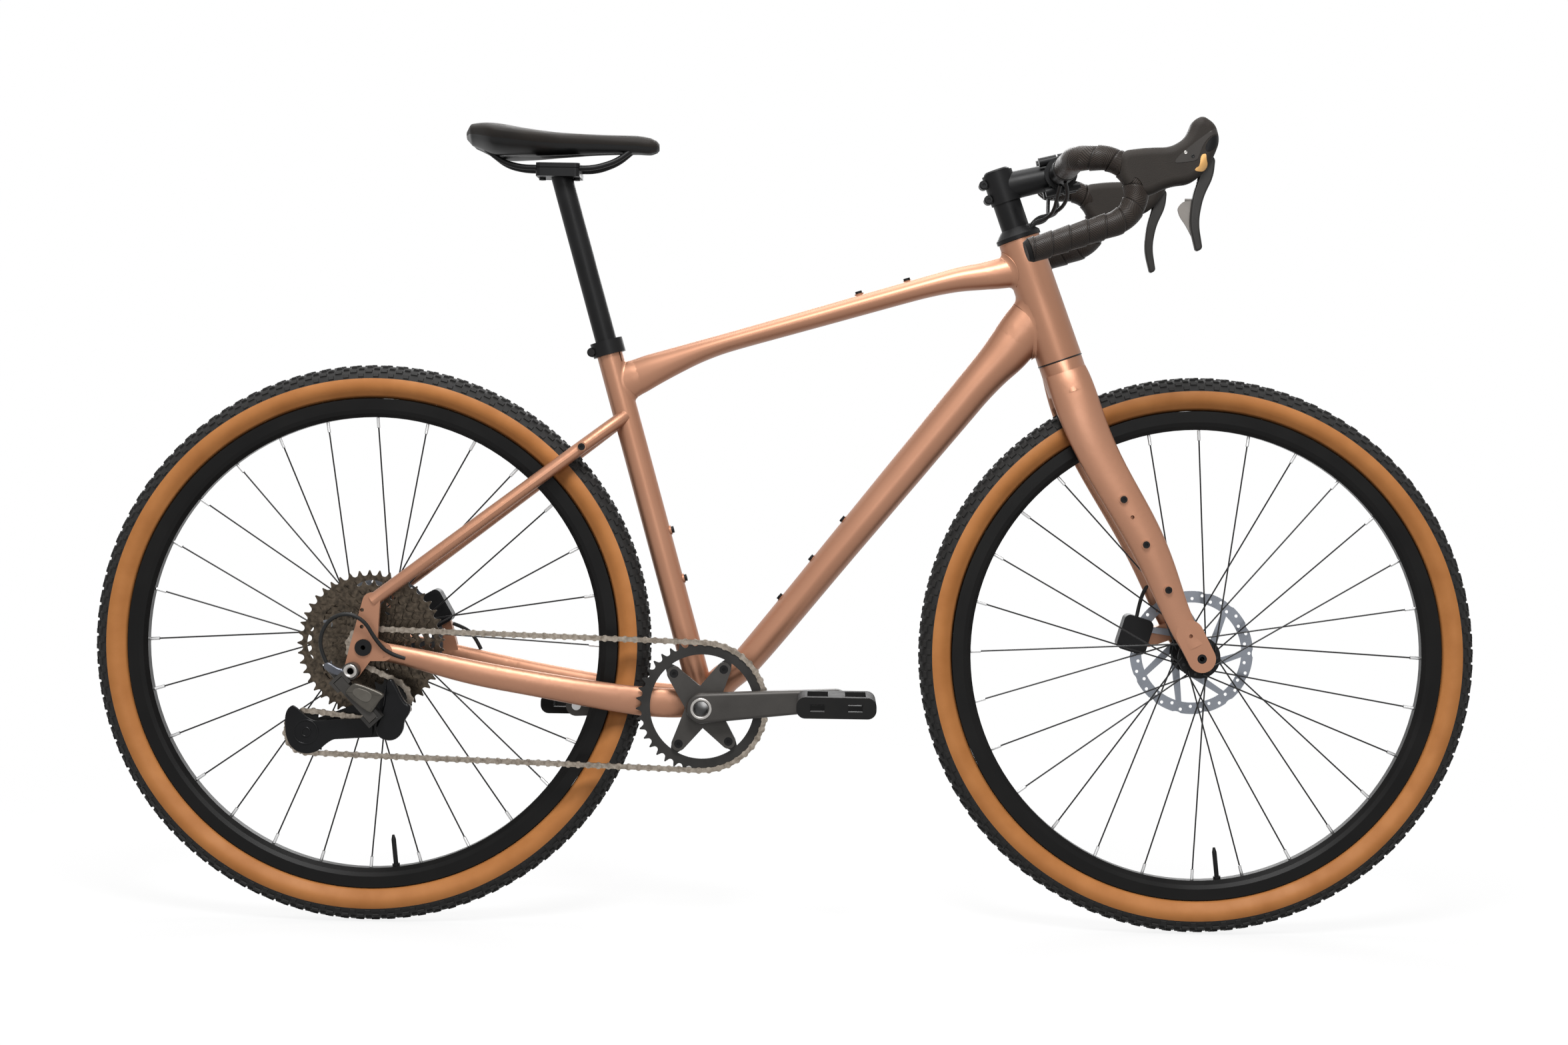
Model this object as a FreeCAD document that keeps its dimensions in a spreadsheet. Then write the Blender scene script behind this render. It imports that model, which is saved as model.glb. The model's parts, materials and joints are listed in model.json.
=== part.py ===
"""Gravel bike with drop bar, disc brakes and a single-ring drivetrain.

X points forward, Y to the rider's left and Z up. The origin is the centre of
the bottom bracket. All lengths are millimetres.
"""

import FreeCAD, Part
import math
import os
import re

import Sketcher
from FreeCAD import Matrix, Placement, Rotation, Vector

# Driving dimensions by sub-assembly

SIZES = {
    "clearances": {
        "running_clearance": 0.05,
        "seat_clearance": 0.02,
        "part_gap": 0.4,
        "cut_overrun": 2,
    },
    "frame geometry": {
        "reach": 396,
        "stack": 601,
        "head_angle": 70.5,
        "seat_angle": 74,
        "chainstay_length": 430,
        "bottom_bracket_drop": 71,
        "fork_rake": 44,
        "rear_spacing": 142,
        "front_spacing": 100,
    },
    "frame tubes": {
        "head_tube_length": 163.5,
        "head_tube_low_radius": 29,
        "head_tube_top_radius": 27,
        "seat_tube_length": 480,
        "seat_tube_radius": 16.5,
        "seat_tube_bore_depth": 210,
        "seat_slot_width": 2.5,
        "seat_slot_length": 32,
        "top_tube_depth": 23.5,
        "top_tube_width": 36,
        "top_tube_rise": 11,
        "top_tube_seat_station": 422,
        "top_tube_head_station": 38,
        "down_tube_depth": 45,
        "down_tube_width": 46,
        "down_tube_head_station": 94,
        "shell_radius": 21,
        "shell_width": 68,
        "shell_bore_radius": 17.5,
        "chainstay_width": 18,
        "chainstay_height": 35,
        "seatstay_radius": 8.5,
        "seatstay_seat_station": 382,
        "seatstay_bridge_radius": 6,
    },
    "dropouts": {
        "dropout_thickness": 8.5,
        "dropout_radius": 17,
        "dropout_arm_radius": 11,
        "seatstay_foot_rise": 58,
        "seatstay_foot_lead": 9,
        "hanger_back": 13,
        "hanger_drop": 28.5,
        "hanger_radius": 11,
        "hanger_bore_radius": 5,
        "eyelet_radius": 2.5,
        "eyelet_low_rise": 26,
        "eyelet_high_rise": 47,
        "eyelet_back": 2.5,
    },
    "bosses and bolts": {
        "boss_radius": 6,
        "boss_height": 1.5,
        "bolt_head_radius": 4.4,
        "bolt_head_height": 3.2,
        "bolt_socket_radius": 2.1,
        "bolt_socket_depth": 2,
        "bolt_shank_radius": 2.5,
        "bolt_shank_length": 9,
        "bottle_pitch": 64,
        "down_tube_boss_station": 167,
        "seat_tube_boss_station": 161,
        "top_tube_boss_station": 330,
    },
    "headset": {
        "bearing_height": 7,
        "upper_bearing_radius": 20.9,
        "lower_bearing_radius": 26,
        "cover_radius": 29,
        "cover_height": 15,
        "cover_gap": 0.5,
        "spacer_radius": 18,
        "spacer_count": 3,
        "spacer_height": 11.6,
        "top_cap_height": 4,
        "top_cap_radius": 17,
    },
    "fork": {
        "steerer_radius": 14.3,
        "steerer_low_radius": 19.9,
        "steerer_taper_length": 60,
        "crown_radius": 28.5,
        "crown_depth": 42,
        "crown_half_width": 45,
        "blade_length_shoulder": 78,
        "blade_half_depth": 28,
        "blade_half_width": 12,
        "blade_end_radius": 17.5,
        "fork_end_thickness": 10,
        "wheel_room_radius": 364,
        "wheel_room_half_width": 30.5,
        "fork_boss_first": 115,
        "fork_boss_pitch": 63.5,
        "fork_hole_radius": 2.5,
        "fork_hole_depth": 9,
        "fork_hole_high": 140,
        "fork_hole_low": 307,
    },
    "cockpit": {
        "stem_length": 76,
        "stem_angle": 6,
        "stem_clamp_height": 40,
        "stem_clamp_radius": 20,
        "stem_neck_radius": 16.5,
        "bar_clamp_radius": 21,
        "bar_clamp_width": 44,
        "stem_split": 2.4,
        "bar_clamp_bulge_radius": 15.9,
        "bar_radius": 11.9,
        "bar_bulge_half_length": 42,
        "bar_taper_length": 26,
        "bar_half_width": 210,
        "bar_shoulder_radius": 30,
        "bar_hook_radius": 42,
        "bar_flare_angle": 9.5,
        "bar_hook_angle": 161,
        "bar_drop_length": 104,
        "tape_radius": 15.6,
        "tape_start": 78,
        "plug_radius": 14.6,
        "plug_length": 5,
    },
    "levers": {
        "hood_length": 116,
        "hood_height": 90,
        "hood_width": 33,
        "hood_edge_radius": 10,
        "hood_back": 54,
        "hood_low": 41,
        "hood_slot_width": 13,
        "lever_length": 116,
        "lever_width": 11,
        "lever_edge_radius": 2.5,
        "lever_pivot_front": 158,
        "lever_pivot_rise": 0,
        "lever_pin_radius": 2.5,
        "paddle_length": 46,
        "paddle_thickness": 4,
        "paddle_knuckle_radius": 1.7,
        "paddle_knuckle_length": 14,
    },
    "wheels": {
        "tyre_radius": 356,
        "tyre_wall": 3.2,
        "tyre_shoulder_radius": 343,
        "tyre_shoulder_half_width": 19.5,
        "tyre_sidewall_radius": 24,
        "tyre_bead_half_width": 12.5,
        "rim_outer_radius": 313,
        "rim_inner_radius": 289,
        "rim_width": 29,
        "rim_nose_half_width": 7,
        "rim_shoulder_depth": 5,
        "rim_hook_width": 2.5,
        "rim_well_depth": 9,
        "spoke_count": 28,
        "spoke_radius": 1,
        "spoke_head_radius": 2,
        "spoke_elbow_gap": 1.2,
        "spoke_crossings": 2,
        "nipple_radius": 2.1,
        "nipple_length": 13,
        "valve_radius": 3,
        "valve_collar_radius": 4.8,
        "valve_length": 34,
    },
    "hubs": {
        "flange_radius": 27,
        "flange_hole_circle": 22,
        "flange_thickness": 3.2,
        "hub_shell_radius": 14,
        "hub_end_radius": 17,
        "front_right_flange": 34,
        "front_left_flange": 22,
        "rear_right_flange": 15.5,
        "rear_left_flange": 33,
        "axle_radius": 6,
        "axle_bore_radius": 3,
        "axle_head_radius": 10.5,
        "axle_head_height": 3,
        "end_cap_radius": 10,
        "end_cap_length": 5.5,
    },
    "brakes": {
        "rotor_radius": 80,
        "rotor_band": 15,
        "rotor_thickness": 1.8,
        "rotor_inset": 15,
        "rotor_arm_count": 7,
        "rotor_arm_width": 7,
        "rotor_arm_root_width": 10.5,
        "rotor_hole_count": 36,
        "rotor_hole_radius": 2.1,
        "rotor_scallop_count": 14,
        "rotor_scallop_radius": 12,
        "rotor_scallop_depth": 1.4,
        "rotor_carrier_radius": 27,
        "caliper_length": 46,
        "caliper_half_width": 17,
        "caliper_wheel_half_width": 10,
        "caliper_inner_radius": 58,
        "caliper_outer_radius": 97,
        "front_caliper_angle": 163,
        "rear_caliper_angle": 30,
        "pad_length": 24,
        "pad_height": 15,
        "pad_thickness": 4.5,
        "pad_gap": 0.35,
    },
    "drivetrain": {
        "chain_pitch": 12.7,
        "roller_radius": 3.85,
        "tooth_seat_radius": 4.02,
        "tooth_height": 2.9,
        "tooth_tip_half_width": 0.7,
        "ring_teeth": 40,
        "ring_thickness": 1.75,
        "ring_line": 47,
        "ring_inner_radius": 66,
        "sprocket_thickness": 1.6,
        "sprocket_pitch": 3.69,
        "small_sprocket_line": 61.5,
        "freehub_radius": 17,
        "sprocket_boss_radius": 18.2,
        "lockring_radius": 17.8,
        "lockring_height": 2.5,
        "pulley_teeth": 13,
        "pulley_hub_radius": 9,
        "pulley_hub_thickness": 5,
        "pulley_bolt_radius": 2.5,
    },
    "chain links": {
        "inner_plate_low": 1.05,
        "inner_plate_high": 1.8,
        "outer_plate_low": 1.9,
        "outer_plate_high": 2.65,
        "plate_radius": 4.1,
        "plate_waist": 2.9,
        "chain_pin_radius": 1.75,
        "chain_bore_radius": 1.9,
    },
    "crankset": {
        "crank_length": 170,
        "crank_angle": 4.5,
        "spindle_radius": 12,
        "spindle_bore_radius": 9,
        "arm_inner_line": 60,
        "arm_thickness": 13,
        "arm_root_radius": 19,
        "arm_end_radius": 13.5,
        "arm_edge_radius": 4,
        "spider_bolt_radius": 55,
        "spider_arm_radius": 9,
        "spider_thickness": 6,
        "ring_bolt_radius": 5.5,
        "cup_radius": 22.5,
        "cup_length": 9.5,
        "pedal_axle_radius": 6,
        "pedal_axle_length": 90,
    },
    "pedals": {
        "pedal_length": 98,
        "pedal_height": 26,
        "pedal_width": 84,
        "pedal_rail": 13,
        "pedal_tube_radius": 10.5,
        "pedal_collar_radius": 8.4,
        "pedal_gap": 8,
        "pedal_slot_length": 18,
        "pedal_slot_height": 9,
    },
    "derailleur": {
        "base_back": 10,
        "base_drop": 15.5,
        "base_radius": 10.5,
        "link_run": 36,
        "link_fall": 39,
        "link_radius": 6.5,
        "link_far_radius": 6.4,
        "link_thickness": 6,
        "link_spread": 14,
        "link_line": 90,
        "ear_half_spread": 10.3,
        "cable_stop_radius": 4.5,
        "cable_stop_back": 9.75,
        "link_pin_radius": 1.6,
        "ear_thickness": 4,
        "ear_length": 11,
        "cage_shaft_radius": 5,
        "cage_travel_limit": 40,
        "cage_pivot_run": 18,
        "cage_pivot_fall": 18,
        "knuckle_radius": 14,
        "knuckle_thickness": 14,
        "cage_plate_thickness": 2,
        "cage_plate_gap": 3.2,
        "cage_end_radius": 11.5,
        "cage_tension_radius": 11.3,
        "cage_guide_radius": 9.8,
        "guide_offset": 33,
        "guide_angle": 93,
        "tension_offset": 104,
        "tension_angle": 186,
    },
    "saddle and post": {
        "post_radius": 13.6,
        "post_bore_radius": 11.6,
        "post_top_station": 690,
        "post_length": 300,
        "collar_radius": 21,
        "collar_height": 17,
        "saddle_length": 246,
        "saddle_width": 148,
        "saddle_height": 46,
        "saddle_tail": 314,
        "saddle_low": 693,
        "rail_radius": 3.5,
        "rail_line": 682,
        "cradle_length": 56,
        "cradle_width": 60,
        "cradle_height": 11,
        "cradle_cap_height": 6,
        "cradle_bolt_spread": 44,
    },
    "cables": {
        "hose_radius": 2.5,
    },
}

SPROCKET_TEETH = (11, 13, 15, 17, 19, 21, 24, 28, 33, 39, 45)
SPIDER_ANGLES = (56, 126, 234, 304)
CHAIN_LEVEL_SHARE = 0.08
CALIPER_ROUND_SHARE = 0.2
FOOT_STATION_SHARE = 0.79
FOOT_LEVEL_SHARE = 0.73

# Tube stations: along, rise, depth and width
TOP_TUBE_SHARES = (
    (0.00, 0.0, 2.30, 0.80),
    (0.13, 0.7, 1.50, 0.92),
    (0.29, 1.0, 1.00, 1.00),
    (0.54, 0.9, 1.00, 1.00),
    (0.76, 0.9, 1.15, 1.00),
    (0.93, 0.3, 1.70, 1.05),
    (1.00, 0.0, 1.95, 1.05),
)

# Tube stations: along, depth and width
DOWN_TUBE_SHARES = (
    (0.02, 0.92, 0.90),
    (0.12, 0.98, 0.98),
    (0.50, 1.00, 1.05),
    (0.80, 1.02, 1.02),
    (0.92, 1.36, 0.98),
    (0.97, 1.45, 0.95),
)

# Chainstay stations: back, out, rise, width and height
CHAINSTAY_SHARES = (
    (0.02, 0.35, 0.04, 1.20, 1.03),
    (0.18, 0.49, 0.06, 0.72, 1.05),
    (0.30, 0.60, 0.16, 0.90, 1.00),
    (0.55, 0.78, 0.42, 0.95, 0.90),
    (0.74, 0.92, 0.65, 0.90, 0.84),
    (0.83, 0.96, 0.78, 0.85, 0.75),
    (0.94, 1.04, 0.92, 0.80, 0.66),
)

# Seatstay stations: along and out
SEATSTAY_SHARES = ((0.0, 1.05), (0.3, 0.90), (0.55, 0.70), (0.8, 0.49), (0.93, 0.32), (1.0, 0.14))
SEATSTAY_BRIDGE_SHARE = 0.86
SEATSTAY_BOLT_SHARE = 0.83

# Fork crown stations: depth, out, half depth and half width
CROWN_BLADE_SHARES = ((0.2, 0.36, 0.96, 1.25), (0.58, 0.56, 1.02, 1.17), (1.0, 0.70, 1.0, 0.96))
# Fork blade stations: along, out, half depth and half width
BLADE_SHARES = ((0.33, 0.84, 0.88, 0.84), (0.70, 0.95, 0.70, 0.70), (0.95, 1.0, 0.62, 0.5))

# Side outline of a brake hood
HOOD_OUTLINE_SHARES = (
    (-0.03, 0.54),
    (0.26, 0.59),
    (0.50, 0.60),
    (0.66, 0.73),
    (0.73, 0.96),
    (0.83, 1.03),
    (0.96, 0.92),
    (1.01, 0.70),
    (0.95, 0.48),
    (0.86, 0.28),
    (0.72, 0.12),
    (0.50, 0.08),
    (0.28, -0.06),
    (0.10, -0.04),
    (-0.03, 0.20),
)
HOOD_SLOT_BACK_SHARE = 0.62
HOOD_SLOT_TOP_SHARE = 0.62

# Side outlines of a lever blade and of the shift paddle, as shares of the lever's length
LEVER_OUTLINE_SHARES = (
    (0.078, 0.034),
    (0.060, -0.18),
    (-0.045, -0.40),
    (-0.090, -0.655),
    (-0.043, -0.93),
    (-0.115, -0.965),
    (-0.185, -0.69),
    (-0.160, -0.40),
    (-0.086, -0.155),
    (-0.070, 0.05),
)
PADDLE_OUTLINE_SHARES = (
    (0.00, -0.01),
    (0.02, -0.30),
    (-0.06, -0.62),
    (0.03, -1.0),
    (-0.08, -1.03),
    (-0.28, -0.66),
    (-0.44, -0.44),
    (-0.51, -0.20),
    (-0.34, -0.03),
)
PADDLE_PIVOT_SHARES = (-0.10, -0.42)
OUTLINE_ROUND_SHARE = 0.42

# Saddle stations: along, half width, top, edge and low
SADDLE_SHARES = (
    (0.000, 0.20, 0.78, 0.66, 0.52),
    (0.035, 0.60, 0.96, 0.74, 0.30),
    (0.160, 0.97, 0.97, 0.66, 0.02),
    (0.320, 0.84, 0.85, 0.58, 0.02),
    (0.480, 0.52, 0.78, 0.54, 0.08),
    (0.680, 0.33, 0.76, 0.54, 0.16),
    (0.880, 0.26, 0.72, 0.52, 0.26),
    (0.975, 0.19, 0.58, 0.46, 0.32),
    (1.000, 0.07, 0.48, 0.44, 0.40),
)
SADDLE_TUCK_SHARE = 0.80
SADDLE_SIDE_BULGE_SHARE = 0.96
SADDLE_HOLLOW_SHARE = 0.3

# Routes of the hoses and of the shift housing
STEERING_HOSE_ROUTES = (
    ((446, -84, 668), (452, -70, 655), (448, -44, 640), (434, -20, 632), (414, -8, 628), (407, -6, 612)),
    ((440, -84, 664), (438, -66, 650), (436, -42, 634), (428, -24, 626), (412, -15, 622), (406, -13, 608)),
    ((446, 84, 668), (452, 70, 655), (448, 44, 640), (434, 20, 632), (414, 8, 628), (407, 6, 612)),
    ((440, 84, 664), (438, 66, 650), (436, 42, 634), (428, 24, 626), (412, 15, 622), (406, 13, 608)),
)
SHIFT_HOUSING_ROUTE = (
    (-372, -76, 58),
    (-392, -80, 63),
    (-408, -87, 82),
    (-421, -92, 106),
    (-443, -95, 116),
    (-465, -95, 107),
    (-476, -94, 86),
    (-474, -92, 64),
    (-465, -90, 47),
)
REAR_HOSE_ROUTE = ((-296, 66, 58), (-304, 66, 74), (-316, 62, 86), (-332, 57, 92))
FRONT_HOSE_ROUTE = ((582, 50, 166), (571, 47.5, 154), (563, 42, 134), (559, 38, 115))
CORD_ROUND_SHARE = 0.45

CHAIN_TRIALS = 40
PATH_TRIALS = 6
STEM_BOLT_SHARES = (0.25, 0.75)

# Route of a saddle rail on the left
RAIL_ROUTE = (
    (-102, 9, 708),
    (-122, 15, 692),
    (-150, 22, 682),
    (-242, 22, 682),
    (-266, 26, 688),
    (-287, 31, 704),
)


# Document and sheet

doc = FreeCAD.newDocument("GravelBike")
sheet = doc.addObject("Spreadsheet::Sheet", "Sizes")


def fill_sheet():
    """Write each driving dimension to a cell that carries its alias."""
    row = 1
    for group, entries in SIZES.items():
        sheet.set(f"A{row}", group)
        row += 1
        for alias, value in entries.items():
            sheet.set(f"A{row}", alias)
            sheet.set(f"B{row}", str(value))
            sheet.setAlias(f"B{row}", alias)
            row += 1
    doc.recompute()


class SheetSizes:
    """Sizes read from the sheet by alias."""

    def __getattr__(self, alias):
        return float(sheet.get(alias))


ALIASES = {alias for entries in SIZES.values() for alias in entries}
fill_sheet()
size = SheetSizes()


def formula(text):
    """Give each alias in a sum its sheet's name."""
    return re.sub(r"[a-z_]+", lambda found: f"Sizes.{found[0]}" if found[0] in ALIASES else found[0], text)


def number(text):
    """Value of a sum of aliases."""
    value = sheet.evalExpression(formula(text))
    return float(getattr(value, "Value", value))


# Places that several sub-parts share

ALONG_X = Vector(1, 0, 0)
ALONG_Y = Vector(0, 1, 0)
ALONG_Z = Vector(0, 0, 1)
RIGHT = -1
LEFT = 1
SIDES = (RIGHT, LEFT)


def polar(angle):
    """Unit vector in the bike's plane at an angle in degrees above forward."""
    turn = math.radians(angle)
    return Vector(math.cos(turn), 0, math.sin(turn))


class Places:
    """Points and directions of the frame's geometry."""

    def __init__(self):
        self.head_up = polar(180 - size.head_angle)
        self.head_front = polar(90 - size.head_angle)
        self.seat_up = polar(180 - size.seat_angle)
        self.head_top = Vector(size.reach, 0, size.stack)
        self.head_low = self.head_top - self.head_up * size.head_tube_length
        back = math.sqrt(size.chainstay_length**2 - size.bottom_bracket_drop**2)
        self.rear_axle = Vector(-back, 0, size.bottom_bracket_drop)
        rise = self.head_low.z + size.fork_rake * self.head_front.z - size.bottom_bracket_drop
        self.fork_length = rise / self.head_up.z
        self.front_axle = self.on_steerer(-size.head_tube_length - self.fork_length)
        self.front_axle += self.head_front * size.fork_rake
        self.seat_top = self.seat_up * size.seat_tube_length
        self.stem_station = size.cover_gap + size.cover_height + size.spacer_count * size.spacer_height
        self.stem_centre = self.on_steerer(self.stem_station + size.stem_clamp_height / 2)
        self.stem_front = polar(90 - size.head_angle - size.stem_angle)
        self.bar_centre = self.stem_centre + self.stem_front * size.stem_length

    def on_steerer(self, station):
        """Point on the steering axis above the head tube's top."""
        return self.head_top + self.head_up * station

    def shoulder(self):
        """Point on the steering axis where the fork blades bend to the axle."""
        return self.head_low - self.head_up * size.blade_length_shoulder


place = Places()


def across(point, out):
    """Copy of a point moved to a distance on the left."""
    return Vector(point.x, out, point.z)


# Shapes from lines, arcs, lofts and revolves


def fused(shapes):
    """One solid from overlapping shapes."""
    shapes = list(shapes)
    return shapes[0].multiFuse(shapes[1:]).removeSplitter()


def rod(start, end, radius):
    """Round bar between two points."""
    run = end - start
    return Part.makeCylinder(radius, run.Length, start, run)


def ring(start, end, radius, bore):
    """Round tube between two points."""
    run = end - start
    hole = Part.makeCylinder(bore, run.Length, start, run)
    return Part.makeCylinder(radius, run.Length, start, run).cut(hole)


def taper(start, end, start_radius, end_radius):
    """Round bar that tapers between two points."""
    run = end - start
    return Part.makeCone(start_radius, end_radius, run.Length, start, run)


def side_disc(centre, radius, low, high):
    """Disc square to the bike's plane between two distances on the left."""
    return rod(across(centre, low), across(centre, high), radius)


def side_ring(centre, radius, bore, low, high):
    """Ring square to the bike's plane between two distances on the left."""
    return ring(across(centre, low), across(centre, high), radius, bore)


def oval(centre, first, second, first_half, second_half):
    """Closed oval section about a centre."""
    normal = first.cross(second)
    scale = Matrix(
        first.x * first_half, second.x * second_half, normal.x, centre.x,
        first.y * first_half, second.y * second_half, normal.y, centre.y,
        first.z * first_half, second.z * second_half, normal.z, centre.z,
        0, 0, 0, 1,
    )
    return Part.Wire(Part.Circle().toShape().transformGeometry(scale).Edges)


def loft(wires):
    """Smooth solid through closed sections."""
    return Part.makeLoft(wires, True, False)


def corner(before, point, after, share):
    """Tangent points, middle and radius of the arc that rounds a corner."""
    back = before - point
    ahead = after - point
    run = share * min(back.Length, ahead.Length)
    half_turn = (math.pi - back.getAngle(ahead)) / 2
    first = point + Vector(back).normalize() * run
    last = point + Vector(ahead).normalize() * run
    radius = run / math.tan(half_turn)
    bisector = (first + last) / 2 - point
    centre = point + Vector(bisector).normalize() * (radius / math.cos(half_turn))
    middle = centre + (point - centre).normalize() * radius
    return first, middle, last, centre, radius


def rounded_outline(points, share=OUTLINE_ROUND_SHARE):
    """Closed wire whose corners are arcs as large as their runs allow."""
    count = len(points)
    corners = [corner(points[i - 1], points[i], points[(i + 1) % count], share) for i in range(count)]
    edges = []
    for index, (first, middle, last, _, _) in enumerate(corners):
        edges.append(Part.Arc(first, middle, last).toShape())
        edges.append(Part.LineSegment(last, corners[(index + 1) % count][0]).toShape())
    return Part.Wire(edges)


def side_plate(wire, thickness):
    """Plate of a given thickness to the left of an outline."""
    return Part.Face(wire).extrude(Vector(0, thickness, 0))


def tapered_plate(first, first_radius, last, last_radius, low, high):
    """Plate whose outline is two discs and their common tangents."""
    first = across(first, low)
    last = across(last, low)
    run = last - first
    turn = math.acos((first_radius - last_radius) / run.Length)
    heading = math.atan2(run.z, run.x)
    points = []
    for angle in (heading + turn, heading - turn):
        direction = Vector(math.cos(angle), 0, math.sin(angle))
        points.append((first + direction * first_radius, last + direction * last_radius))
    along = Vector(run).normalize()
    edges = [
        Part.LineSegment(points[0][0], points[0][1]).toShape(),
        Part.Arc(points[0][1], last + along * last_radius, points[1][1]).toShape(),
        Part.LineSegment(points[1][1], points[1][0]).toShape(),
        Part.Arc(points[1][0], first - along * first_radius, points[0][0]).toShape(),
    ]
    return side_plate(Part.Wire(edges), high - low)


def tube_on_runs(runs, radius, bore=0):
    """Round tube along straight runs and tangent arcs."""
    pieces = []
    for run in runs:
        start, heading = run["start"], run["heading"]
        section = Part.Face(Part.Wire(Part.Circle(start, heading, radius).toShape()))
        if bore:
            section = section.cut(Part.Face(Part.Wire(Part.Circle(start, heading, bore).toShape())))
        if "length" in run:
            pieces.append(section.extrude(heading * run["length"]))
        else:
            pieces.append(section.revolve(run["centre"], run["axis"], run["angle"]))
    return fused(pieces)


def runs_through(points, share=CORD_ROUND_SHARE):
    """Straight runs and tangent arcs along a route."""
    runs = []
    here = points[0]
    for before, point, after in zip(points, points[1:], points[2:]):
        first, _, last, centre, _ = corner(before, point, after, share)
        heading = (first - here).normalize()
        runs.append({"start": here, "heading": heading, "length": (first - here).Length})
        axis = (first - centre).cross(last - centre)
        angle = math.degrees((first - centre).getAngle(last - centre))
        runs.append({"start": first, "heading": heading, "centre": centre, "axis": axis, "angle": angle})
        here = last
    heading = (points[-1] - here).normalize()
    runs.append({"start": here, "heading": heading, "length": (points[-1] - here).Length})
    return runs


def hose(route, radius):
    """Hose along a route, whose volume matches its section times its length."""
    runs = runs_through([Vector(*point) for point in route])
    tube = tube_on_runs(runs, radius)
    length = 0
    for run in runs:
        bend = (run["start"] - run.get("centre", run["start"])).Length
        length += run.get("length", bend * math.radians(run.get("angle", 0)))
    share = tube.Volume / (math.pi * radius**2 * length)
    radii = [round((run["start"] - run["centre"]).Length) for run in runs if "centre" in run]
    print(f"hose length {length:.0f}, volume share {share:.3f}, bend radii {radii}")
    return tube


def mirrored(shape):
    """Copy of a shape on the other side of the bike's plane."""
    return shape.mirror(Vector(), ALONG_Y)


def turned(shape, centre, axis, angle):
    """Copy of a shape turned about an axis by an angle in degrees."""
    copy = shape.copy()
    copy.rotate(centre, axis, angle)
    return copy


def bolt(seat, out, shank_length):
    """Socket bolt whose head stands on a seat and points out of it."""
    out = Vector(out).normalize()
    head = rod(seat, seat + out * size.bolt_head_height, size.bolt_head_radius)
    shank = rod(seat - out * shank_length, seat, size.bolt_shank_radius)
    top = seat + out * size.bolt_head_height
    socket = rod(top - out * size.bolt_socket_depth, top + out * size.cut_overrun, size.bolt_socket_radius)
    return fused([head, shank]).cut(socket)


def bolt_hole(seat, out, shank_length):
    """Space that a bolt's shank needs below its seat."""
    out = Vector(out).normalize()
    low = seat - out * (shank_length + size.part_gap)
    return rod(low, seat + out * size.cut_overrun, size.bolt_shank_radius + size.seat_clearance)


def bolt_head_space(seat, out):
    """Space that a bolt's head needs above its seat."""
    out = Vector(out).normalize()
    top = seat + out * (size.bolt_head_height + size.part_gap)
    return rod(seat, top, size.bolt_head_radius + size.part_gap)


# Objects of the document


def feature(label, shape):
    """Sub-part whose shape comes from lofts, sweeps or patterns."""
    sub_part = doc.addObject("Part::Feature", label)
    sub_part.Label = label
    sub_part.Shape = shape
    return sub_part


def sketch_loop(sketch, loop):
    """Closed loop of lines and arcs with each corner bound to the sheet.

    A point is a pair of sums of aliases. A third sum is the radius of the arc
    that bulges to the right of the way to the next point.
    """
    first = len(sketch.Geometry)
    count = len(loop)
    corners = [Vector(number(point[0]), number(point[1]), 0) for point in loop]
    starts = []
    for index, point in enumerate(loop):
        here = corners[index]
        there = corners[(index + 1) % count]
        if len(point) == 3:
            radius = number(point[2])
            run = there - here
            right = Vector(run.y, -run.x, 0).normalize()
            depth = math.sqrt(radius**2 - run.Length**2 / 4)
            middle = (here + there) / 2 + right * (radius - depth)
            sketch.addGeometry(Part.Arc(here, middle, there))
        else:
            sketch.addGeometry(Part.LineSegment(here, there))
        same_way = sketch.Geometry[first + index].StartPoint.isEqual(here, size.seat_clearance)
        starts.append(1 if same_way else 2)
    for index in range(count):
        after = (index + 1) % count
        joint = (first + index, 3 - starts[index], first + after, starts[after])
        sketch.addConstraint(Sketcher.Constraint("Coincident", *joint))
    for index, point in enumerate(loop):
        end = (-1, 1, first + index, starts[index])
        bound = [
            (Sketcher.Constraint("DistanceX", *end, corners[index].x), point[0]),
            (Sketcher.Constraint("DistanceY", *end, corners[index].y), point[1]),
        ]
        if len(point) == 3:
            bound.append((Sketcher.Constraint("Radius", first + index, number(point[2])), point[2]))
        for constraint, text in bound:
            constraint_index = sketch.addConstraint(constraint)
            sketch.setExpression(f"Constraints[{constraint_index}]", formula(text))


def revolved(label, loops, centre=Vector(), axis=ALONG_Y):
    """Body turned from loops of radius and distance along its axis."""
    body = doc.addObject("PartDesign::Body", label)
    body.Label = label
    sketch = body.newObject("Sketcher::SketchObject", f"{label}_profile")
    plane = [item for item in body.Origin.OriginFeatures if item.Role == "XY_Plane"][0]
    sketch.AttachmentSupport = [(plane, "")]
    sketch.MapMode = "FlatFace"
    for loop in loops:
        sketch_loop(sketch, loop)
    turning = body.newObject("PartDesign::Revolution", f"{label}_turning")
    turning.Profile = sketch
    turning.ReferenceAxis = (sketch, ["V_Axis"])
    turning.Angle = 360
    body.Placement = Placement(centre, Rotation(ALONG_Y, axis))
    doc.recompute()
    return body


def bound_tube(name, radius, bore, length, start, axis):
    """Round tube whose radius, bore and length are bound to the sheet."""
    outer = doc.addObject("Part::Cylinder", f"{name}_outer")
    inner = doc.addObject("Part::Cylinder", f"{name}_inner")
    for cylinder, text in ((outer, radius), (inner, bore)):
        cylinder.setExpression("Radius", formula(text))
        cylinder.setExpression("Height", formula(length))
    cut = doc.addObject("Part::Cut", name)
    cut.Base = outer
    cut.Tool = inner
    cut.Placement = Placement(start, Rotation(ALONG_Z, axis))
    return cut


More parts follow.
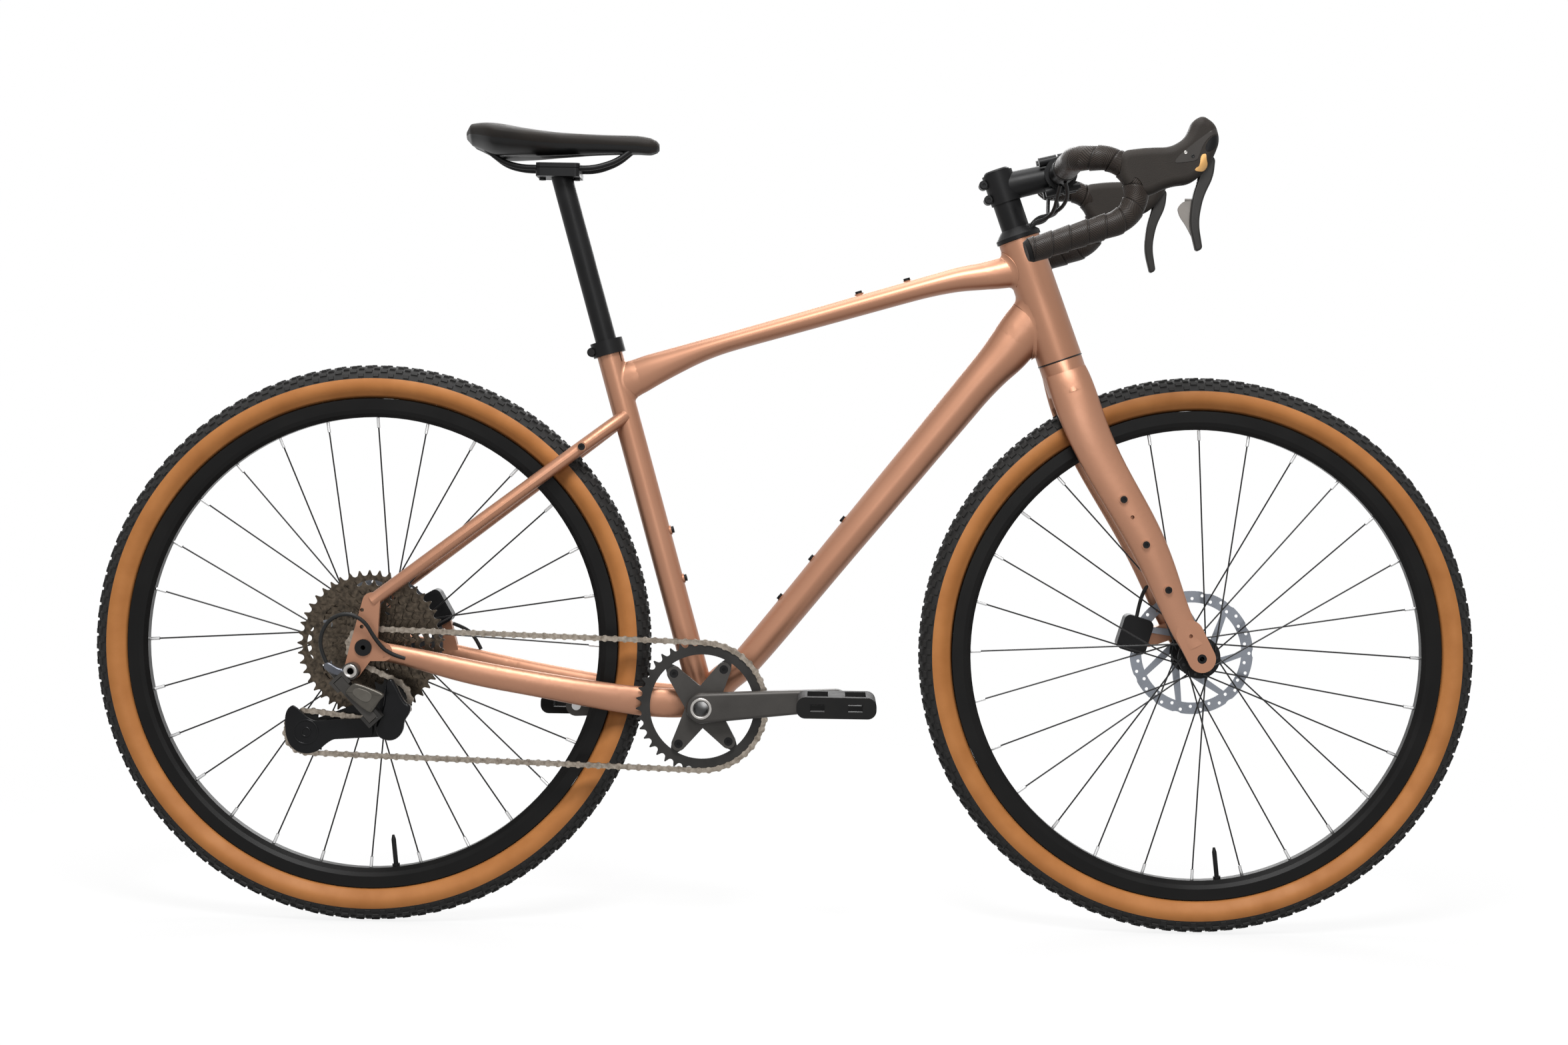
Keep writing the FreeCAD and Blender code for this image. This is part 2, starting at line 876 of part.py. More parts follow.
def compound(label, members):
    """Sub-part that holds separate solids."""
    group = doc.addObject("Part::Compound", label)
    group.Label = label
    group.Links = members
    doc.recompute()
    return group


# Frame


def top_tube():
    """Top tube with a deep root at the seat tube and a swollen head end."""
    start = place.seat_up * size.top_tube_seat_station
    run = place.on_steerer(-size.top_tube_head_station) - start
    up = ALONG_Y.cross(run).normalize() * -1
    wires = []
    for along, rise, depth, width in TOP_TUBE_SHARES:
        centre = start + run * along + up * (rise * size.top_tube_rise)
        half_depth = depth * size.top_tube_depth / 2
        half_width = width * size.top_tube_width / 2
        wires.append(oval(centre, up, ALONG_Y, half_depth, half_width))
    return loft(wires)


def down_tube_axis():
    """Run of the down tube from the bottom bracket to the head tube."""
    return place.on_steerer(-size.down_tube_head_station)


def down_tube():
    """Down tube with a deep head end."""
    run = down_tube_axis()
    up = ALONG_Y.cross(run).normalize() * -1
    wires = []
    for along, depth, width in DOWN_TUBE_SHARES:
        half_depth = depth * size.down_tube_depth / 2
        half_width = width * size.down_tube_width / 2
        wires.append(oval(run * along, up, ALONG_Y, half_depth, half_width))
    return loft(wires)


def stay_half_spacing(side):
    """Distance of a dropout's inner face from the bike's plane, with its side."""
    return side * size.rear_spacing / 2


def chainstay(side):
    """Flattened stay that bends round the tyre to its dropout."""
    centres = []
    for back, out, rise, _, _ in CHAINSTAY_SHARES:
        centre = place.rear_axle * back
        centre.z = place.rear_axle.z * rise
        centres.append(across(centre, stay_half_spacing(side) * out))
    wires = []
    for index, (_, _, _, width, height) in enumerate(CHAINSTAY_SHARES):
        heading = centres[min(index + 1, len(centres) - 1)] - centres[max(index - 1, 0)]
        sideways = heading.cross(ALONG_Z).normalize()
        up = sideways.cross(heading).normalize()
        half_width = width * size.chainstay_width / 2
        half_height = height * size.chainstay_height / 2
        wires.append(oval(centres[index], sideways, up, half_width, half_height))
    return loft(wires)


def seatstay_foot():
    """Point of the bike's plane at the lower end of the seatstays."""
    return place.rear_axle + Vector(size.seatstay_foot_lead, 0, size.seatstay_foot_rise)


def seatstay_point(along, side):
    """Point on a seatstay's axis, between its stations."""
    base = seatstay_foot()
    run = place.seat_up * size.seatstay_seat_station - base
    out = 0
    for (low, low_out), (high, high_out) in zip(SEATSTAY_SHARES, SEATSTAY_SHARES[1:]):
        if low <= along <= high:
            out = low_out + (high_out - low_out) * (along - low) / (high - low)
    return across(base + run * along, stay_half_spacing(side) * out)


def seatstay(side):
    """Round stay that bends round the tyre to the seat tube."""
    centres = [seatstay_point(along, side) for along, _ in SEATSTAY_SHARES]
    wires = []
    for index, centre in enumerate(centres):
        heading = centres[min(index + 1, len(centres) - 1)] - centres[max(index - 1, 0)]
        sideways = heading.cross(ALONG_Z).normalize()
        up = sideways.cross(heading).normalize()
        wires.append(oval(centre, sideways, up, size.seatstay_radius, size.seatstay_radius))
    return loft(wires)


def hanger_point():
    """Axis of the derailleur's mounting bolt."""
    return place.rear_axle + Vector(-size.hanger_back, 0, -size.hanger_drop)


def eyelet_points():
    """Rack and mudguard eyelets above the rear axle."""
    rises = (size.eyelet_low_rise, size.eyelet_high_rise)
    return [place.rear_axle + Vector(-size.eyelet_back, 0, rise) for rise in rises]


def dropout(side):
    """Plate that joins both stays of a side and holds the axle."""
    low = stay_half_spacing(side)
    high = low + side * size.dropout_thickness
    low, high = min(low, high), max(low, high)
    axle = place.rear_axle
    stay_end = axle * CHAINSTAY_SHARES[-1][0]
    stay_end.z = axle.z * CHAINSTAY_SHARES[-1][2]
    plates = [
        tapered_plate(axle, size.dropout_radius, seatstay_foot(), size.dropout_arm_radius, low, high),
        tapered_plate(axle, size.dropout_radius, stay_end, size.dropout_arm_radius, low, high),
    ]
    if side == RIGHT:
        plates.append(tapered_plate(axle, size.dropout_radius, hanger_point(), size.hanger_radius, low, high))
    plate = fused(plates)
    reach = side * (size.rear_spacing + size.dropout_thickness)
    bores = [rod(axle, across(axle, reach), size.axle_radius + size.seat_clearance)]
    bores += [rod(point, across(point, reach), size.eyelet_radius) for point in eyelet_points()]
    if side == RIGHT:
        bores.append(rod(hanger_point(), across(hanger_point(), reach), size.hanger_bore_radius))
    return plate, bores


def head_tube():
    """Outer form of the head tube."""
    return taper(place.head_low, place.head_top, size.head_tube_low_radius, size.head_tube_top_radius)


def head_bores():
    """Space for the steerer and both headset bearings."""
    fit = size.seat_clearance
    low, top, up = place.head_low, place.head_top, place.head_up
    through = rod(low - up * size.cut_overrun, top + up * size.cut_overrun, size.upper_bearing_radius + fit)
    lower = rod(low - up * size.cut_overrun, low + up * size.bearing_height, size.lower_bearing_radius + fit)
    ledge_top = top - up * size.bearing_height
    ledge = ring(ledge_top - up * size.bearing_height, ledge_top, size.upper_bearing_radius + fit,
                 size.upper_bearing_radius - size.boss_height)
    return fused([through.cut(ledge), lower])


def seat_tube_holes():
    """Seatpost bore and clamp slot at the top of the seat tube."""
    up = place.seat_up
    end = place.seat_top + up * size.cut_overrun
    bore = rod(end - up * size.seat_tube_bore_depth, end, size.post_radius + size.running_clearance)
    slot = Part.makeBox(size.seat_tube_radius * 2, size.seat_slot_width, size.seat_slot_length)
    slot.translate(Vector(0, -size.seat_slot_width / 2, -size.seat_slot_length))
    slot.rotate(Vector(), ALONG_Z, -size.head_angle / 2)
    slot.Placement = Placement(end, Rotation(ALONG_Z, up)).multiply(slot.Placement)
    return [bore, slot]


def boss_seats():
    """Bottle-cage and bag boss seats on the three main tubes, with their outward directions."""
    run = down_tube_axis()
    along = Vector(run).normalize()
    up = ALONG_Y.cross(run).normalize() * -1
    seats = []
    tube = down_tube()
    for index in range(3):
        station = along * (size.down_tube_boss_station + index * size.bottle_pitch)
        ray = Part.LineSegment(station, station + up * size.down_tube_depth).toShape()
        spots = [vertex.Point for vertex in tube.common(ray).Vertexes]
        seats.append((max(spots, key=lambda spot: spot.dot(up)), up))
    front = place.seat_up.cross(ALONG_Y) * -1
    for index in range(2):
        station = size.seat_tube_boss_station + index * size.bottle_pitch
        seats.append((place.seat_up * station + front * size.seat_tube_radius, front))
    start = place.seat_up * size.top_tube_seat_station
    run = place.on_steerer(-size.top_tube_head_station) - start
    along = Vector(run).normalize()
    up = ALONG_Y.cross(run).normalize() * -1
    for index in range(2):
        station = size.top_tube_boss_station + index * size.bottle_pitch
        rise = size.top_tube_rise * TOP_TUBE_SHARES[3][1] + size.top_tube_depth / 2
        seats.append((start + along * station + up * (rise + size.boss_height), up))
    return [(seat + out * size.boss_height, out) for seat, out in seats]


def stay_bolt_seats():
    """Rack bolt seats on the outer faces of the seatstays."""
    seats = []
    for side in SIDES:
        point = seatstay_point(SEATSTAY_BOLT_SHARE, side)
        out = ALONG_Y * side
        seats.append((point + out * (size.seatstay_radius + size.boss_height * 2), out))
    return seats


def make_frame():
    """Welded frame of tubes, stays, shell and dropouts."""
    half = size.shell_width / 2
    shell = side_disc(Vector(), size.shell_radius, -half, half)
    seat_tube = rod(Vector(), place.seat_top, size.seat_tube_radius)
    tubes = [shell, seat_tube, head_tube(), top_tube(), down_tube()]
    holes = [side_disc(Vector(), size.shell_bore_radius, -half - size.cut_overrun, half + size.cut_overrun)]
    for side in SIDES:
        plate, bores = dropout(side)
        tubes += [chainstay(side), seatstay(side), plate]
        holes += bores
    bridge = [seatstay_point(SEATSTAY_BRIDGE_SHARE, side) for side in SIDES]
    tubes.append(rod(bridge[0], bridge[1], size.seatstay_bridge_radius))
    for seat, out in boss_seats() + stay_bolt_seats():
        tubes.append(rod(seat - out * size.boss_radius, seat, size.boss_radius))
        holes.append(bolt_hole(seat, out, size.bolt_shank_length))
    for side in SIDES:
        far = half + size.cup_length + size.cut_overrun
        holes.append(side_disc(Vector(), size.cup_radius + size.part_gap, side * half, side * far))
    tubes.append(caliper_foot())
    holes += seat_tube_holes()
    holes.append(head_bores())
    return feature("frame", fused(tubes).cut(holes))


def make_frame_bolts():
    """Bolts in the bottle, bag and rack bosses."""
    seats = boss_seats() + stay_bolt_seats()
    bolts = [bolt(seat, out, size.bolt_shank_length) for seat, out in seats]
    return feature("frame_bolts", Part.makeCompound(bolts))


def make_headset_bearings():
    """Bearing rings at both ends of the head tube."""
    upper = bound_tube(
        "upper_bearing", "upper_bearing_radius", "steerer_radius + running_clearance", "bearing_height",
        place.on_steerer(-size.bearing_height), place.head_up,
    )
    lower = bound_tube(
        "lower_bearing", "lower_bearing_radius", "steerer_low_radius + running_clearance", "bearing_height",
        place.head_low, place.head_up,
    )
    return compound("headset_bearings", [upper, lower])


def make_bottom_bracket_cups():
    """Bearing cups on both ends of the bottom bracket shell."""
    cups = []
    for name, side in (("right_cup", RIGHT), ("left_cup", LEFT)):
        start = Vector(0, side * size.shell_width / 2, 0)
        bore = "spindle_radius + running_clearance"
        cups.append(bound_tube(name, "cup_radius", bore, "cup_length", start, ALONG_Y * side))
    return compound("bottom_bracket_cups", cups)


def make_seat_clamp():
    """Split collar round the top of the seat tube, with its bolt lugs."""
    top = place.seat_top + place.seat_up * size.seat_clearance
    low = top - place.seat_up * size.collar_height
    bore = size.seat_tube_radius + size.seat_clearance
    collar = ring(low, top, size.collar_radius, bore)
    lip = ring(top, top + place.seat_up * size.boss_height, size.collar_radius,
               size.post_radius + size.part_gap)
    back = place.seat_up.cross(ALONG_Y)
    lug = place.seat_top - place.seat_up * (size.collar_height / 2) + back * size.collar_radius
    half = size.bolt_shank_length
    lugs = rod(lug - ALONG_Y * half, lug + ALONG_Y * half, size.boss_radius)
    lugs = lugs.cut(rod(low - place.seat_up * size.cut_overrun, top, bore))
    gap = Part.makeBox(size.collar_radius * 2, size.seat_slot_width, size.collar_height * 3)
    gap.translate(Vector(0, -size.seat_slot_width / 2, -size.collar_height * 2))
    gap.Placement = Placement(top, Rotation(back, ALONG_Y, place.seat_up, "XZY")).multiply(gap.Placement)
    head = rod(lug - ALONG_Y * (half + size.bolt_head_height), lug - ALONG_Y * half, size.bolt_head_radius)
    return feature("seat_clamp", fused([collar, lip, lugs, head]).cut(gap))


# Fork and steering


def fork_blade(side):
    """Tapered blade from the crown to the axle."""
    out = side * (size.front_spacing + size.fork_end_thickness) / 2
    shoulder = place.shoulder()
    wires = []
    for depth, away, deep, wide in CROWN_BLADE_SHARES:
        centre = place.head_low - place.head_up * (depth * size.blade_length_shoulder)
        halves = (deep * size.blade_half_depth, wide * size.blade_half_width)
        wires.append(oval(across(centre, out * away), place.head_front, ALONG_Y, *halves))
    run = place.front_axle - shoulder
    front = run.cross(ALONG_Y).normalize()
    for along, away, deep, wide in BLADE_SHARES:
        halves = (deep * size.blade_half_depth, wide * size.blade_half_width)
        wires.append(oval(across(shoulder + run * along, out * away), front, ALONG_Y, *halves))
    return loft(wires)


def fork_end(side):
    """Rounded end of a blade round the axle."""
    low = side * size.front_spacing / 2
    high = low + side * size.fork_end_thickness
    run = (place.shoulder() - place.front_axle).normalize()
    root = place.front_axle + run * (size.blade_end_radius * 2)
    return tapered_plate(
        place.front_axle, size.blade_end_radius, root, size.blade_end_radius, min(low, high), max(low, high)
    )


def fork_line_point(station):
    """Point of the blades' straight axis below the shoulder."""
    run = (place.front_axle - place.shoulder()).normalize()
    return place.shoulder() + run * station


def fork_boss_seats():
    """Cargo-cage bolt seats on the outer faces of both blades."""
    seats = []
    for index in range(3):
        point = fork_line_point(size.fork_boss_first + index * size.fork_boss_pitch)
        for side in SIDES:
            seats.append((across(point, side * size.front_spacing), ALONG_Y * side))
    return seats


def seated(shape, seats, lift):
    """Seats moved along their directions onto a shape's surface."""
    moved = []
    for point, out in seats:
        inside = across(point, 0)
        ray = Part.LineSegment(point + out * size.front_spacing, inside).toShape()
        hit = shape.common(ray)
        far = max((vertex.Point for vertex in hit.Vertexes), key=lambda spot: spot.dot(out))
        moved.append((far + out * lift, out))
    return moved


def make_fork():
    """One-piece fork of steerer, crown, blades and ends, with the cargo bolts' seats."""
    low, up = place.head_low, place.head_up
    top = place.on_steerer(place.stem_station + size.stem_clamp_height - size.top_cap_height)
    taper_top = low + up * (size.bearing_height + size.steerer_taper_length)
    race_top = low + up * size.bearing_height
    steerer = [
        rod(low, race_top, size.steerer_low_radius),
        taper(race_top, taper_top, size.steerer_low_radius, size.steerer_radius),
        rod(taper_top, top, size.steerer_radius),
    ]
    crown_top = low - up * size.cover_gap
    crown_low = crown_top - up * size.crown_depth
    crown = loft([
        oval(crown_top, place.head_front, ALONG_Y, size.crown_radius, size.crown_radius),
        oval(crown_low, place.head_front, ALONG_Y, size.crown_radius, size.crown_half_width),
    ])
    neck = rod(crown_top - up * size.crown_depth / 2, low, size.steerer_low_radius)
    shape = fused([*steerer, neck, crown, fork_blade(RIGHT), fork_blade(LEFT)])
    half_room = size.wheel_room_half_width
    room = side_disc(place.front_axle, size.wheel_room_radius, -half_room, half_room)
    shape = fused([shape.cut(room), fork_end(RIGHT), fork_end(LEFT), fork_caliper_foot()])
    reach = size.front_spacing
    shape = shape.cut(side_disc(place.front_axle, size.axle_radius + size.seat_clearance, -reach, reach))
    seats = seated(shape, fork_boss_seats(), 0)
    seats = [(seat + out * size.boss_height, out) for seat, out in seats]
    sunk = size.boss_radius + size.boss_height
    bosses = [rod(seat - out * sunk, seat, size.boss_radius) for seat, out in seats]
    shape = fused([shape, *bosses])
    holes = [bolt_hole(seat, out, size.bolt_shank_length) for seat, out in seats]
    for station in (size.fork_hole_high, size.fork_hole_low):
        point = fork_line_point(station)
        for side in SIDES:
            mouth = seated(shape, [(across(point, side * reach), ALONG_Y * side)], 0)[0][0]
            bottom = mouth - ALONG_Y * (side * size.fork_hole_depth)
            holes.append(rod(bottom, across(mouth, side * reach), size.fork_hole_radius))
    return feature("fork", shape.cut(holes)), seats


def make_headset_stack():
    """Cover, spacers and top cap on the steerer."""
    bore = "steerer_radius + seat_clearance"
    cover = revolved("headset_cover", [[
        (bore, "0"),
        ("cover_radius", "0"),
        ("cover_radius", "cover_height / 3"),
        ("spacer_radius + boss_height", "cover_height"),
        (bore, "cover_height"),
    ]], place.on_steerer(size.cover_gap), place.head_up)
    holes = doc.addObject("Part::Feature", "headset_hose_holes")
    holes.Shape = Part.makeCompound(steering_hoses(size.hose_radius + size.seat_clearance))
    drilled = doc.addObject("Part::Cut", "headset_drilled_cover")
    drilled.Base = cover
    drilled.Tool = holes
    members = [drilled]
    for index in range(int(size.spacer_count)):
        station = size.cover_gap + size.cover_height + index * size.spacer_height
        start = place.on_steerer(station)
        name = f"spacer_{index + 1}"
        members.append(bound_tube(name, "spacer_radius", bore, "spacer_height", start, place.head_up))
    cap = revolved("top_cap", [[
        ("bolt_shank_radius", "0"),
        ("top_cap_radius", "0"),
        ("top_cap_radius", "top_cap_height / 2"),
        ("top_cap_radius - top_cap_height / 2", "top_cap_height"),
        ("bolt_shank_radius", "top_cap_height"),
    ]], place.on_steerer(place.stem_station + size.stem_clamp_height), place.head_up)
    members.append(cap)
    return compound("headset_stack", members)


def stem_space(radius):
    """Rod through the stem along the steering axis."""
    start = place.on_steerer(place.stem_station - size.cut_overrun)
    end = place.on_steerer(place.stem_station + size.stem_clamp_height + size.cut_overrun)
    return rod(start, end, radius)


def stem_bolt_seats():
    """Pinch bolt seats behind the steerer."""
    seats = []
    for share in STEM_BOLT_SHARES:
        station = place.stem_station + share * size.stem_clamp_height
        back = place.on_steerer(station) - place.head_front * (size.stem_clamp_radius + size.boss_height)
        seats.append((back - ALONG_Y * size.bolt_shank_length, ALONG_Y * RIGHT))
    return seats


def plate_bolt_seats():
    """Face-plate bolt seats above and below the bar."""
    up = place.stem_front.cross(ALONG_Y)
    seats = []
    for rise in (1, -1):
        for side in SIDES:
            point = place.bar_centre + up * (rise * (size.bar_clamp_radius - size.boss_height))
            point += ALONG_Y * (side * (size.bar_clamp_width / 2 - size.boss_radius))
            point += place.stem_front * (size.bar_clamp_radius - size.bolt_head_height)
            seats.append((point, place.stem_front))
    return seats


def stem_blank():
    """Stem with its face plate before they are parted."""
    low = place.on_steerer(place.stem_station)
    top = place.on_steerer(place.stem_station + size.stem_clamp_height)
    half = size.bar_clamp_width / 2
    root = size.stem_clamp_radius - size.boss_height
    forms = [
        rod(low, top, size.stem_clamp_radius),
        taper(place.stem_centre, place.bar_centre, root, size.stem_neck_radius),
        side_disc(place.bar_centre, size.bar_clamp_radius, -half, half),
    ]
    for seat, out in stem_bolt_seats():
        forms.append(rod(seat, seat - out * (size.bolt_shank_length * 2), size.boss_radius))
    for seat, out in plate_bolt_seats():
        forms.append(rod(seat - out * (size.bar_clamp_radius * 2), seat, size.boss_radius))
    blank = fused(forms)
    blank = blank.cut(stem_space(size.steerer_radius + size.seat_clearance))
    reach = size.bar_clamp_width
    bore = size.bar_clamp_bulge_radius + size.seat_clearance
    return blank.cut(side_disc(place.bar_centre, bore, -reach, reach))


def stem_split_box():
    """Space before the middle of the bar, square to the stem."""
    length = size.bar_clamp_width * 2
    box = Part.makeBox(length, length, length)
    box.translate(Vector(0, -length / 2, -length / 2))
    up = place.stem_front.cross(ALONG_Y)
    turn = Rotation(place.stem_front, ALONG_Y, up, "XYZ")
    box.Placement = Placement(place.bar_centre, turn).multiply(box.Placement)
    return box


def make_stem():
    """Stem clamped to the steerer, with a pinch slot behind it."""
    front = stem_split_box()
    front.translate(place.stem_front * -(size.stem_split / 2))
    shape = stem_blank().cut(front)
    slot = Part.makeBox(size.stem_clamp_radius * 3, size.stem_split, size.stem_clamp_height * 3)
    slot.translate(Vector(0, -size.stem_split / 2, -size.stem_clamp_height))
    back = place.head_front * -1
    turn = Rotation(back, ALONG_Y, place.head_up, "XYZ")
    slot.Placement = Placement(place.stem_centre, turn).multiply(slot.Placement)
    seats = stem_bolt_seats() + plate_bolt_seats()
    holes = [bolt_hole(seat, out, size.bolt_shank_length * 2) for seat, out in seats]
    heads = [bolt_head_space(seat, out) for seat, out in stem_bolt_seats()]
    return feature("stem", shape.cut([slot, *holes, *heads]))


def make_stem_faceplate():
    """Cap that holds the bar against the stem."""
    front = stem_split_box()
    front.translate(place.stem_front * (size.stem_split / 2))
    holes = [bolt_hole(seat, out, size.bolt_shank_length * 2) for seat, out in plate_bolt_seats()]
    return feature("stem_faceplate", stem_blank().common(front).cut(holes))


def make_steering_bolts(fork_seats):
    """Stem, face-plate and cargo bolts."""
    stem_seats = stem_bolt_seats() + plate_bolt_seats()
    bolts = [bolt(seat, out, size.bolt_shank_length * 2) for seat, out in stem_seats]
    bolts += [bolt(seat, out, size.bolt_shank_length) for seat, out in fork_seats]
    return feature("steering_bolts", Part.makeCompound(bolts))


def bar_runs(side, start):
    """Straight runs and arcs of one half of the bar, from a distance beside the stem."""
    out = ALONG_Y * side
    shoulder_start = size.bar_half_width - size.bar_shoulder_radius
    centre = place.bar_centre
    runs = [{"start": centre + out * start, "heading": out, "length": shoulder_start - start}]
    turn_centre = centre + out * shoulder_start + ALONG_X * size.bar_shoulder_radius
    turn_axis = ALONG_Z * -side
    runs.append({
        "start": centre + out * shoulder_start, "heading": out,
        "centre": turn_centre, "axis": turn_axis, "angle": 90,
    })
    flare = math.radians(size.bar_flare_angle)
    down = out * math.sin(flare) - ALONG_Z * math.cos(flare)
    hook_start = turn_centre + out * size.bar_shoulder_radius
    hook_centre = hook_start + down * size.bar_hook_radius
    hook_axis = (down * -1).cross(ALONG_X)
    angle = size.bar_hook_angle
    runs.append({
        "start": hook_start, "heading": ALONG_X,
        "centre": hook_centre, "axis": hook_axis, "angle": angle,
    })
    spin = Rotation(hook_axis, angle)
    end = hook_centre + spin.multVec(hook_start - hook_centre)
    runs.append({"start": end, "heading": spin.multVec(ALONG_X), "length": size.bar_drop_length})
    return runs


def bar_end(side):
    """Point and heading of one end of the bar."""
    last = bar_runs(side, 0)[-1]
    return last["start"] + last["heading"] * last["length"], last["heading"]


def make_handlebar():
    """Flared drop bar with a thick middle."""
    halves = [tube_on_runs(bar_runs(side, 0), size.bar_radius) for side in SIDES]
    centre = place.bar_centre
    forms = list(halves)
    for side in SIDES:
        bulge_end = centre + ALONG_Y * (side * size.bar_bulge_half_length)
        taper_end = bulge_end + ALONG_Y * (side * size.bar_taper_length)
        forms.append(rod(centre, bulge_end, size.bar_clamp_bulge_radius))
        forms.append(taper(bulge_end, taper_end, size.bar_clamp_bulge_radius, size.bar_radius))
    return feature("handlebar", fused(forms))


def make_bar_tape(side):
    """Wrapped tape on one half of the bar."""
    label = "right_bar_tape" if side == RIGHT else "left_bar_tape"
    bore = size.bar_radius + size.seat_clearance
    return feature(label, tube_on_runs(bar_runs(side, size.tape_start), size.tape_radius, bore))


def make_bar_end_plugs():
    """Plugs that close both ends of the bar."""
    plugs = []
    for side in SIDES:
        point, heading = bar_end(side)
        start = point + heading * size.seat_clearance
        plugs.append(taper(start, start + heading * size.plug_length, size.plug_radius,
                           size.plug_radius - size.plug_length / 2))
    return feature("bar_end_plugs", Part.makeCompound(plugs))


# Brake hoods and levers


def lever_line(side):
    """Distance of a lever's plane on the left."""
    flare = math.sin(math.radians(size.bar_flare_angle))
    return side * (size.bar_half_width + size.bar_hook_radius * flare / 2)


def scaled_points(origin, out, shares, length, height):
    """Points of a side outline about an origin."""
    return [across(origin + Vector(x * length, 0, z * height), out) for x, z in shares]


def centred_plate(points, width):
    """Plate of a given width about the plane of its outline."""
    plate = side_plate(rounded_outline(points), width)
    plate.translate(Vector(0, -width / 2, 0))
    return plate


def rim_edges(plate, width):
    """Edges of both outlines of a plate."""
    edges = []
    for edge in plate.Edges:
        spots = [vertex.Point.y for vertex in edge.Vertexes]
        if max(spots) - min(spots) < width / 2:
            edges.append(edge)
    return edges


def lever_pivot(side):
    """Point on the axis of a brake lever."""
    away = Vector(size.lever_pivot_front, 0, size.lever_pivot_rise)
    return across(place.bar_centre + away, lever_line(side))


def make_hood(side):
    """Rubber hood clamped to the bar, with a slot and a pin for its lever."""
    label = "right_hood" if side == RIGHT else "left_hood"
    out = lever_line(side)
    origin = place.bar_centre + Vector(size.hood_back, 0, -size.hood_low)
    points = scaled_points(origin, out, HOOD_OUTLINE_SHARES, size.hood_length, size.hood_height)
    blank = centred_plate(points, size.hood_width)
    blank = blank.makeFillet(size.hood_edge_radius, rim_edges(blank, size.hood_width))
    hook = bar_runs(side, size.tape_start)[2]
    tape = tube_on_runs([hook], size.tape_radius + size.seat_clearance)
    slot = Part.makeBox(size.hood_length, size.hood_slot_width, size.hood_height * 2)
    corner_point = origin + Vector(HOOD_SLOT_BACK_SHARE * size.hood_length, 0, 0)
    corner_point.z += HOOD_SLOT_TOP_SHARE * size.hood_height - size.hood_height * 2
    slot.translate(across(corner_point, out - size.hood_slot_width / 2))
    pivot = lever_pivot(side)
    half = size.hood_slot_width / 2 + size.hood_edge_radius / 2
    pin = rod(pivot - ALONG_Y * half, pivot + ALONG_Y * half, size.lever_pin_radius)
    return feature(label, fused([blank.cut([tape, slot]), pin]))


def make_brake_lever(side):
    """Curved lever blade that swings on the hood's pin."""
    label = "right_brake_lever" if side == RIGHT else "left_brake_lever"
    out = lever_line(side)
    pivot = lever_pivot(side)
    points = scaled_points(pivot, out, LEVER_OUTLINE_SHARES, size.lever_length, size.lever_length)
    blade = centred_plate(points, size.lever_width)
    blade = blade.makeFillet(size.lever_edge_radius, rim_edges(blade, size.lever_width))
    bore = rod(pivot - ALONG_Y * size.lever_width, pivot + ALONG_Y * size.lever_width,
               size.lever_pin_radius + size.running_clearance)
    return feature(label, blade.cut(bore))


def paddle_pivot():
    """Point on the axis of the shift paddle, beside the right lever."""
    side, rise = PADDLE_PIVOT_SHARES
    point = lever_pivot(RIGHT) + Vector(side * size.lever_length, 0, rise * size.lever_length)
    away = size.lever_width / 2 + size.part_gap + size.paddle_thickness / 2
    return across(point, lever_line(RIGHT) + away)


def make_shift_paddle():
    """Small paddle behind the right lever, with a round knuckle on its axis."""
    pivot = paddle_pivot()
    points = scaled_points(pivot, pivot.y, PADDLE_OUTLINE_SHARES, size.paddle_length, size.paddle_length)
    plate = centred_plate(points, size.paddle_thickness)
    knuckle = rod(pivot - ALONG_X * size.paddle_knuckle_length, pivot, size.paddle_knuckle_radius)
    return feature("shift_paddle", fused([plate, knuckle]))


# Wheels


def make_tyre(label, centre):
    """Tyre with a bulging casing, open at its beads."""
    crown = "tyre_radius - tyre_shoulder_radius"
    crown_radius = f"(tyre_shoulder_half_width ^ 2 + ({crown}) ^ 2) / (2 * ({crown}))"
    bead = "rim_outer_radius + seat_clearance"
    inner = "tyre_shoulder_half_width - tyre_wall"
    inner_bead = "tyre_bead_half_width - tyre_wall"
    return revolved(label, [[
        (bead, "0 - tyre_bead_half_width", "tyre_sidewall_radius"),
        ("tyre_shoulder_radius", "0 - tyre_shoulder_half_width", crown_radius),
        ("tyre_shoulder_radius", "tyre_shoulder_half_width", "tyre_sidewall_radius"),
        (bead, "tyre_bead_half_width"),
        (bead, inner_bead),
        ("tyre_shoulder_radius", inner),
        ("tyre_radius - tyre_wall", "0"),
        ("tyre_shoulder_radius", f"0 - ({inner})"),
        (bead, f"0 - ({inner_bead})"),
    ]], centre)


def make_rim(label, centre):
    """Rim with a rounded nose and a hooked well for the tyre."""
    half = "rim_width / 2"
    side = [
        ("rim_inner_radius", "rim_nose_half_width"),
        ("rim_inner_radius + rim_shoulder_depth", "rim_width / 2 - rim_hook_width"),
        ("rim_inner_radius + rim_shoulder_depth * 2", half),
        ("rim_outer_radius", half),
        ("rim_outer_radius", "rim_width / 2 - rim_hook_width"),
        ("rim_outer_radius - rim_well_depth", "rim_width / 2 - rim_hook_width * 2"),
    ]
    other = [(radius, f"0 - ({away})") for radius, away in reversed(side)]
    return revolved(label, [side + other], centre)


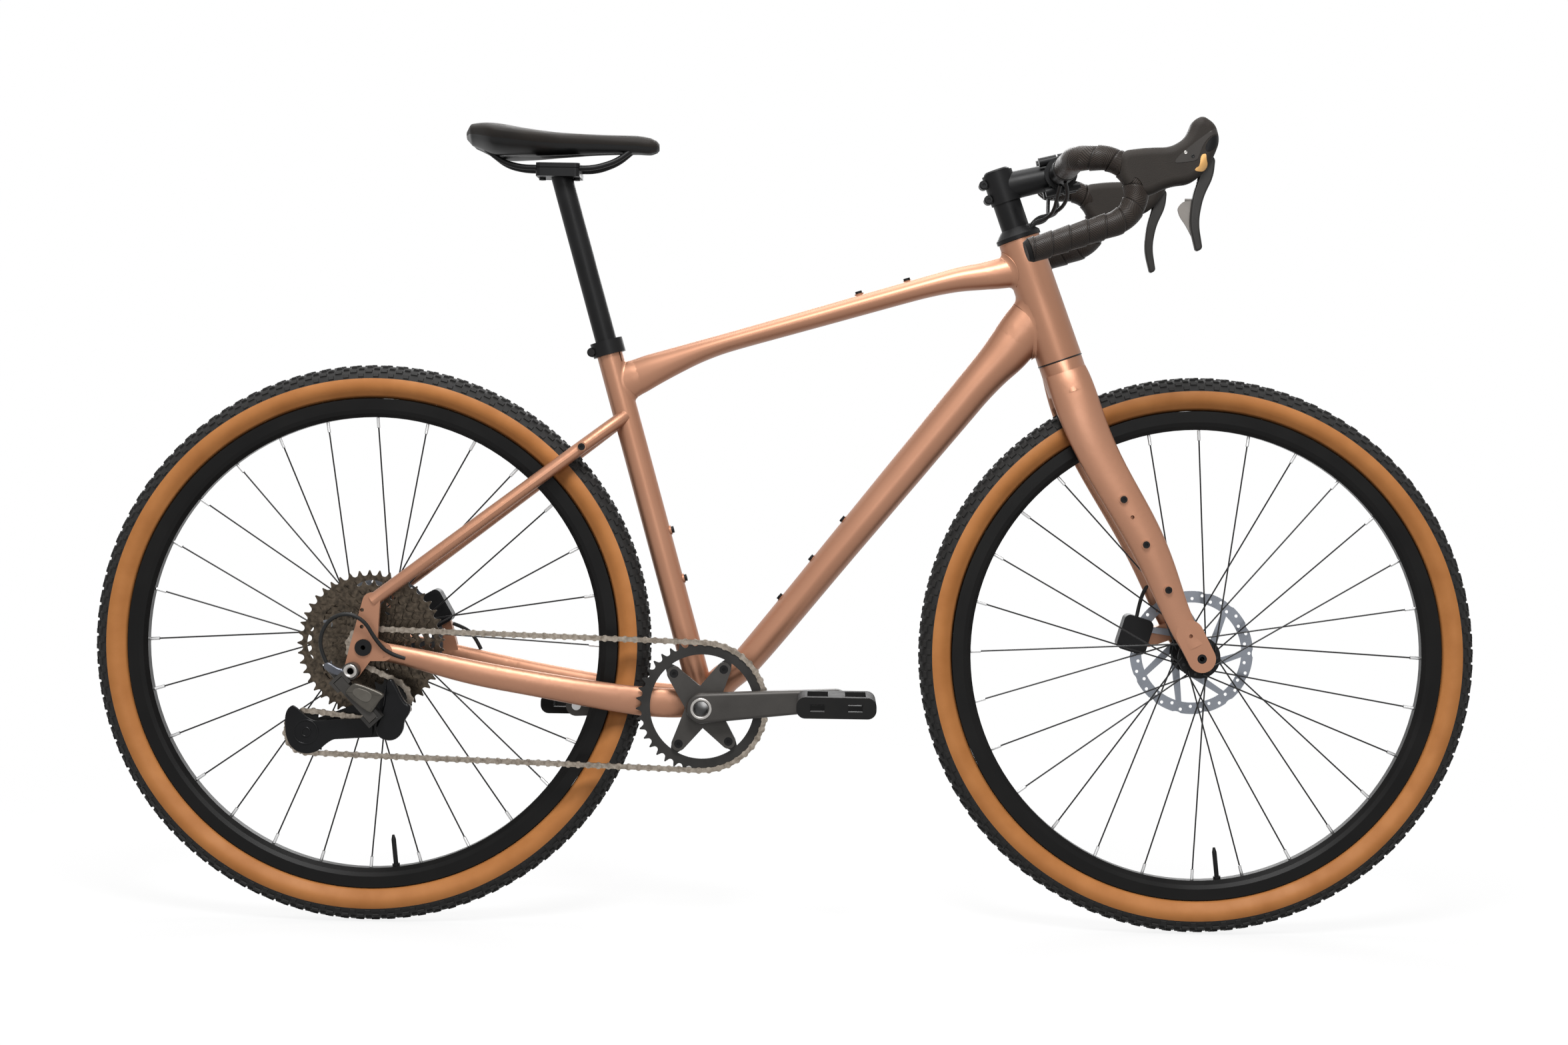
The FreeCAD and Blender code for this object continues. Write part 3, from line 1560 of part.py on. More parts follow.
def spoke_ends(index, side, flange):
    """Elbow and rim ends of a spoke about the wheel's centre, with the flange's far side."""
    per_side = size.spoke_count / 2
    step = 360 / per_side
    angle = (index + (side + 1) / 2 / 2) * step
    outer = 1 if index % 2 else -1
    half = size.flange_thickness / 2
    away = half + size.spoke_radius + size.spoke_elbow_gap
    elbow = across(polar(angle) * size.flange_hole_circle, side * (flange + outer * away))
    far = across(elbow, side * (flange - outer * (half + size.spoke_radius)))
    rim = polar(angle + outer * size.spoke_crossings * step) * (size.rim_inner_radius - size.part_gap)
    return elbow, rim, far


def spoke(index, side, flange):
    """Spoke with its elbow, head and nipple."""
    elbow, rim, far = spoke_ends(index, side, flange)
    run = (rim - elbow).normalize()
    through = (far - elbow).normalize()
    head = rod(far - through * (size.spoke_radius - size.running_clearance), far, size.spoke_head_radius)
    nipple = rod(rim - run * size.nipple_length, rim, size.nipple_radius)
    knee = Part.makeSphere(size.spoke_radius, elbow)
    wire = [rod(elbow, rim, size.spoke_radius), rod(elbow, far, size.spoke_radius)]
    return fused([*wire, knee, head, nipple])


def make_spokes(label, centre, right_flange, left_flange):
    """Crossed spokes between both flanges and the rim."""
    spokes = []
    pairs = int(size.spoke_count / 2 / 2)
    turn = 360 / pairs
    for side, flange in ((RIGHT, right_flange), (LEFT, left_flange)):
        for index in range(2):
            first = spoke(index, side, flange)
            for copy_index in range(pairs):
                copy = turned(first, Vector(), ALONG_Y, -turn * copy_index)
                copy.translate(centre)
                spokes.append(copy)
    return feature(label, Part.makeCompound(spokes))


def flange_holes(centre, right_flange, left_flange):
    """Holes for the spokes' elbows in both flanges."""
    holes = []
    for side, flange in ((RIGHT, right_flange), (LEFT, left_flange)):
        for index in range(int(size.spoke_count / 2)):
            elbow, _, far = spoke_ends(index, side, flange)
            hole = rod(elbow, far, size.spoke_radius + size.running_clearance)
            hole.translate(centre)
            holes.append(hole)
    return Part.makeCompound(holes)


def make_hub(label, centre, right_flange, left_flange, right_end, spacing):
    """Hub shell with two flanges and a seat for the rotor."""
    bore = "axle_radius + running_clearance"
    half = "flange_thickness / 2"
    rotor = f"{spacing} / 2 - rotor_inset"
    shell = revolved(f"{label}_shell", [[
        (bore, f"0 - ({right_end})"),
        ("hub_shell_radius", f"0 - ({right_end})"),
        ("hub_shell_radius", f"0 - ({right_flange} + {half})"),
        ("flange_radius", f"0 - ({right_flange} + {half})"),
        ("flange_radius", f"0 - ({right_flange} - {half})"),
        ("hub_shell_radius", f"0 - ({right_flange} - {half})"),
        ("hub_shell_radius", f"{left_flange} - {half}"),
        ("flange_radius", f"{left_flange} - {half}"),
        ("flange_radius", f"{left_flange} + {half}"),
        ("hub_shell_radius", f"{left_flange} + {half}"),
        ("hub_end_radius", f"{left_flange} + flange_thickness"),
        ("hub_end_radius", f"{rotor} + rotor_thickness"),
        ("end_cap_radius", f"{rotor} + rotor_thickness * 2"),
        ("end_cap_radius", f"{spacing} / 2 - end_cap_length - part_gap"),
        (bore, f"{spacing} / 2 - end_cap_length - part_gap"),
    ]], centre)
    holes = doc.addObject("Part::Feature", f"{label}_spoke_holes")
    holes.Shape = flange_holes(centre, number(right_flange), number(left_flange))
    drilled = doc.addObject("Part::Cut", label)
    drilled.Label = label
    drilled.Base = shell
    drilled.Tool = holes
    doc.recompute()
    return drilled


def rotor_line(spacing):
    """Distance of a rotor's middle on the left."""
    return spacing / 2 - size.rotor_inset


def make_rotor(label, centre, spacing):
    """Vented disc with a scalloped edge and swept arms."""
    line = rotor_line(spacing)
    low = line - size.rotor_thickness / 2
    high = line + size.rotor_thickness / 2
    band_inner = size.rotor_radius - size.rotor_band
    band = side_ring(Vector(), size.rotor_radius, band_inner, low, high)
    bore = size.hub_end_radius + size.seat_clearance
    carrier = side_ring(Vector(), size.rotor_carrier_radius, bore, low, high)
    arms = []
    step = 360 / size.rotor_arm_count
    half = size.rotor_arm_width / 2
    for index in range(int(size.rotor_arm_count)):
        root = polar(index * step) * (size.rotor_carrier_radius - half)
        tip = polar(index * step + step) * (band_inner + half)
        arms.append(tapered_plate(root, size.rotor_arm_root_width / 2, tip, half, low, high))
    cuts = []
    cut_low = low - size.cut_overrun
    cut_high = high + size.cut_overrun
    for index in range(int(size.rotor_hole_count)):
        angle = index * 360 / size.rotor_hole_count
        row = 1 if index % 2 else 2
        point = polar(angle) * (band_inner + row * size.rotor_band / 3)
        cuts.append(side_disc(point, size.rotor_hole_radius, cut_low, cut_high))
    away = size.rotor_radius + size.rotor_scallop_radius - size.rotor_scallop_depth
    for index in range(int(size.rotor_scallop_count)):
        point = polar(index * 360 / size.rotor_scallop_count) * away
        cuts.append(side_disc(point, size.rotor_scallop_radius, cut_low, cut_high))
    shape = fused([band, carrier, *arms]).cut(cuts)
    shape.translate(centre)
    return feature(label, shape)


def make_valve(label, centre):
    """Valve on the rim between the two lowest spokes."""
    inward = polar(90 + 180 / size.spoke_count)
    root = centre - inward * (size.rim_inner_radius - size.part_gap)
    cap = root + inward * size.valve_length
    collar = rod(root, root + inward * size.valve_radius, size.valve_collar_radius)
    tip = taper(cap, cap + inward * size.valve_radius * 2, size.valve_radius, size.valve_radius / 2)
    return feature(label, fused([rod(root, cap, size.valve_radius), collar, tip]))


def make_thru_axle(label, centre, spacing, end, head_side):
    """Hollow axle with the hub's end caps."""
    reach = f"{spacing} / 2 + {end}"
    head = f"{reach} + axle_head_height"
    axle = revolved(f"{label}_shaft", [[
        ("axle_bore_radius", f"0 - ({reach})"),
        ("axle_radius", f"0 - ({reach})"),
        ("axle_radius", reach),
        ("axle_head_radius", reach),
        ("axle_head_radius", head),
        ("axle_bore_radius", head),
    ]], centre, ALONG_Y * head_side)
    members = [axle]
    for name, side in (("right_cap", RIGHT), ("left_cap", LEFT)):
        start = across(centre, side * (number(spacing) / 2 - size.end_cap_length))
        bore = "axle_radius + seat_clearance"
        cap = bound_tube(f"{label}_{name}", "end_cap_radius", bore, "end_cap_length", start, ALONG_Y * side)
        members.append(cap)
    return compound(label, members)


# Disc brakes


def around_rotor(centre, angle, radius, tangent, out):
    """Point beside a rotor at a radius and a distance along the rim."""
    return across(centre + polar(angle) * radius + polar(angle + 90) * tangent, out)


def rotor_block(centre, angle, inner, outer, length, low, high):
    """Rounded block over the rotor's edge between two distances on the left."""
    half = length / 2
    corners = ((inner, -half), (outer, -half), (outer, half), (inner, half))
    points = [around_rotor(centre, angle, radius, tangent, low) for radius, tangent in corners]
    return side_plate(rounded_outline(points, CALIPER_ROUND_SHARE), high - low)


def caliper_blank(centre, angle, spacing):
    """Outer form of a caliper."""
    line = rotor_line(spacing)
    low = line - size.caliper_wheel_half_width
    high = line + size.caliper_half_width
    inner = size.caliper_inner_radius
    return rotor_block(centre, angle, inner, size.caliper_outer_radius, size.caliper_length, low, high)


def pad_radii():
    """Inner and outer radius of the brake pads."""
    outer = size.rotor_radius
    return outer - size.pad_height, outer


def make_caliper(label, centre, angle, spacing):
    """Caliper with a slot for the rotor and a pocket for both pads."""
    line = rotor_line(spacing)
    slot = size.rotor_thickness / 2 + size.pad_gap * 2
    pocket = size.rotor_thickness / 2 + size.pad_gap + size.pad_thickness + size.part_gap
    inner, outer = pad_radii()
    gap = size.part_gap
    length = size.pad_length + gap * 2
    room = rotor_block(centre, angle, inner - gap, outer + gap, length, line - pocket, line + pocket)
    disc = side_disc(centre, size.rotor_radius + gap * 3, line - slot, line + slot)
    return feature(label, caliper_blank(centre, angle, spacing).cut([disc, room]))


def make_pad(label, centre, angle, spacing, side):
    """Brake pad on one side of a rotor."""
    line = rotor_line(spacing)
    near = line + side * (size.rotor_thickness / 2 + size.pad_gap)
    far = near + side * size.pad_thickness
    inner, outer = pad_radii()
    low, high = sorted((near, far))
    return feature(label, rotor_block(centre, angle, inner, outer, size.pad_length, low, high))


def caliper_foot():
    """Boss on the left chainstay that carries the rear caliper."""
    spacing = size.rear_spacing
    line = rotor_line(spacing)
    stay = place.rear_axle * FOOT_STATION_SHARE
    stay.z = place.rear_axle.z * FOOT_LEVEL_SHARE
    middle = (size.caliper_inner_radius + size.caliper_outer_radius) / 2
    mount = around_rotor(place.rear_axle, size.rear_caliper_angle, middle, -size.caliper_length / 2, 0)
    low = line + size.rotor_thickness * 2
    high = line + size.caliper_half_width
    foot = tapered_plate(stay, size.dropout_arm_radius, mount, size.dropout_arm_radius, low, high)
    return foot.cut(caliper_blank(place.rear_axle, size.rear_caliper_angle, spacing))


def fork_caliper_foot():
    """Boss on the left fork blade that carries the front caliper."""
    spacing = size.front_spacing
    line = rotor_line(spacing)
    mount = around_rotor(place.front_axle, size.front_caliper_angle, size.caliper_inner_radius, 0, 0)
    blade = place.front_axle + (place.shoulder() - place.front_axle).normalize() * (size.blade_end_radius * 2)
    low = line + size.rotor_thickness * 2
    high = (size.front_spacing + size.fork_end_thickness) / 2
    foot = tapered_plate(blade, size.dropout_arm_radius, mount, size.dropout_arm_radius, low, high)
    return foot.cut(caliper_blank(place.front_axle, size.front_caliper_angle, spacing))


# Derailleur's places


def base_pivot():
    """Point on the axis about which the derailleur's links swing on the base."""
    return hanger_point() + Vector(-size.base_back, 0, -size.base_drop)


def knuckle_pivot():
    """Point on the axis about which the links carry the knuckle."""
    return base_pivot() + Vector(size.link_run, 0, -size.link_fall)


def cage_pivot():
    """Point on the axis about which the cage swings."""
    return knuckle_pivot() + Vector(size.cage_pivot_run, 0, -size.cage_pivot_fall)


# Chain, chainring and sprockets


def pitch_radius(teeth):
    """Radius on which the chain's pins lie about a toothed wheel."""
    return size.chain_pitch / (2 * math.sin(math.pi / teeth))


class ChainPath:
    """Closed path of the chain's pins about the chainring, sprocket and pulleys."""

    def __init__(self, cage_turn):
        pivot = cage_pivot()
        self.guide = pivot + polar(size.guide_angle + cage_turn) * size.guide_offset
        self.tension = pivot + polar(size.tension_angle + cage_turn) * size.tension_offset
        pulley = pitch_radius(size.pulley_teeth)
        self.wheels = (
            (Vector(), pitch_radius(size.ring_teeth), 1),
            (place.rear_axle, pitch_radius(SPROCKET_TEETH[0]), 1),
            (self.guide, pulley, -1),
            (self.tension, pulley, 1),
        )
        self.pieces = []
        normals = [self.normal(index) for index in range(len(self.wheels))]
        for index, (centre, radius, sense) in enumerate(self.wheels):
            turn = sense * (normals[index] - normals[index - 1]) % (2 * math.pi)
            start = normals[index - 1] + (math.pi if sense > 0 else 0)
            self.pieces.append(("arc", centre, radius, start, sense, radius * turn))
            after, after_radius, after_sense = self.wheels[(index + 1) % len(self.wheels)]
            square = Vector(math.cos(normals[index]), 0, math.sin(normals[index]))
            begin = centre - square * sense * radius
            end = after - square * after_sense * after_radius
            self.pieces.append(("line", begin, (end - begin).normalize(), index, 0, (end - begin).Length))
        self.length = sum(piece[-1] for piece in self.pieces)

    def normal(self, index):
        """Angle of the normal of the straight run that leaves a wheel."""
        centre, radius, sense = self.wheels[index]
        after, after_radius, after_sense = self.wheels[(index + 1) % len(self.wheels)]
        run = after - centre
        lean = math.acos((after_sense * after_radius - sense * radius) / run.Length)
        return math.atan2(run.z, run.x) + lean

    def at(self, station):
        """Point of the path, the share of its piece that is passed and the piece's index."""
        station %= self.length
        for index, piece in enumerate(self.pieces):
            if station <= piece[-1]:
                break
            station -= piece[-1]
        if piece[0] == "line":
            return piece[1] + piece[2] * station, station / piece[-1], index
        _, centre, radius, start, sense, _ = piece
        angle = start + sense * station / radius
        return centre + Vector(math.cos(angle), 0, math.sin(angle)) * radius, 0, index

    def stations(self, count):
        """Stations of the pins, one chain pitch apart in a straight line."""
        stations = [0.0]
        for _ in range(count):
            here, _, _ = self.at(stations[-1])
            ahead = stations[-1] + size.chain_pitch
            for _ in range(PATH_TRIALS):
                chord = (self.at(ahead)[0] - here).Length
                ahead += size.chain_pitch - chord
            stations.append(ahead)
        return stations

    def excess(self, count):
        """Length by which so many links pass the path's end."""
        return self.stations(count)[-1] - self.length

    def pins(self, count):
        """Pins with the chain's line from the chainring to the sprocket."""
        points = []
        for station in self.stations(count)[:-1]:
            point, share, index = self.at(station)
            lines = (-size.ring_line, -size.small_sprocket_line)
            level = min(max((share - CHAIN_LEVEL_SHARE) / (1 - 2 * CHAIN_LEVEL_SHARE), 0), 1)
            level = level * level * (3 - 2 * level)
            mix = {0: 0, 1: level, len(self.pieces) - 1: 1 - level}.get(index, 1)
            points.append(across(point, lines[0] + (lines[1] - lines[0]) * mix))
        return points

    def phase(self, wheel, count):
        """Angle in degrees at which a pin sits on a wheel."""
        for station in self.stations(count):
            point, _, index = self.at(station)
            if index == wheel * 2:
                run = point - self.wheels[wheel][0]
        return math.degrees(math.atan2(run.z, run.x))


def settled_chain():
    """Chain path whose cage takes up the slack of an even number of links."""
    count = 2 * round(ChainPath(0).length / size.chain_pitch / 2)
    low = -size.cage_travel_limit
    high = size.cage_travel_limit
    low_excess = ChainPath(low).excess(count)
    for _ in range(CHAIN_TRIALS):
        middle = (low + high) / 2
        middle_excess = ChainPath(middle).excess(count)
        if (middle_excess > 0) == (low_excess > 0):
            low = middle
        else:
            high = middle
    print(f"chain of {count} links, cage turned {middle:.2f} degrees")
    return ChainPath(middle), count


def toothed_wire(teeth, phase):
    """Outline of a toothed wheel with a seat for each roller."""
    pitch = pitch_radius(teeth)
    seat = size.tooth_seat_radius
    edges = []
    last = None
    for index in range(int(teeth) + 1):
        angle = phase + index * 360 / teeth
        out = polar(angle)
        along = polar(angle + 90)
        root = out * (pitch - seat)
        ends = [out * (pitch - seat / 2) + along * (seat * math.sqrt(3) / 2 * side) for side in (-1, 1)]
        if last:
            edges.append(Part.LineSegment(last, ends[0]).toShape())
        if index == int(teeth):
            break
        tip_out = polar(angle + 180 / teeth) * (pitch + size.tooth_height)
        tip_along = polar(angle + 180 / teeth + 90) * size.tooth_tip_half_width
        edges.append(Part.Arc(ends[0], root, ends[1]).toShape())
        edges.append(Part.LineSegment(ends[1], tip_out - tip_along).toShape())
        edges.append(Part.LineSegment(tip_out - tip_along, tip_out + tip_along).toShape())
        last = tip_out + tip_along
    return Part.Wire(edges)


def circle_wire(centre, radius):
    """Circle in the bike's plane."""
    return Part.Wire(Part.Circle(centre, ALONG_Y, radius).toShape())


def toothed_plate(teeth, phase, holes, line, thickness):
    """Toothed plate with round holes, about the origin."""
    wires = [toothed_wire(teeth, phase)]
    wires.extend(circle_wire(centre, radius) for centre, radius in holes)
    face = Part.makeFace(wires, "Part::FaceMakerBullseye")
    face.translate(Vector(0, line - thickness / 2, 0))
    return face.extrude(Vector(0, thickness, 0))


def sprocket_windows(teeth):
    """Round windows that lighten a large sprocket."""
    root = pitch_radius(teeth) - size.tooth_seat_radius * 2
    room = (root - size.sprocket_boss_radius) / 2
    radius = room - size.sprocket_thickness
    if radius < size.roller_radius:
        return []
    middle = size.sprocket_boss_radius + room
    count = math.floor(2 * math.pi * middle / (2 * radius + size.tooth_seat_radius))
    return [(polar(index * 360 / count) * middle, radius) for index in range(count)]


def make_cassette(phase):
    """Stack of sprockets with spacers on the freehub body and its lockring."""
    bore = size.freehub_radius + size.seat_clearance
    half = size.sprocket_thickness / 2
    solids = []
    for index, teeth in enumerate(SPROCKET_TEETH):
        line = index * size.sprocket_pitch - size.small_sprocket_line
        holes = [(Vector(), bore), *sprocket_windows(teeth)]
        angle = 0 if index else phase
        solids.append(toothed_plate(teeth, angle, holes, line, size.sprocket_thickness))
        if index + 1 < len(SPROCKET_TEETH):
            low = line + half + size.seat_clearance
            high = line + size.sprocket_pitch - half - size.seat_clearance
            solids.append(side_ring(Vector(), size.sprocket_boss_radius, bore, low, high))
    bore = size.axle_radius + size.running_clearance
    outer = -size.small_sprocket_line - half
    inner = -(size.rear_right_flange + size.flange_thickness + size.part_gap)
    solids.append(side_ring(Vector(), size.freehub_radius, bore, outer, inner))
    lockring_low = outer - size.lockring_height - size.seat_clearance
    solids.append(side_ring(Vector(), size.lockring_radius, bore, lockring_low, outer - size.seat_clearance))
    shape = Part.makeCompound(solids)
    shape.translate(place.rear_axle)
    return feature("cassette", shape)


def spider_points():
    """Centres of the chainring's bolts."""
    return [polar(size.crank_angle + angle) * size.spider_bolt_radius for angle in SPIDER_ANGLES]


def make_chainring(phase):
    """Chainring with four tabs for its bolts."""
    line = -size.ring_line
    low = line - size.ring_thickness / 2
    high = line + size.ring_thickness / 2
    window = (Vector(), size.ring_inner_radius)
    plate = toothed_plate(size.ring_teeth, phase, [window], line, size.ring_thickness)
    tabs = []
    holes = []
    for point in spider_points():
        far = point * (size.ring_inner_radius / size.spider_bolt_radius)
        tabs.append(tapered_plate(point, size.spider_arm_radius, far, size.spider_arm_radius / 2, low, high))
        hole = size.ring_bolt_radius + size.seat_clearance
        holes.append(side_disc(point, hole, low - size.cut_overrun, high + size.cut_overrun))
    return feature("chainring", fused([plate, *tabs]).cut(holes))


def link_plate(low, high):
    """Pair of chain plates with waists, from one pin to the next."""
    far = Vector(size.chain_pitch, 0, 0)
    plates = []
    for side in SIDES:
        near_line = min(side * low, side * high)
        far_line = max(side * low, side * high)
        ends = [side_disc(point, size.plate_radius, near_line, far_line) for point in (Vector(), far)]
        waist = Part.makeBox(size.chain_pitch, far_line - near_line, size.plate_waist * 2)
        waist.translate(Vector(0, near_line, -size.plate_waist))
        plates.extend([*ends, waist])
    return plates


def inner_link():
    """Chain link with two rollers."""
    far = Vector(size.chain_pitch, 0, 0)
    high = size.inner_plate_high
    rollers = [side_disc(point, size.roller_radius, -high, high) for point in (Vector(), far)]
    bores = [side_disc(point, size.chain_bore_radius, -high * 2, high * 2) for point in (Vector(), far)]
    return fused(link_plate(size.inner_plate_low, high) + rollers).cut(bores)


def outer_link():
    """Chain link with two pins."""
    far = Vector(size.chain_pitch, 0, 0)
    high = size.outer_plate_high
    pins = [side_disc(point, size.chain_pin_radius, -high, high) for point in (Vector(), far)]
    return fused(link_plate(size.outer_plate_low, high) + pins)


def make_chain(path, count):
    """Chain of inner and outer links about the toothed wheels."""
    pins = path.pins(count)
    kinds = (inner_link(), outer_link())
    links = []
    for index, pin in enumerate(pins):
        after = pins[(index + 1) % count]
        along = (after - pin).normalize()
        up = along.cross(ALONG_Y).normalize()
        side = up.cross(along)
        link = kinds[index % 2].copy()
        middle = (pin + after) / 2 - along * (size.chain_pitch / 2)
        link.Placement = Placement(Matrix(
            along.x, side.x, up.x, middle.x,
            along.y, side.y, up.y, middle.y,
            along.z, side.z, up.z, middle.z,
            0, 0, 0, 1,
        ))
        links.append(link)
    return feature("chain", Part.makeCompound(links))


# Crankset and pedals


def arm_plate(angle, low, high):
    """Crank arm that narrows to the pedal, with soft outer edges."""
    end = polar(angle) * size.crank_length
    plate = tapered_plate(Vector(), size.arm_root_radius, end, size.arm_end_radius, low, high)
    outer = low if abs(low) > abs(high) else high
    edges = []
    for edge in plate.Edges:
        if all(abs(vertex.Point.y - outer) < size.seat_clearance for vertex in edge.Vertexes):
            edges.append(edge)
    return plate.makeFillet(size.arm_edge_radius, edges)


def pedal_bore(angle):
    """Hole for a pedal axle through a crank arm."""
    reach = size.arm_inner_line + size.arm_thickness * 2
    radius = size.pedal_axle_radius + size.seat_clearance
    return side_disc(polar(angle) * size.crank_length, radius, -reach, reach)


def make_right_crank():
    """Right arm with the chainring's spider and the spindle."""
    inner = -size.arm_inner_line
    outer = inner - size.arm_thickness
    back = -(size.shell_width / 2 + size.cup_length + size.part_gap)
    face = -(size.ring_line + size.ring_thickness / 2)
    arms = []
    for point in spider_points():
        arms.append(tapered_plate(Vector(), size.arm_root_radius, point, size.spider_arm_radius,
                                  face - size.spider_thickness, face))
    boss = side_disc(Vector(), size.arm_root_radius, outer + size.arm_edge_radius, back)
    spindle = side_disc(Vector(), size.spindle_radius, outer + size.arm_edge_radius, -outer)
    blank = fused([arm_plate(size.crank_angle, outer, inner), boss, spindle, *arms])
    cuts = [side_disc(Vector(), size.spindle_bore_radius, outer - size.cut_overrun, size.cut_overrun - outer)]
    cuts.append(pedal_bore(size.crank_angle))
    for point in spider_points():
        hole = size.ring_bolt_radius + size.seat_clearance
        cuts.append(side_disc(point, hole, face - size.spider_thickness * 2, face + size.spider_thickness))
    return feature("right_crank", blank.cut(cuts))


def make_left_crank():
    """Left arm pressed onto the spindle."""
    inner = size.arm_inner_line
    outer = inner + size.arm_thickness
    back = size.shell_width / 2 + size.cup_length + size.part_gap
    angle = size.crank_angle + 180
    boss = side_disc(Vector(), size.arm_root_radius, back, outer - size.arm_edge_radius)
    blank = fused([arm_plate(angle, inner, outer), boss])
    bore = side_disc(Vector(), size.spindle_radius + size.seat_clearance, 0, outer + size.cut_overrun)
    return feature("left_crank", blank.cut([bore, pedal_bore(angle)]))


def make_chainring_bolts():
    """Bolts that hold the chainring on the spider."""
    face = -(size.ring_line + size.ring_thickness / 2)
    outer = face - size.spider_thickness
    inner = face + size.ring_thickness
    bolts = []
    for point in spider_points():
        shank = side_disc(point, size.ring_bolt_radius, outer, inner)
        bottom = outer + size.bolt_socket_depth
        socket = side_disc(point, size.bolt_socket_radius, outer - size.cut_overrun, bottom)
        bolts.append(shank.cut(socket))
    return feature("chainring_bolts", Part.makeCompound(bolts))


def pedal_centre(side):
    """Axis of a pedal."""
    angle = size.crank_angle if side == RIGHT else size.crank_angle + 180
    return polar(angle) * size.crank_length


def make_pedal_axles():
    """Pedal axles screwed into the crank arms, with a collar against each arm."""
    solids = []
    for side in SIDES:
        centre = pedal_centre(side)
        outer = size.arm_inner_line + size.arm_thickness
        stations = [side * value for value in (size.arm_inner_line, outer + size.pedal_axle_length)]
        shaft = side_disc(centre, size.pedal_axle_radius, *stations)
        collar_end = side * (outer + size.pedal_gap - size.part_gap)
        collar = side_disc(centre, size.pedal_collar_radius, side * outer, collar_end)
        solids.append(fused([shaft, collar]))
    return feature("pedal_axles", Part.makeCompound(solids))


def make_pedal(side):
    """Platform pedal with windows either side of its axle tube and slots in its ends."""
    label = "right_pedal" if side == RIGHT else "left_pedal"
    start = size.arm_inner_line + size.arm_thickness + size.pedal_gap
    half_length = size.pedal_length / 2
    half_height = size.pedal_height / 2
    wire = rounded_outline([
        Vector(-half_length, start, -half_height),
        Vector(half_length, start, -half_height),
        Vector(half_length, start, half_height),
        Vector(-half_length, start, half_height),
    ])
    body = side_plate(wire, size.pedal_width)
    room = half_length - size.pedal_rail - size.pedal_tube_radius
    cuts = []
    for way in (-1, 1):
        window = Part.makeBox(room, size.pedal_width - size.pedal_rail * 2, size.pedal_height * 2)
        middle = way * (size.pedal_tube_radius + room / 2)
        window.translate(Vector(middle - room / 2, start + size.pedal_rail, -size.pedal_height))
        slot = Part.makeBox(size.pedal_slot_length, size.pedal_width * 2, size.pedal_slot_height)
        slot_start = middle - size.pedal_slot_length / 2
        slot.translate(Vector(slot_start, start - size.pedal_width / 2, -size.pedal_slot_height / 2))
        cuts.extend([window, slot])
    axle_end = size.arm_inner_line + size.arm_thickness + size.pedal_axle_length + size.part_gap
    bore = size.pedal_axle_radius + size.running_clearance
    cuts.append(side_disc(Vector(), bore, start - size.cut_overrun, axle_end))
    shape = body.cut(cuts)
    if side == RIGHT:
        shape = mirrored(shape)
    shape.translate(pedal_centre(side))
    return feature(label, shape)


# Rear derailleur


def link_along():
    """Direction of the derailleur's links from the base to the knuckle."""
    return (knuckle_pivot() - base_pivot()).normalize()


def link_axis():
    """Direction of the pins about which the links swing."""
    return ALONG_Y.cross(link_along()) * -1


def slant_block(origin, along, out, low, high):
    """Block in line with the links, between two distances on the left."""
    corners = ((along[0], out[0]), (along[1], out[0]), (along[1], out[1]), (along[0], out[1]))
    points = [across(origin + link_along() * run + link_axis() * rise, low) for run, rise in corners]
    return side_plate(Part.makePolygon([*points, points[0]]), high - low)


def link_lines():
    """Distances of the inner and outer link on the left."""
    return [-size.link_line + way * size.link_spread / 2 for way in (1, -1)]


def link_pins(origin, radius, reach):
    """Pins of both links at one end."""
    pins = []
    for line in link_lines():
        point = across(origin, line)
        pins.append(rod(point - link_axis() * reach, point + link_axis() * reach, radius))
    return pins


def link_fork(origin, web_way, web_high):
    """Two ears with a web and pins, open towards the links."""
    near = size.link_radius + size.part_gap
    far = near + size.ear_thickness
    half = size.ear_length / 2
    low = -size.link_line - size.ear_half_spread
    high = -size.link_line + size.ear_half_spread
    web_near = near + size.part_gap
    web_far = web_near + size.ear_thickness
    runs = sorted((-web_way * half, web_way * web_far))
    ears = [slant_block(origin, runs, sides, low, high) for sides in ((near, far), (-far, -near))]
    web = slant_block(origin, sorted((web_way * web_near, web_way * web_far)), (-far, far), low, web_high)
    return [*ears, web, *link_pins(origin, size.link_pin_radius, far)]


def make_derailleur_base():
    """Base bolted to the hanger, with a stop for the shift housing."""
    hanger = hanger_point()
    inner = -(size.rear_spacing / 2 + size.dropout_thickness + size.part_gap)
    outer = -size.link_line - size.link_spread / 2
    pivot = base_pivot()
    disc = side_disc(hanger, size.base_radius, outer, inner)
    socket = side_disc(hanger, size.base_radius / 2, outer - size.cut_overrun, outer + size.bolt_socket_depth)
    end = Vector(*SHIFT_HOUSING_ROUTE[-1])
    anchor = across(pivot - link_along() * size.cable_stop_back, end.y)
    end += (anchor - end).normalize() * size.seat_clearance
    stop = rod(end, anchor, size.cable_stop_radius)
    high = -size.link_line + size.ear_half_spread
    solid = fused([disc, stop, *link_fork(pivot, -1, high)])
    return feature("derailleur_base", solid.cut(socket))


def make_link(label, line):
    """Flat link between the base and the knuckle."""
    low = line - size.link_thickness / 2
    high = line + size.link_thickness / 2
    radius = size.link_radius
    forms = [tapered_plate(base_pivot(), radius, knuckle_pivot(), size.link_far_radius, low, high)]
    bores = []
    for origin in (base_pivot(), knuckle_pivot()):
        forms.append(slant_block(origin, (-radius, radius), (-radius, radius), low, high))
        bores.extend(link_pins(origin, size.link_pin_radius + size.running_clearance, radius * 2))
    return feature(label, fused(forms).cut(bores))


def cage_lines():
    """Distances of the cage's outer plate on the left, outer face first."""
    inner = -size.small_sprocket_line - size.cage_plate_gap
    return inner - size.cage_plate_thickness, inner


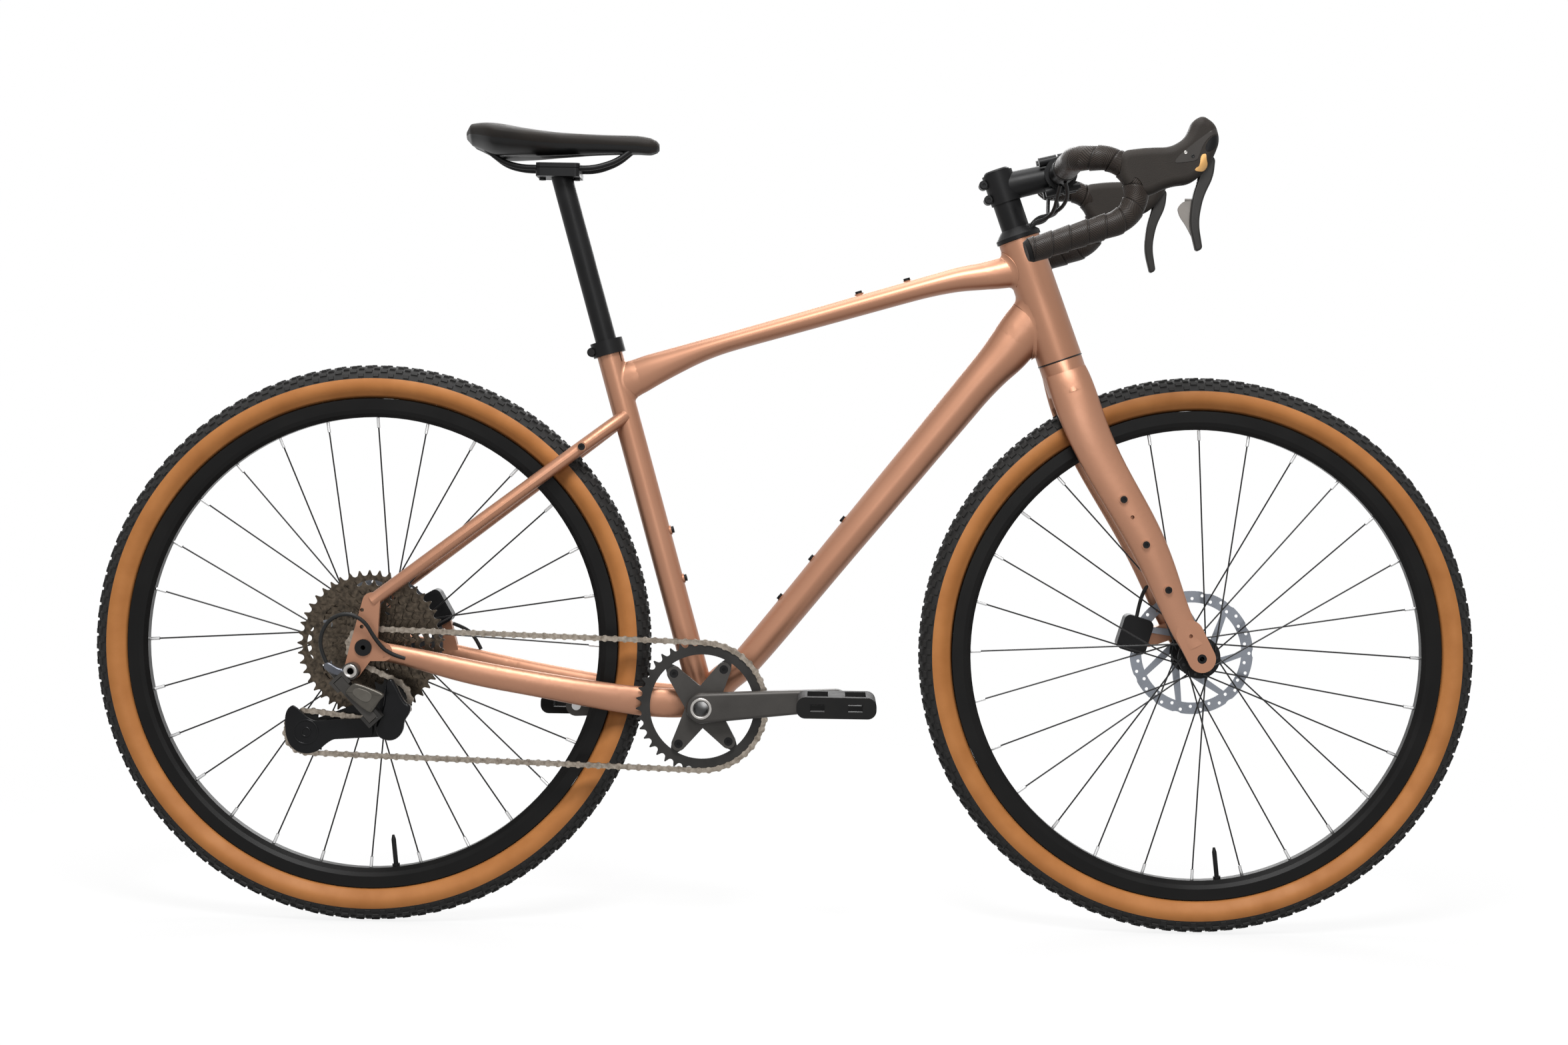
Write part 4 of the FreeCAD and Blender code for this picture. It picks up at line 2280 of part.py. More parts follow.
def make_knuckle():
    """Knuckle on the links that carries the cage's shaft."""
    pivot = cage_pivot()
    high = cage_lines()[0] - size.part_gap
    low = high - size.knuckle_thickness
    disc = side_disc(pivot, size.knuckle_radius, low, high)
    half = size.link_radius
    reach = (pivot - knuckle_pivot()).Length
    neck = slant_block(knuckle_pivot(), (half + size.part_gap * 2, reach), (-half, half), low, high)
    solid = fused([disc, neck, *link_fork(knuckle_pivot(), 1, high)])
    radius = size.cage_shaft_radius + size.running_clearance
    bore = side_disc(pivot, radius, low + size.cage_plate_thickness, high + size.cut_overrun)
    return feature("derailleur_knuckle", solid.cut(bore))


def make_cage(path):
    """Two cage plates on the pulleys' bolts, with the shaft in the knuckle."""
    pivot = cage_pivot()
    outer, inner = cage_lines()
    far_high = -size.small_sprocket_line + size.cage_plate_gap + size.cage_plate_thickness
    far_low = far_high - size.cage_plate_thickness
    end = size.cage_end_radius
    tension_end = size.cage_tension_radius
    guide_end = size.cage_guide_radius
    shaft_end = outer - size.knuckle_thickness + size.cage_plate_thickness
    solids = [
        tapered_plate(pivot, end, path.tension, tension_end, outer, inner),
        tapered_plate(pivot, end, path.guide, guide_end, outer, inner),
        tapered_plate(path.guide, guide_end, path.tension, tension_end, far_low, far_high),
        side_disc(pivot, size.cage_shaft_radius, shaft_end, inner),
    ]
    for centre in (path.guide, path.tension):
        solids.append(side_disc(centre, size.pulley_bolt_radius, outer, far_high))
    return feature("derailleur_cage", fused(solids))


def make_pulley(label, centre, phase):
    """Toothed pulley with a broad hub."""
    half = size.pulley_hub_thickness / 2
    bore = size.pulley_bolt_radius + size.running_clearance
    plate = toothed_plate(size.pulley_teeth, phase, [(Vector(), bore)], 0, size.sprocket_thickness)
    hub = side_ring(Vector(), size.pulley_hub_radius, bore, -half, half)
    shape = fused([plate, hub])
    shape.translate(across(centre, -size.small_sprocket_line))
    return feature(label, shape)


# Saddle and seatpost


def saddle_section(along, half_share, top, edge, low):
    """Section of the saddle with a crown and drawn-in sides."""
    x = along * size.saddle_length - size.saddle_tail
    half = half_share * size.saddle_width / 2
    levels = [size.saddle_low + share * size.saddle_height for share in (top, edge, low)]
    top_level, edge_level, low_level = levels
    tuck = half * SADDLE_TUCK_SHARE
    side = half * SADDLE_SIDE_BULGE_SHARE
    middle = (edge_level + low_level) / 2
    hollow = low_level + (edge_level - low_level) * SADDLE_HOLLOW_SHARE
    arcs = (
        ((-half, edge_level), (0, top_level), (half, edge_level)),
        ((half, edge_level), (side, middle), (tuck, low_level)),
        ((tuck, low_level), (0, hollow), (-tuck, low_level)),
        ((-tuck, low_level), (-side, middle), (-half, edge_level)),
    )
    return Part.Wire([Part.Arc(*(Vector(x, *spot) for spot in arc)).toShape() for arc in arcs])


def make_saddle():
    """Padded saddle from its broad tail to its nose."""
    return feature("saddle", loft([saddle_section(*shares) for shares in SADDLE_SHARES]))


def rails(radius):
    """Both saddle rails."""
    left = tube_on_runs(runs_through([Vector(*point) for point in RAIL_ROUTE]), radius)
    return [left, mirrored(left)]


def make_saddle_rails(saddle):
    """Rails that end at the saddle's underside."""
    trimmed = [rail.cut(saddle.Shape) for rail in rails(size.rail_radius)]
    return feature("saddle_rails", Part.makeCompound(trimmed))


def cradle_block(low, high):
    """Block of the seatpost's clamp between two heights."""
    middle = place.seat_up * (size.rail_line / place.seat_up.z)
    box = Part.makeBox(size.cradle_length, size.cradle_width, high - low)
    box.translate(Vector(middle.x - size.cradle_length / 2, -size.cradle_width / 2, low))
    upright = [edge for edge in box.Edges if edge.BoundBox.ZLength > size.part_gap]
    return box.makeFillet(size.cradle_cap_height, upright)


def make_seatpost():
    """Seatpost with a two-piece clamp on the rails."""
    foot = "post_top_station - post_length"
    post = revolved("post", [[
        ("post_bore_radius", foot),
        ("post_radius", foot),
        ("post_radius", "post_top_station"),
        ("post_bore_radius", "post_top_station"),
    ]], Vector(), place.seat_up)
    gap = size.part_gap
    top = place.seat_up * (size.post_top_station + size.seat_clearance)
    low = size.rail_line - size.cradle_height
    neck = rod(top, place.seat_up * ((low + size.cradle_height / 2) / place.seat_up.z), size.post_radius)
    tracks = rails(size.rail_radius + size.seat_clearance)
    middle = place.seat_up * (size.rail_line / place.seat_up.z)
    bolts = []
    holes = []
    for way in (-1, 1):
        spot = middle + ALONG_X * (way * size.cradle_bolt_spread / 2)
        seat = Vector(spot.x, 0, low)
        length = size.cradle_height + size.cradle_cap_height / 2
        bolts.append(bolt(seat, ALONG_Z * -1, length))
        holes.append(bolt_hole(seat, ALONG_Z * -1, length))
    lower = fused([cradle_block(low, size.rail_line - gap), neck]).cut([*tracks, *holes])
    upper = cradle_block(size.rail_line + gap, size.rail_line + size.cradle_cap_height).cut([*tracks, *holes])
    clamp = feature("post_clamp", Part.makeCompound([lower, upper, *bolts]))
    return compound("seatpost", [post, clamp])


# Hoses and shift housing


def steering_hoses(radius):
    """Hoses from the handlebar into the headset cover."""
    return [hose(route, radius) for route in STEERING_HOSE_ROUTES]


def make_control_cables(neighbours):
    """Hoses that turn with the fork, trimmed where they enter other sub-parts."""
    blockers = [neighbour.Shape for neighbour in neighbours]
    hoses = steering_hoses(size.hose_radius)
    hoses.append(hose(FRONT_HOSE_ROUTE, size.hose_radius))
    return feature("control_cables", Part.makeCompound([cord.cut(blockers) for cord in hoses]))


def make_frame_cables(neighbours):
    """Shift housing and rear hose, trimmed where they enter other sub-parts."""
    blockers = [neighbour.Shape for neighbour in neighbours]
    hoses = [hose(route, size.hose_radius) for route in (SHIFT_HOUSING_ROUTE, REAR_HOSE_ROUTE)]
    return feature("frame_cables", Part.makeCompound([cord.cut(blockers) for cord in hoses]))


# Whole bike


def make_wheels():
    """Sub-parts of both wheels, with their brakes and axles."""
    sub_parts = []
    axles = (
        ("front", place.front_axle, "fork_end_thickness", LEFT),
        ("rear", place.rear_axle, "dropout_thickness", RIGHT),
    )
    for name, centre, end, head_side in axles:
        right, left = f"{name}_right_flange", f"{name}_left_flange"
        spacing = f"{name}_spacing"
        gap = number(spacing)
        angle = number(f"{name}_caliper_angle")
        right_end = f"{spacing} / 2 - end_cap_length - part_gap"
        if name == "rear":
            right_end = f"{right} + flange_thickness"
        sub_parts.extend([
            make_tyre(f"{name}_tyre", centre),
            make_rim(f"{name}_rim", centre),
            make_spokes(f"{name}_spokes", centre, number(right), number(left)),
            make_hub(f"{name}_hub", centre, right, left, right_end, spacing),
            make_rotor(f"{name}_rotor", centre, gap),
            make_valve(f"{name}_valve", centre),
            make_thru_axle(f"{name}_thru_axle", centre, spacing, end, head_side),
            make_caliper(f"{name}_caliper", centre, angle, gap),
            make_pad(f"{name}_right_pad", centre, angle, gap, RIGHT),
            make_pad(f"{name}_left_pad", centre, angle, gap, LEFT),
        ])
    return sub_parts


def make_bike():
    """Every sub-part of the bike."""
    path, count = settled_chain()
    frame = make_frame()
    fork, fork_seats = make_fork()
    handlebar = make_handlebar()
    tapes = [make_bar_tape(side) for side in SIDES]
    wheels = make_wheels()
    named = {sub_part.Label: sub_part for sub_part in wheels}
    saddle = make_saddle()
    inner_line, outer_line = link_lines()
    derailleur_base = make_derailleur_base()
    sub_parts = [
        frame,
        fork,
        handlebar,
        *tapes,
        *wheels,
        saddle,
        make_frame_bolts(),
        make_headset_bearings(),
        make_bottom_bracket_cups(),
        make_seat_clamp(),
        make_headset_stack(),
        make_stem(),
        make_stem_faceplate(),
        make_steering_bolts(fork_seats),
        make_bar_end_plugs(),
        make_shift_paddle(),
        make_cassette(path.phase(1, count)),
        make_chainring(path.phase(0, count)),
        make_chain(path, count),
        make_right_crank(),
        make_left_crank(),
        make_chainring_bolts(),
        make_pedal_axles(),
        derailleur_base,
        make_link("derailleur_inner_link", inner_line),
        make_link("derailleur_outer_link", outer_line),
        make_knuckle(),
        make_cage(path),
        make_pulley("guide_pulley", path.guide, path.phase(2, count)),
        make_pulley("tension_pulley", path.tension, path.phase(3, count)),
        make_saddle_rails(saddle),
        make_seatpost(),
        make_control_cables([*tapes, fork, named["front_caliper"]]),
        make_frame_cables([frame, named["rear_caliper"], derailleur_base]),
    ]
    for side in SIDES:
        sub_parts.extend([make_hood(side), make_brake_lever(side), make_pedal(side)])
    return sub_parts


def write_sub_parts(sub_parts):
    """Check every object and write each sub-part to its own file."""
    doc.recompute()
    for item in doc.Objects:
        if "Invalid" in item.State or "Error" in item.State:
            raise RuntimeError(f"{item.Label} failed: {item.State}")
    os.makedirs("parts", exist_ok=True)
    for sub_part in sub_parts:
        if sub_part.Shape.isNull() or not sub_part.Shape.isValid():
            raise RuntimeError(f"{sub_part.Label} has no valid shape")
        sub_part.Shape.exportStep(f"parts/{sub_part.Label}.step")


write_sub_parts(make_bike())
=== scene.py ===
"""Looks of a gravel bike: copper paint, knobbly tan-wall tyres, wrapped tape, padded saddle and hoses."""

import json
import logging
import math
from dataclasses import dataclass, replace
from enum import Enum
from typing import Callable, Iterable, Sequence

import bmesh
import bpy
from mathutils import Matrix, Vector
from mathutils.bvhtree import BVHTree
from mathutils.geometry import delaunay_2d_cdt

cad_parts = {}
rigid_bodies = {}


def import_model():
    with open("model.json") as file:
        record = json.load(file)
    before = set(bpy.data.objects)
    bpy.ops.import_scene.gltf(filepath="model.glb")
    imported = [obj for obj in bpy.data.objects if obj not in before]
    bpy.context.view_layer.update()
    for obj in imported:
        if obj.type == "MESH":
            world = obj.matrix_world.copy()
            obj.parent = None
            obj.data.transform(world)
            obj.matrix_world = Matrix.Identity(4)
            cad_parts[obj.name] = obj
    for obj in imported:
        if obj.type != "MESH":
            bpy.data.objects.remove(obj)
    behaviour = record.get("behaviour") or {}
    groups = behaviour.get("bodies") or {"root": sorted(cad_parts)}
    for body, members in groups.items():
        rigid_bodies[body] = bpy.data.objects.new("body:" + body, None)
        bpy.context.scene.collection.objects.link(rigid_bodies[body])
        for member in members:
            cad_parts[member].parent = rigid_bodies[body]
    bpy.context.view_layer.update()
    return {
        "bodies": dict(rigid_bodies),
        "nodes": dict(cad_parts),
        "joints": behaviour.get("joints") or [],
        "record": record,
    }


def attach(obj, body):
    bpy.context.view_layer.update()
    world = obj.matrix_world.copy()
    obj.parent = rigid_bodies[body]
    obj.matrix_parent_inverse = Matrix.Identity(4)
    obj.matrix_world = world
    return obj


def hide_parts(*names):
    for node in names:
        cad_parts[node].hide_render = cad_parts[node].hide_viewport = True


LOG = logging.getLogger("gravel_bike")
MM = 0.001
WHITE = (1.0, 1.0, 1.0, 1.0)
LEFT_WAY = Vector((0, 1, 0)).freeze()
MIX_COLOURS = (6, 7)
MIX_RESULT = 2
Colour = tuple[float, float, float]
Point = tuple[float, float, float]
Pair = tuple[float, float]
Outline = tuple[Pair, ...]
Socket = bpy.types.NodeSocket
Material = bpy.types.Material
Piece = bpy.types.Object


class Body(Enum):
    """Moving groups of the bike that new pieces ride on."""

    FRAME = "frame_assembly"
    STEERING = "steering"
    FRONT_WHEEL = "front_wheel"
    REAR_WHEEL = "rear_wheel"
    SEAT = "seat"
    CRANKSET = "crankset"
    LINK = "outer_link"
    KNUCKLE = "knuckle"
    CAGE = "cage"


class Side(Enum):
    """Sides of the bike, by the sign of their Y."""

    RIGHT = -1
    LEFT = 1


# Finishes


class Canvas:
    """Node tree of one material, with short calls for its nodes."""

    def __init__(self, name: str) -> None:
        """Start a material with a principled shader.

        Args:
            name: Name of the material.
        """
        self.material = bpy.data.materials.new(name)
        self.material.use_nodes = True
        self.nodes = self.material.node_tree.nodes
        self.links = self.material.node_tree.links
        self.shader = self.nodes["Principled BSDF"]
        self.place = self.nodes.new("ShaderNodeTexCoord").outputs["Object"]

    def noise(self, scale: float, detail: float = 4.0, vector: Socket | None = None) -> Socket:
        """Noise value in the object's own space.

        Args:
            scale: Waves per metre.
            detail: Levels of finer noise.
            vector: Coordinates to read in place of the object's own.

        Returns:
            The noise's value.
        """
        node = self.nodes.new("ShaderNodeTexNoise")
        node.inputs["Scale"].default_value = scale
        node.inputs["Detail"].default_value = detail
        self.links.new(vector or self.place, node.inputs["Vector"])
        return node.outputs["Fac"]

    def stretched(self, scale: Point) -> Socket:
        """Object coordinates stretched along each axis."""
        node = self.nodes.new("ShaderNodeMapping")
        node.inputs["Scale"].default_value = scale
        self.links.new(self.place, node.inputs["Vector"])
        return node.outputs["Vector"]

    def ranged(self, value: Socket, low: float, high: float, start: float, end: float) -> Socket:
        """Value mapped from one range to another.

        Args:
            value: Value to map.
            low: Value that becomes start.
            high: Value that becomes end.
            start: First end of the new range.
            end: Last end of the new range.

        Returns:
            The mapped value, kept inside the new range.
        """
        node = self.nodes.new("ShaderNodeMapRange")
        for name, number in (("From Min", low), ("From Max", high), ("To Min", start), ("To Max", end)):
            node.inputs[name].default_value = number
        self.links.new(value, node.inputs["Value"])
        return node.outputs["Result"]

    def math(self, operation: str, first: Socket, second: Socket | float) -> Socket:
        """Value worked out from two others.

        Args:
            operation: Blender's name of the operation.
            first: First value.
            second: Second value or a plain number.

        Returns:
            The result.
        """
        node = self.nodes.new("ShaderNodeMath")
        node.operation = operation
        self.links.new(first, node.inputs[0])
        if isinstance(second, (int, float)):
            node.inputs[1].default_value = second
        else:
            self.links.new(second, node.inputs[1])
        return node.outputs["Value"]

    def mixed(self, share: Socket, first: Colour | Socket, second: Colour | Socket) -> Socket:
        """Colour between two others.

        Args:
            share: Share of the second colour.
            first: First colour.
            second: Second colour.

        Returns:
            The mixed colour.
        """
        node = self.nodes.new("ShaderNodeMix")
        node.data_type = "RGBA"
        self.links.new(share, node.inputs["Factor"])
        for socket, colour in zip(MIX_COLOURS, (first, second)):
            if isinstance(colour, tuple):
                node.inputs[socket].default_value = (*colour, 1.0)
            else:
                self.links.new(colour, node.inputs[socket])
        return node.outputs[MIX_RESULT]

    def attribute(self, name: str) -> Socket:
        """Value that a mesh carries under a name."""
        node = self.nodes.new("ShaderNodeAttribute")
        node.attribute_name = name
        return node.outputs["Fac"]

    def radius(self, centre: Point) -> Socket:
        """Distance from a wheel's axle in the bike's plane.

        Args:
            centre: Point on the axle.

        Returns:
            The distance in metres.
        """
        flat = self.nodes.new("ShaderNodeVectorMath")
        flat.operation = "MULTIPLY"
        flat.inputs[1].default_value = (1.0, 0.0, 1.0)
        self.links.new(self.place, flat.inputs[0])
        reach = self.nodes.new("ShaderNodeVectorMath")
        reach.operation = "DISTANCE"
        reach.inputs[1].default_value = (centre[0], 0.0, centre[2])
        self.links.new(flat.outputs["Vector"], reach.inputs[0])
        return reach.outputs["Value"]

    def relief(self, height: Socket, strength: float, distance: float) -> None:
        """Give the shader a bump from a height.

        Args:
            height: Height of the surface.
            strength: Strength of the bump.
            distance: Depth in metres.
        """
        node = self.nodes.new("ShaderNodeBump")
        node.inputs["Strength"].default_value = strength
        node.inputs["Distance"].default_value = distance
        self.links.new(height, node.inputs["Height"])
        self.links.new(node.outputs["Normal"], self.shader.inputs["Normal"])

    def feed(self, socket: str, value: Socket) -> None:
        """Link a value to one of the shader's sockets."""
        self.links.new(value, self.shader.inputs[socket])

    def fix(self, values: dict[str, float | tuple[float, ...]]) -> None:
        """Set what is the same all over on the shader's own sockets."""
        for name, value in values.items():
            self.shader.inputs[name].default_value = value

    @property
    def base(self) -> Socket:
        """Colour that reaches the shader so far."""
        return self.shader.inputs["Base Color"].links[0].from_socket


@dataclass(frozen=True)
class Finish:
    """Finish with mottled colour, uneven gloss and a fine relief."""

    name: str
    colour: Colour
    shade: Colour
    metallic: float = 0.0
    gloss: Pair = (0.4, 0.5)
    gloss_span: Pair = (0.25, 0.75)
    mottle: float = 40.0
    mottle_span: Pair = (0.3, 0.7)
    grain: float = 900.0
    grain_detail: float = 3.0
    relief: float = 0.15
    depth: float = 0.0002
    coat: float = 0.0
    coat_roughness: float = 0.25
    sheen: float = 0.0
    brush: Point = (1.0, 1.0, 1.0)
    specular: float = 0.5

    def canvas(self) -> Canvas:
        """Make the finish's node tree.

        Returns:
            The canvas, with its colour, gloss and relief in place.
        """
        canvas = Canvas(self.name)
        mottle = canvas.noise(self.mottle)
        share = canvas.ranged(mottle, *self.mottle_span, 0.0, 1.0)
        canvas.feed("Base Color", canvas.mixed(share, self.colour, self.shade))
        canvas.feed("Roughness", canvas.ranged(mottle, *self.gloss_span, *self.gloss))
        grain = canvas.noise(self.grain, self.grain_detail, canvas.stretched(self.brush))
        canvas.relief(grain, self.relief, self.depth)
        canvas.fix({
            "Metallic": self.metallic,
            "Coat Weight": self.coat,
            "Coat Roughness": self.coat_roughness,
            "Sheen Weight": self.sheen,
            "Specular IOR Level": self.specular,
        })
        return canvas

    def material(self) -> Material:
        """Make the finish's material."""
        return self.canvas().material


@dataclass(frozen=True)
class FlakePaint(Finish):
    """Satin metallic paint with fine flakes."""

    flake: float = 5200.0
    flake_span: Pair = (0.45, 0.8)
    flake_share: float = 0.35
    flake_gain: float = 1.35

    def canvas(self) -> Canvas:
        """Make the paint's node tree.

        Returns:
            The canvas, with flakes that vary its colour.
        """
        canvas = super().canvas()
        flakes = canvas.ranged(canvas.noise(self.flake, detail=1.0), *self.flake_span, 0.0, self.flake_share)
        bright = tuple(min(1.0, part * self.flake_gain) for part in self.colour)
        canvas.feed("Base Color", canvas.mixed(flakes, canvas.base, bright))
        return canvas


@dataclass(frozen=True)
class WheelFinish(Finish):
    """Finish that changes at a distance from the axle."""

    centre: Point = (0.0, 0.0, 0.0)
    edge: float = 0.1
    blur: float = 0.0004
    outer: Colour = (0.5, 0.5, 0.5)
    outer_metallic: float = 1.0

    def on_wheel(self, wheel: str, centre: Point) -> Finish:
        """Copy of the finish for one wheel.

        Args:
            wheel: Name of the wheel.
            centre: Point on its axle.

        Returns:
            The wheel's own finish.
        """
        return replace(self, name=f"{wheel}_{self.name}", centre=centre)

    def canvas(self) -> Canvas:
        """Make the node tree.

        Returns:
            The canvas, with the outer colour past the edge.
        """
        canvas = super().canvas()
        reach = canvas.radius(self.centre)
        past = canvas.ranged(reach, self.edge - self.blur, self.edge + self.blur, 0.0, 1.0)
        canvas.feed("Base Color", canvas.mixed(past, canvas.base, self.outer))
        canvas.feed("Metallic", canvas.ranged(past, 0.0, 1.0, self.metallic, self.outer_metallic))
        return canvas


@dataclass(frozen=True)
class TapeFinish(Finish):
    """Wrapped tape with herringbone grooves along each turn, and painted shade in the grooves and under each
    lap.
    """

    lines_round: float = 30.0
    lean: float = 0.26
    seam_width: float = 0.05
    groove_span: Pair = (0.08, 0.24)
    groove_strength: float = 0.8
    groove_depth: float = 0.0008
    # Share of the tape's colour kept in the grooves and the tucked edge, as painted shade.
    groove_painted_shade: float = 0.4

    def canvas(self) -> Canvas:
        """Make the node tree.

        Returns:
            The canvas, with grooves from the tape's own turns, and painted shade that darkens the grooves and
            the edge tucked under the next turn.
        """
        canvas = super().canvas()
        across = canvas.attribute("tape_across")
        around = canvas.attribute("tape_around")
        half = canvas.math("ABSOLUTE", canvas.math("SUBTRACT", across, 0.5), 0.0)
        slant = canvas.math("ADD", around, canvas.math("MULTIPLY", half, self.lean))
        wave = canvas.math("FRACT", canvas.math("MULTIPLY", slant, self.lines_round), 0.0)
        line = canvas.math("ABSOLUTE", canvas.math("SUBTRACT", wave, 0.5), 0.0)
        groove = canvas.ranged(line, *self.groove_span, 0.0, 1.0)
        seam = canvas.ranged(across, 1.0 - 2 * self.seam_width, 1.0 - self.seam_width, 1.0, 0.0)
        height = canvas.math("MULTIPLY", groove, seam)
        canvas.relief(height, self.groove_strength, self.groove_depth)
        # Painted shade: the grooves and the edge tucked under the next turn get a darker colour.
        painted_shade = tuple(part * self.groove_painted_shade for part in self.colour)
        canvas.feed("Base Color", canvas.mixed(height, painted_shade, canvas.base))
        return canvas


COPPER = FlakePaint(
    "copper_paint", colour=(0.4, 0.2, 0.123), shade=(0.345, 0.168, 0.101), metallic=0.58, gloss=(0.36, 0.44),
    mottle=6.0, grain=2600.0, relief=0.04, coat=0.1, specular=0.25,
)
BLACK_SATIN = Finish(
    "black_satin", colour=(0.0045, 0.0045, 0.0048), shade=(0.008, 0.008, 0.0084), gloss=(0.34, 0.46),
    mottle=30.0, grain=2200.0, relief=0.1, specular=0.16,
)
BLACK_RIM = Finish(
    "black_rim", colour=(0.0035, 0.0033, 0.0033), shade=(0.006, 0.0057, 0.0055), gloss=(0.28, 0.4),
    mottle=18.0, grain=1800.0, relief=0.06, specular=0.14,
)
BLACK_PLASTIC = Finish(
    "black_plastic", colour=(0.007, 0.007, 0.007), shade=(0.012, 0.0118, 0.0115), gloss=(0.56, 0.7),
    mottle=60.0, grain=1400.0, relief=0.25, specular=0.14,
)
BLACK_GLOSS = Finish(
    "black_gloss", colour=(0.003, 0.0031, 0.0036), shade=(0.006, 0.0062, 0.007), gloss=(0.2, 0.32),
    mottle=40.0, grain=1200.0, relief=0.1, specular=0.16,
)
HOOD_RUBBER = Finish(
    "hood_rubber", colour=(0.02, 0.0165, 0.014), shade=(0.029, 0.0245, 0.021), gloss=(0.58, 0.72),
    mottle=50.0, grain=700.0, relief=0.5, depth=0.0006, sheen=0.04, specular=0.18,
)
HOOD_PLASTIC = Finish(
    "hood_plastic", colour=(0.027, 0.0235, 0.021), shade=(0.036, 0.032, 0.029), gloss=(0.42, 0.54),
    mottle=60.0, grain=1800.0, relief=0.12, specular=0.25,
)
HOSE_RUBBER = Finish(
    "hose_rubber", colour=(0.006, 0.006, 0.006), shade=(0.011, 0.011, 0.011), gloss=(0.42, 0.55),
    mottle=80.0, grain=1600.0, relief=0.1, specular=0.25,
)
GREY_ALLOY = Finish(
    "grey_alloy", colour=(0.042, 0.039, 0.036), shade=(0.06, 0.056, 0.052), metallic=0.45, gloss=(0.36, 0.48),
    mottle=24.0, grain=2400.0, relief=0.1, specular=0.3,
)
DARK_ALLOY = Finish(
    "dark_alloy", colour=(0.02, 0.019, 0.018), shade=(0.031, 0.0295, 0.028), metallic=0.3, gloss=(0.36, 0.5),
    mottle=36.0, grain=2200.0, relief=0.12, specular=0.28,
)
LINK_ALLOY = Finish(
    "link_alloy", colour=(0.06, 0.055, 0.047), shade=(0.085, 0.078, 0.066), metallic=0.6, gloss=(0.3, 0.42),
    mottle=60.0, grain=1900.0, relief=0.12, specular=0.35,
)
BLUE_ALLOY = Finish(
    "blued_alloy", colour=(0.07, 0.074, 0.088), shade=(0.11, 0.115, 0.13), metallic=0.75, gloss=(0.24, 0.36),
    mottle=50.0, grain=1700.0, relief=0.1,
)
PANEL_ALLOY = Finish(
    "panel_alloy", colour=(0.09, 0.083, 0.07), shade=(0.12, 0.11, 0.095), metallic=0.5, gloss=(0.36, 0.48),
    mottle=60.0, grain=2000.0, relief=0.1, specular=0.35,
)
SHELL_PLASTIC = Finish(
    "shell_plastic", colour=(0.004, 0.004, 0.0042), shade=(0.007, 0.007, 0.0072), gloss=(0.28, 0.4),
    mottle=50.0, grain=1500.0, relief=0.12, specular=0.25,
)
PALE_ALLOY = Finish(
    "pale_alloy", colour=(0.17, 0.155, 0.14), shade=(0.22, 0.205, 0.19), metallic=0.4, gloss=(0.36, 0.48),
    mottle=40.0, grain=1800.0, relief=0.1,
)
SILVER = Finish(
    "turned_silver", colour=(0.42, 0.405, 0.385), shade=(0.33, 0.315, 0.3), metallic=1.0, gloss=(0.22, 0.34),
    mottle=70.0, grain=1600.0, relief=0.12,
)
BRONZE = Finish(
    "bronze_accent", colour=(0.72, 0.42, 0.16), shade=(0.6, 0.33, 0.11), metallic=0.55, gloss=(0.3, 0.42),
    mottle=60.0, grain=1800.0, relief=0.1,
)
STEEL = Finish(
    "axle_steel", colour=(0.42, 0.42, 0.43), shade=(0.5, 0.5, 0.5), metallic=1.0, gloss=(0.28, 0.4),
    mottle=60.0, grain=2000.0, relief=0.1, brush=(1.0, 0.2, 1.0),
)
CHAIN_STEEL = Finish(
    "chain_steel", colour=(0.36, 0.315, 0.265), shade=(0.15, 0.125, 0.1), metallic=0.95, gloss=(0.24, 0.44),
    mottle=190.0, grain=2400.0, relief=0.2,
)
COG_STEEL = Finish(
    "cog_steel", colour=(0.105, 0.082, 0.06), shade=(0.026, 0.021, 0.016), metallic=0.85, gloss=(0.18, 0.42),
    mottle=190.0, grain=1500.0, relief=0.35, specular=0.35,
)
SPOKE_STEEL = WheelFinish(
    "spoke_steel", colour=(0.012, 0.012, 0.013), shade=(0.02, 0.02, 0.02), metallic=0.6, gloss=(0.3, 0.4),
    edge=0.2758, outer=(0.6, 0.6, 0.6),
)
ROTOR_STEEL = WheelFinish(
    "rotor_steel", colour=(0.012, 0.012, 0.013), shade=(0.02, 0.02, 0.02), metallic=0.3, gloss=(0.26, 0.38),
    mottle=30.0, grain=1200.0, edge=0.0285, outer=(0.22, 0.235, 0.265),
)
PAD_COMPOUND = Finish(
    "pad_compound", colour=(0.09, 0.075, 0.06), shade=(0.05, 0.045, 0.04), gloss=(0.7, 0.85),
    mottle=300.0, grain=1500.0, relief=0.4,
)
TREAD = Finish(
    "tread_rubber", colour=(0.012, 0.0117, 0.0115), shade=(0.022, 0.0212, 0.0205), gloss=(0.6, 0.76),
    mottle=90.0, grain=1500.0, relief=0.3, specular=0.25,
)
TAN_WALL = Finish(
    "tan_sidewall", colour=(0.53, 0.215, 0.066), shade=(0.44, 0.17, 0.048), gloss=(0.5, 0.62),
    mottle=26.0, grain=1900.0, relief=0.3, depth=0.0003, specular=0.25,
)
TAPE = TapeFinish(
    "bar_tape", colour=(0.023, 0.0165, 0.0128), shade=(0.034, 0.0255, 0.02), gloss=(0.38, 0.52),
    mottle=70.0, grain=1100.0, relief=0.2, specular=0.22,
)
SADDLE_SKIN = Finish(
    "saddle_skin", colour=(0.0135, 0.0115, 0.01), shade=(0.0225, 0.019, 0.0165), gloss=(0.5, 0.64),
    mottle=34.0, grain=1500.0, relief=0.6, depth=0.0005, sheen=0.02, specular=0.18,
)


# Mesh tools

CORNER_CUT_SHARE = 0.25


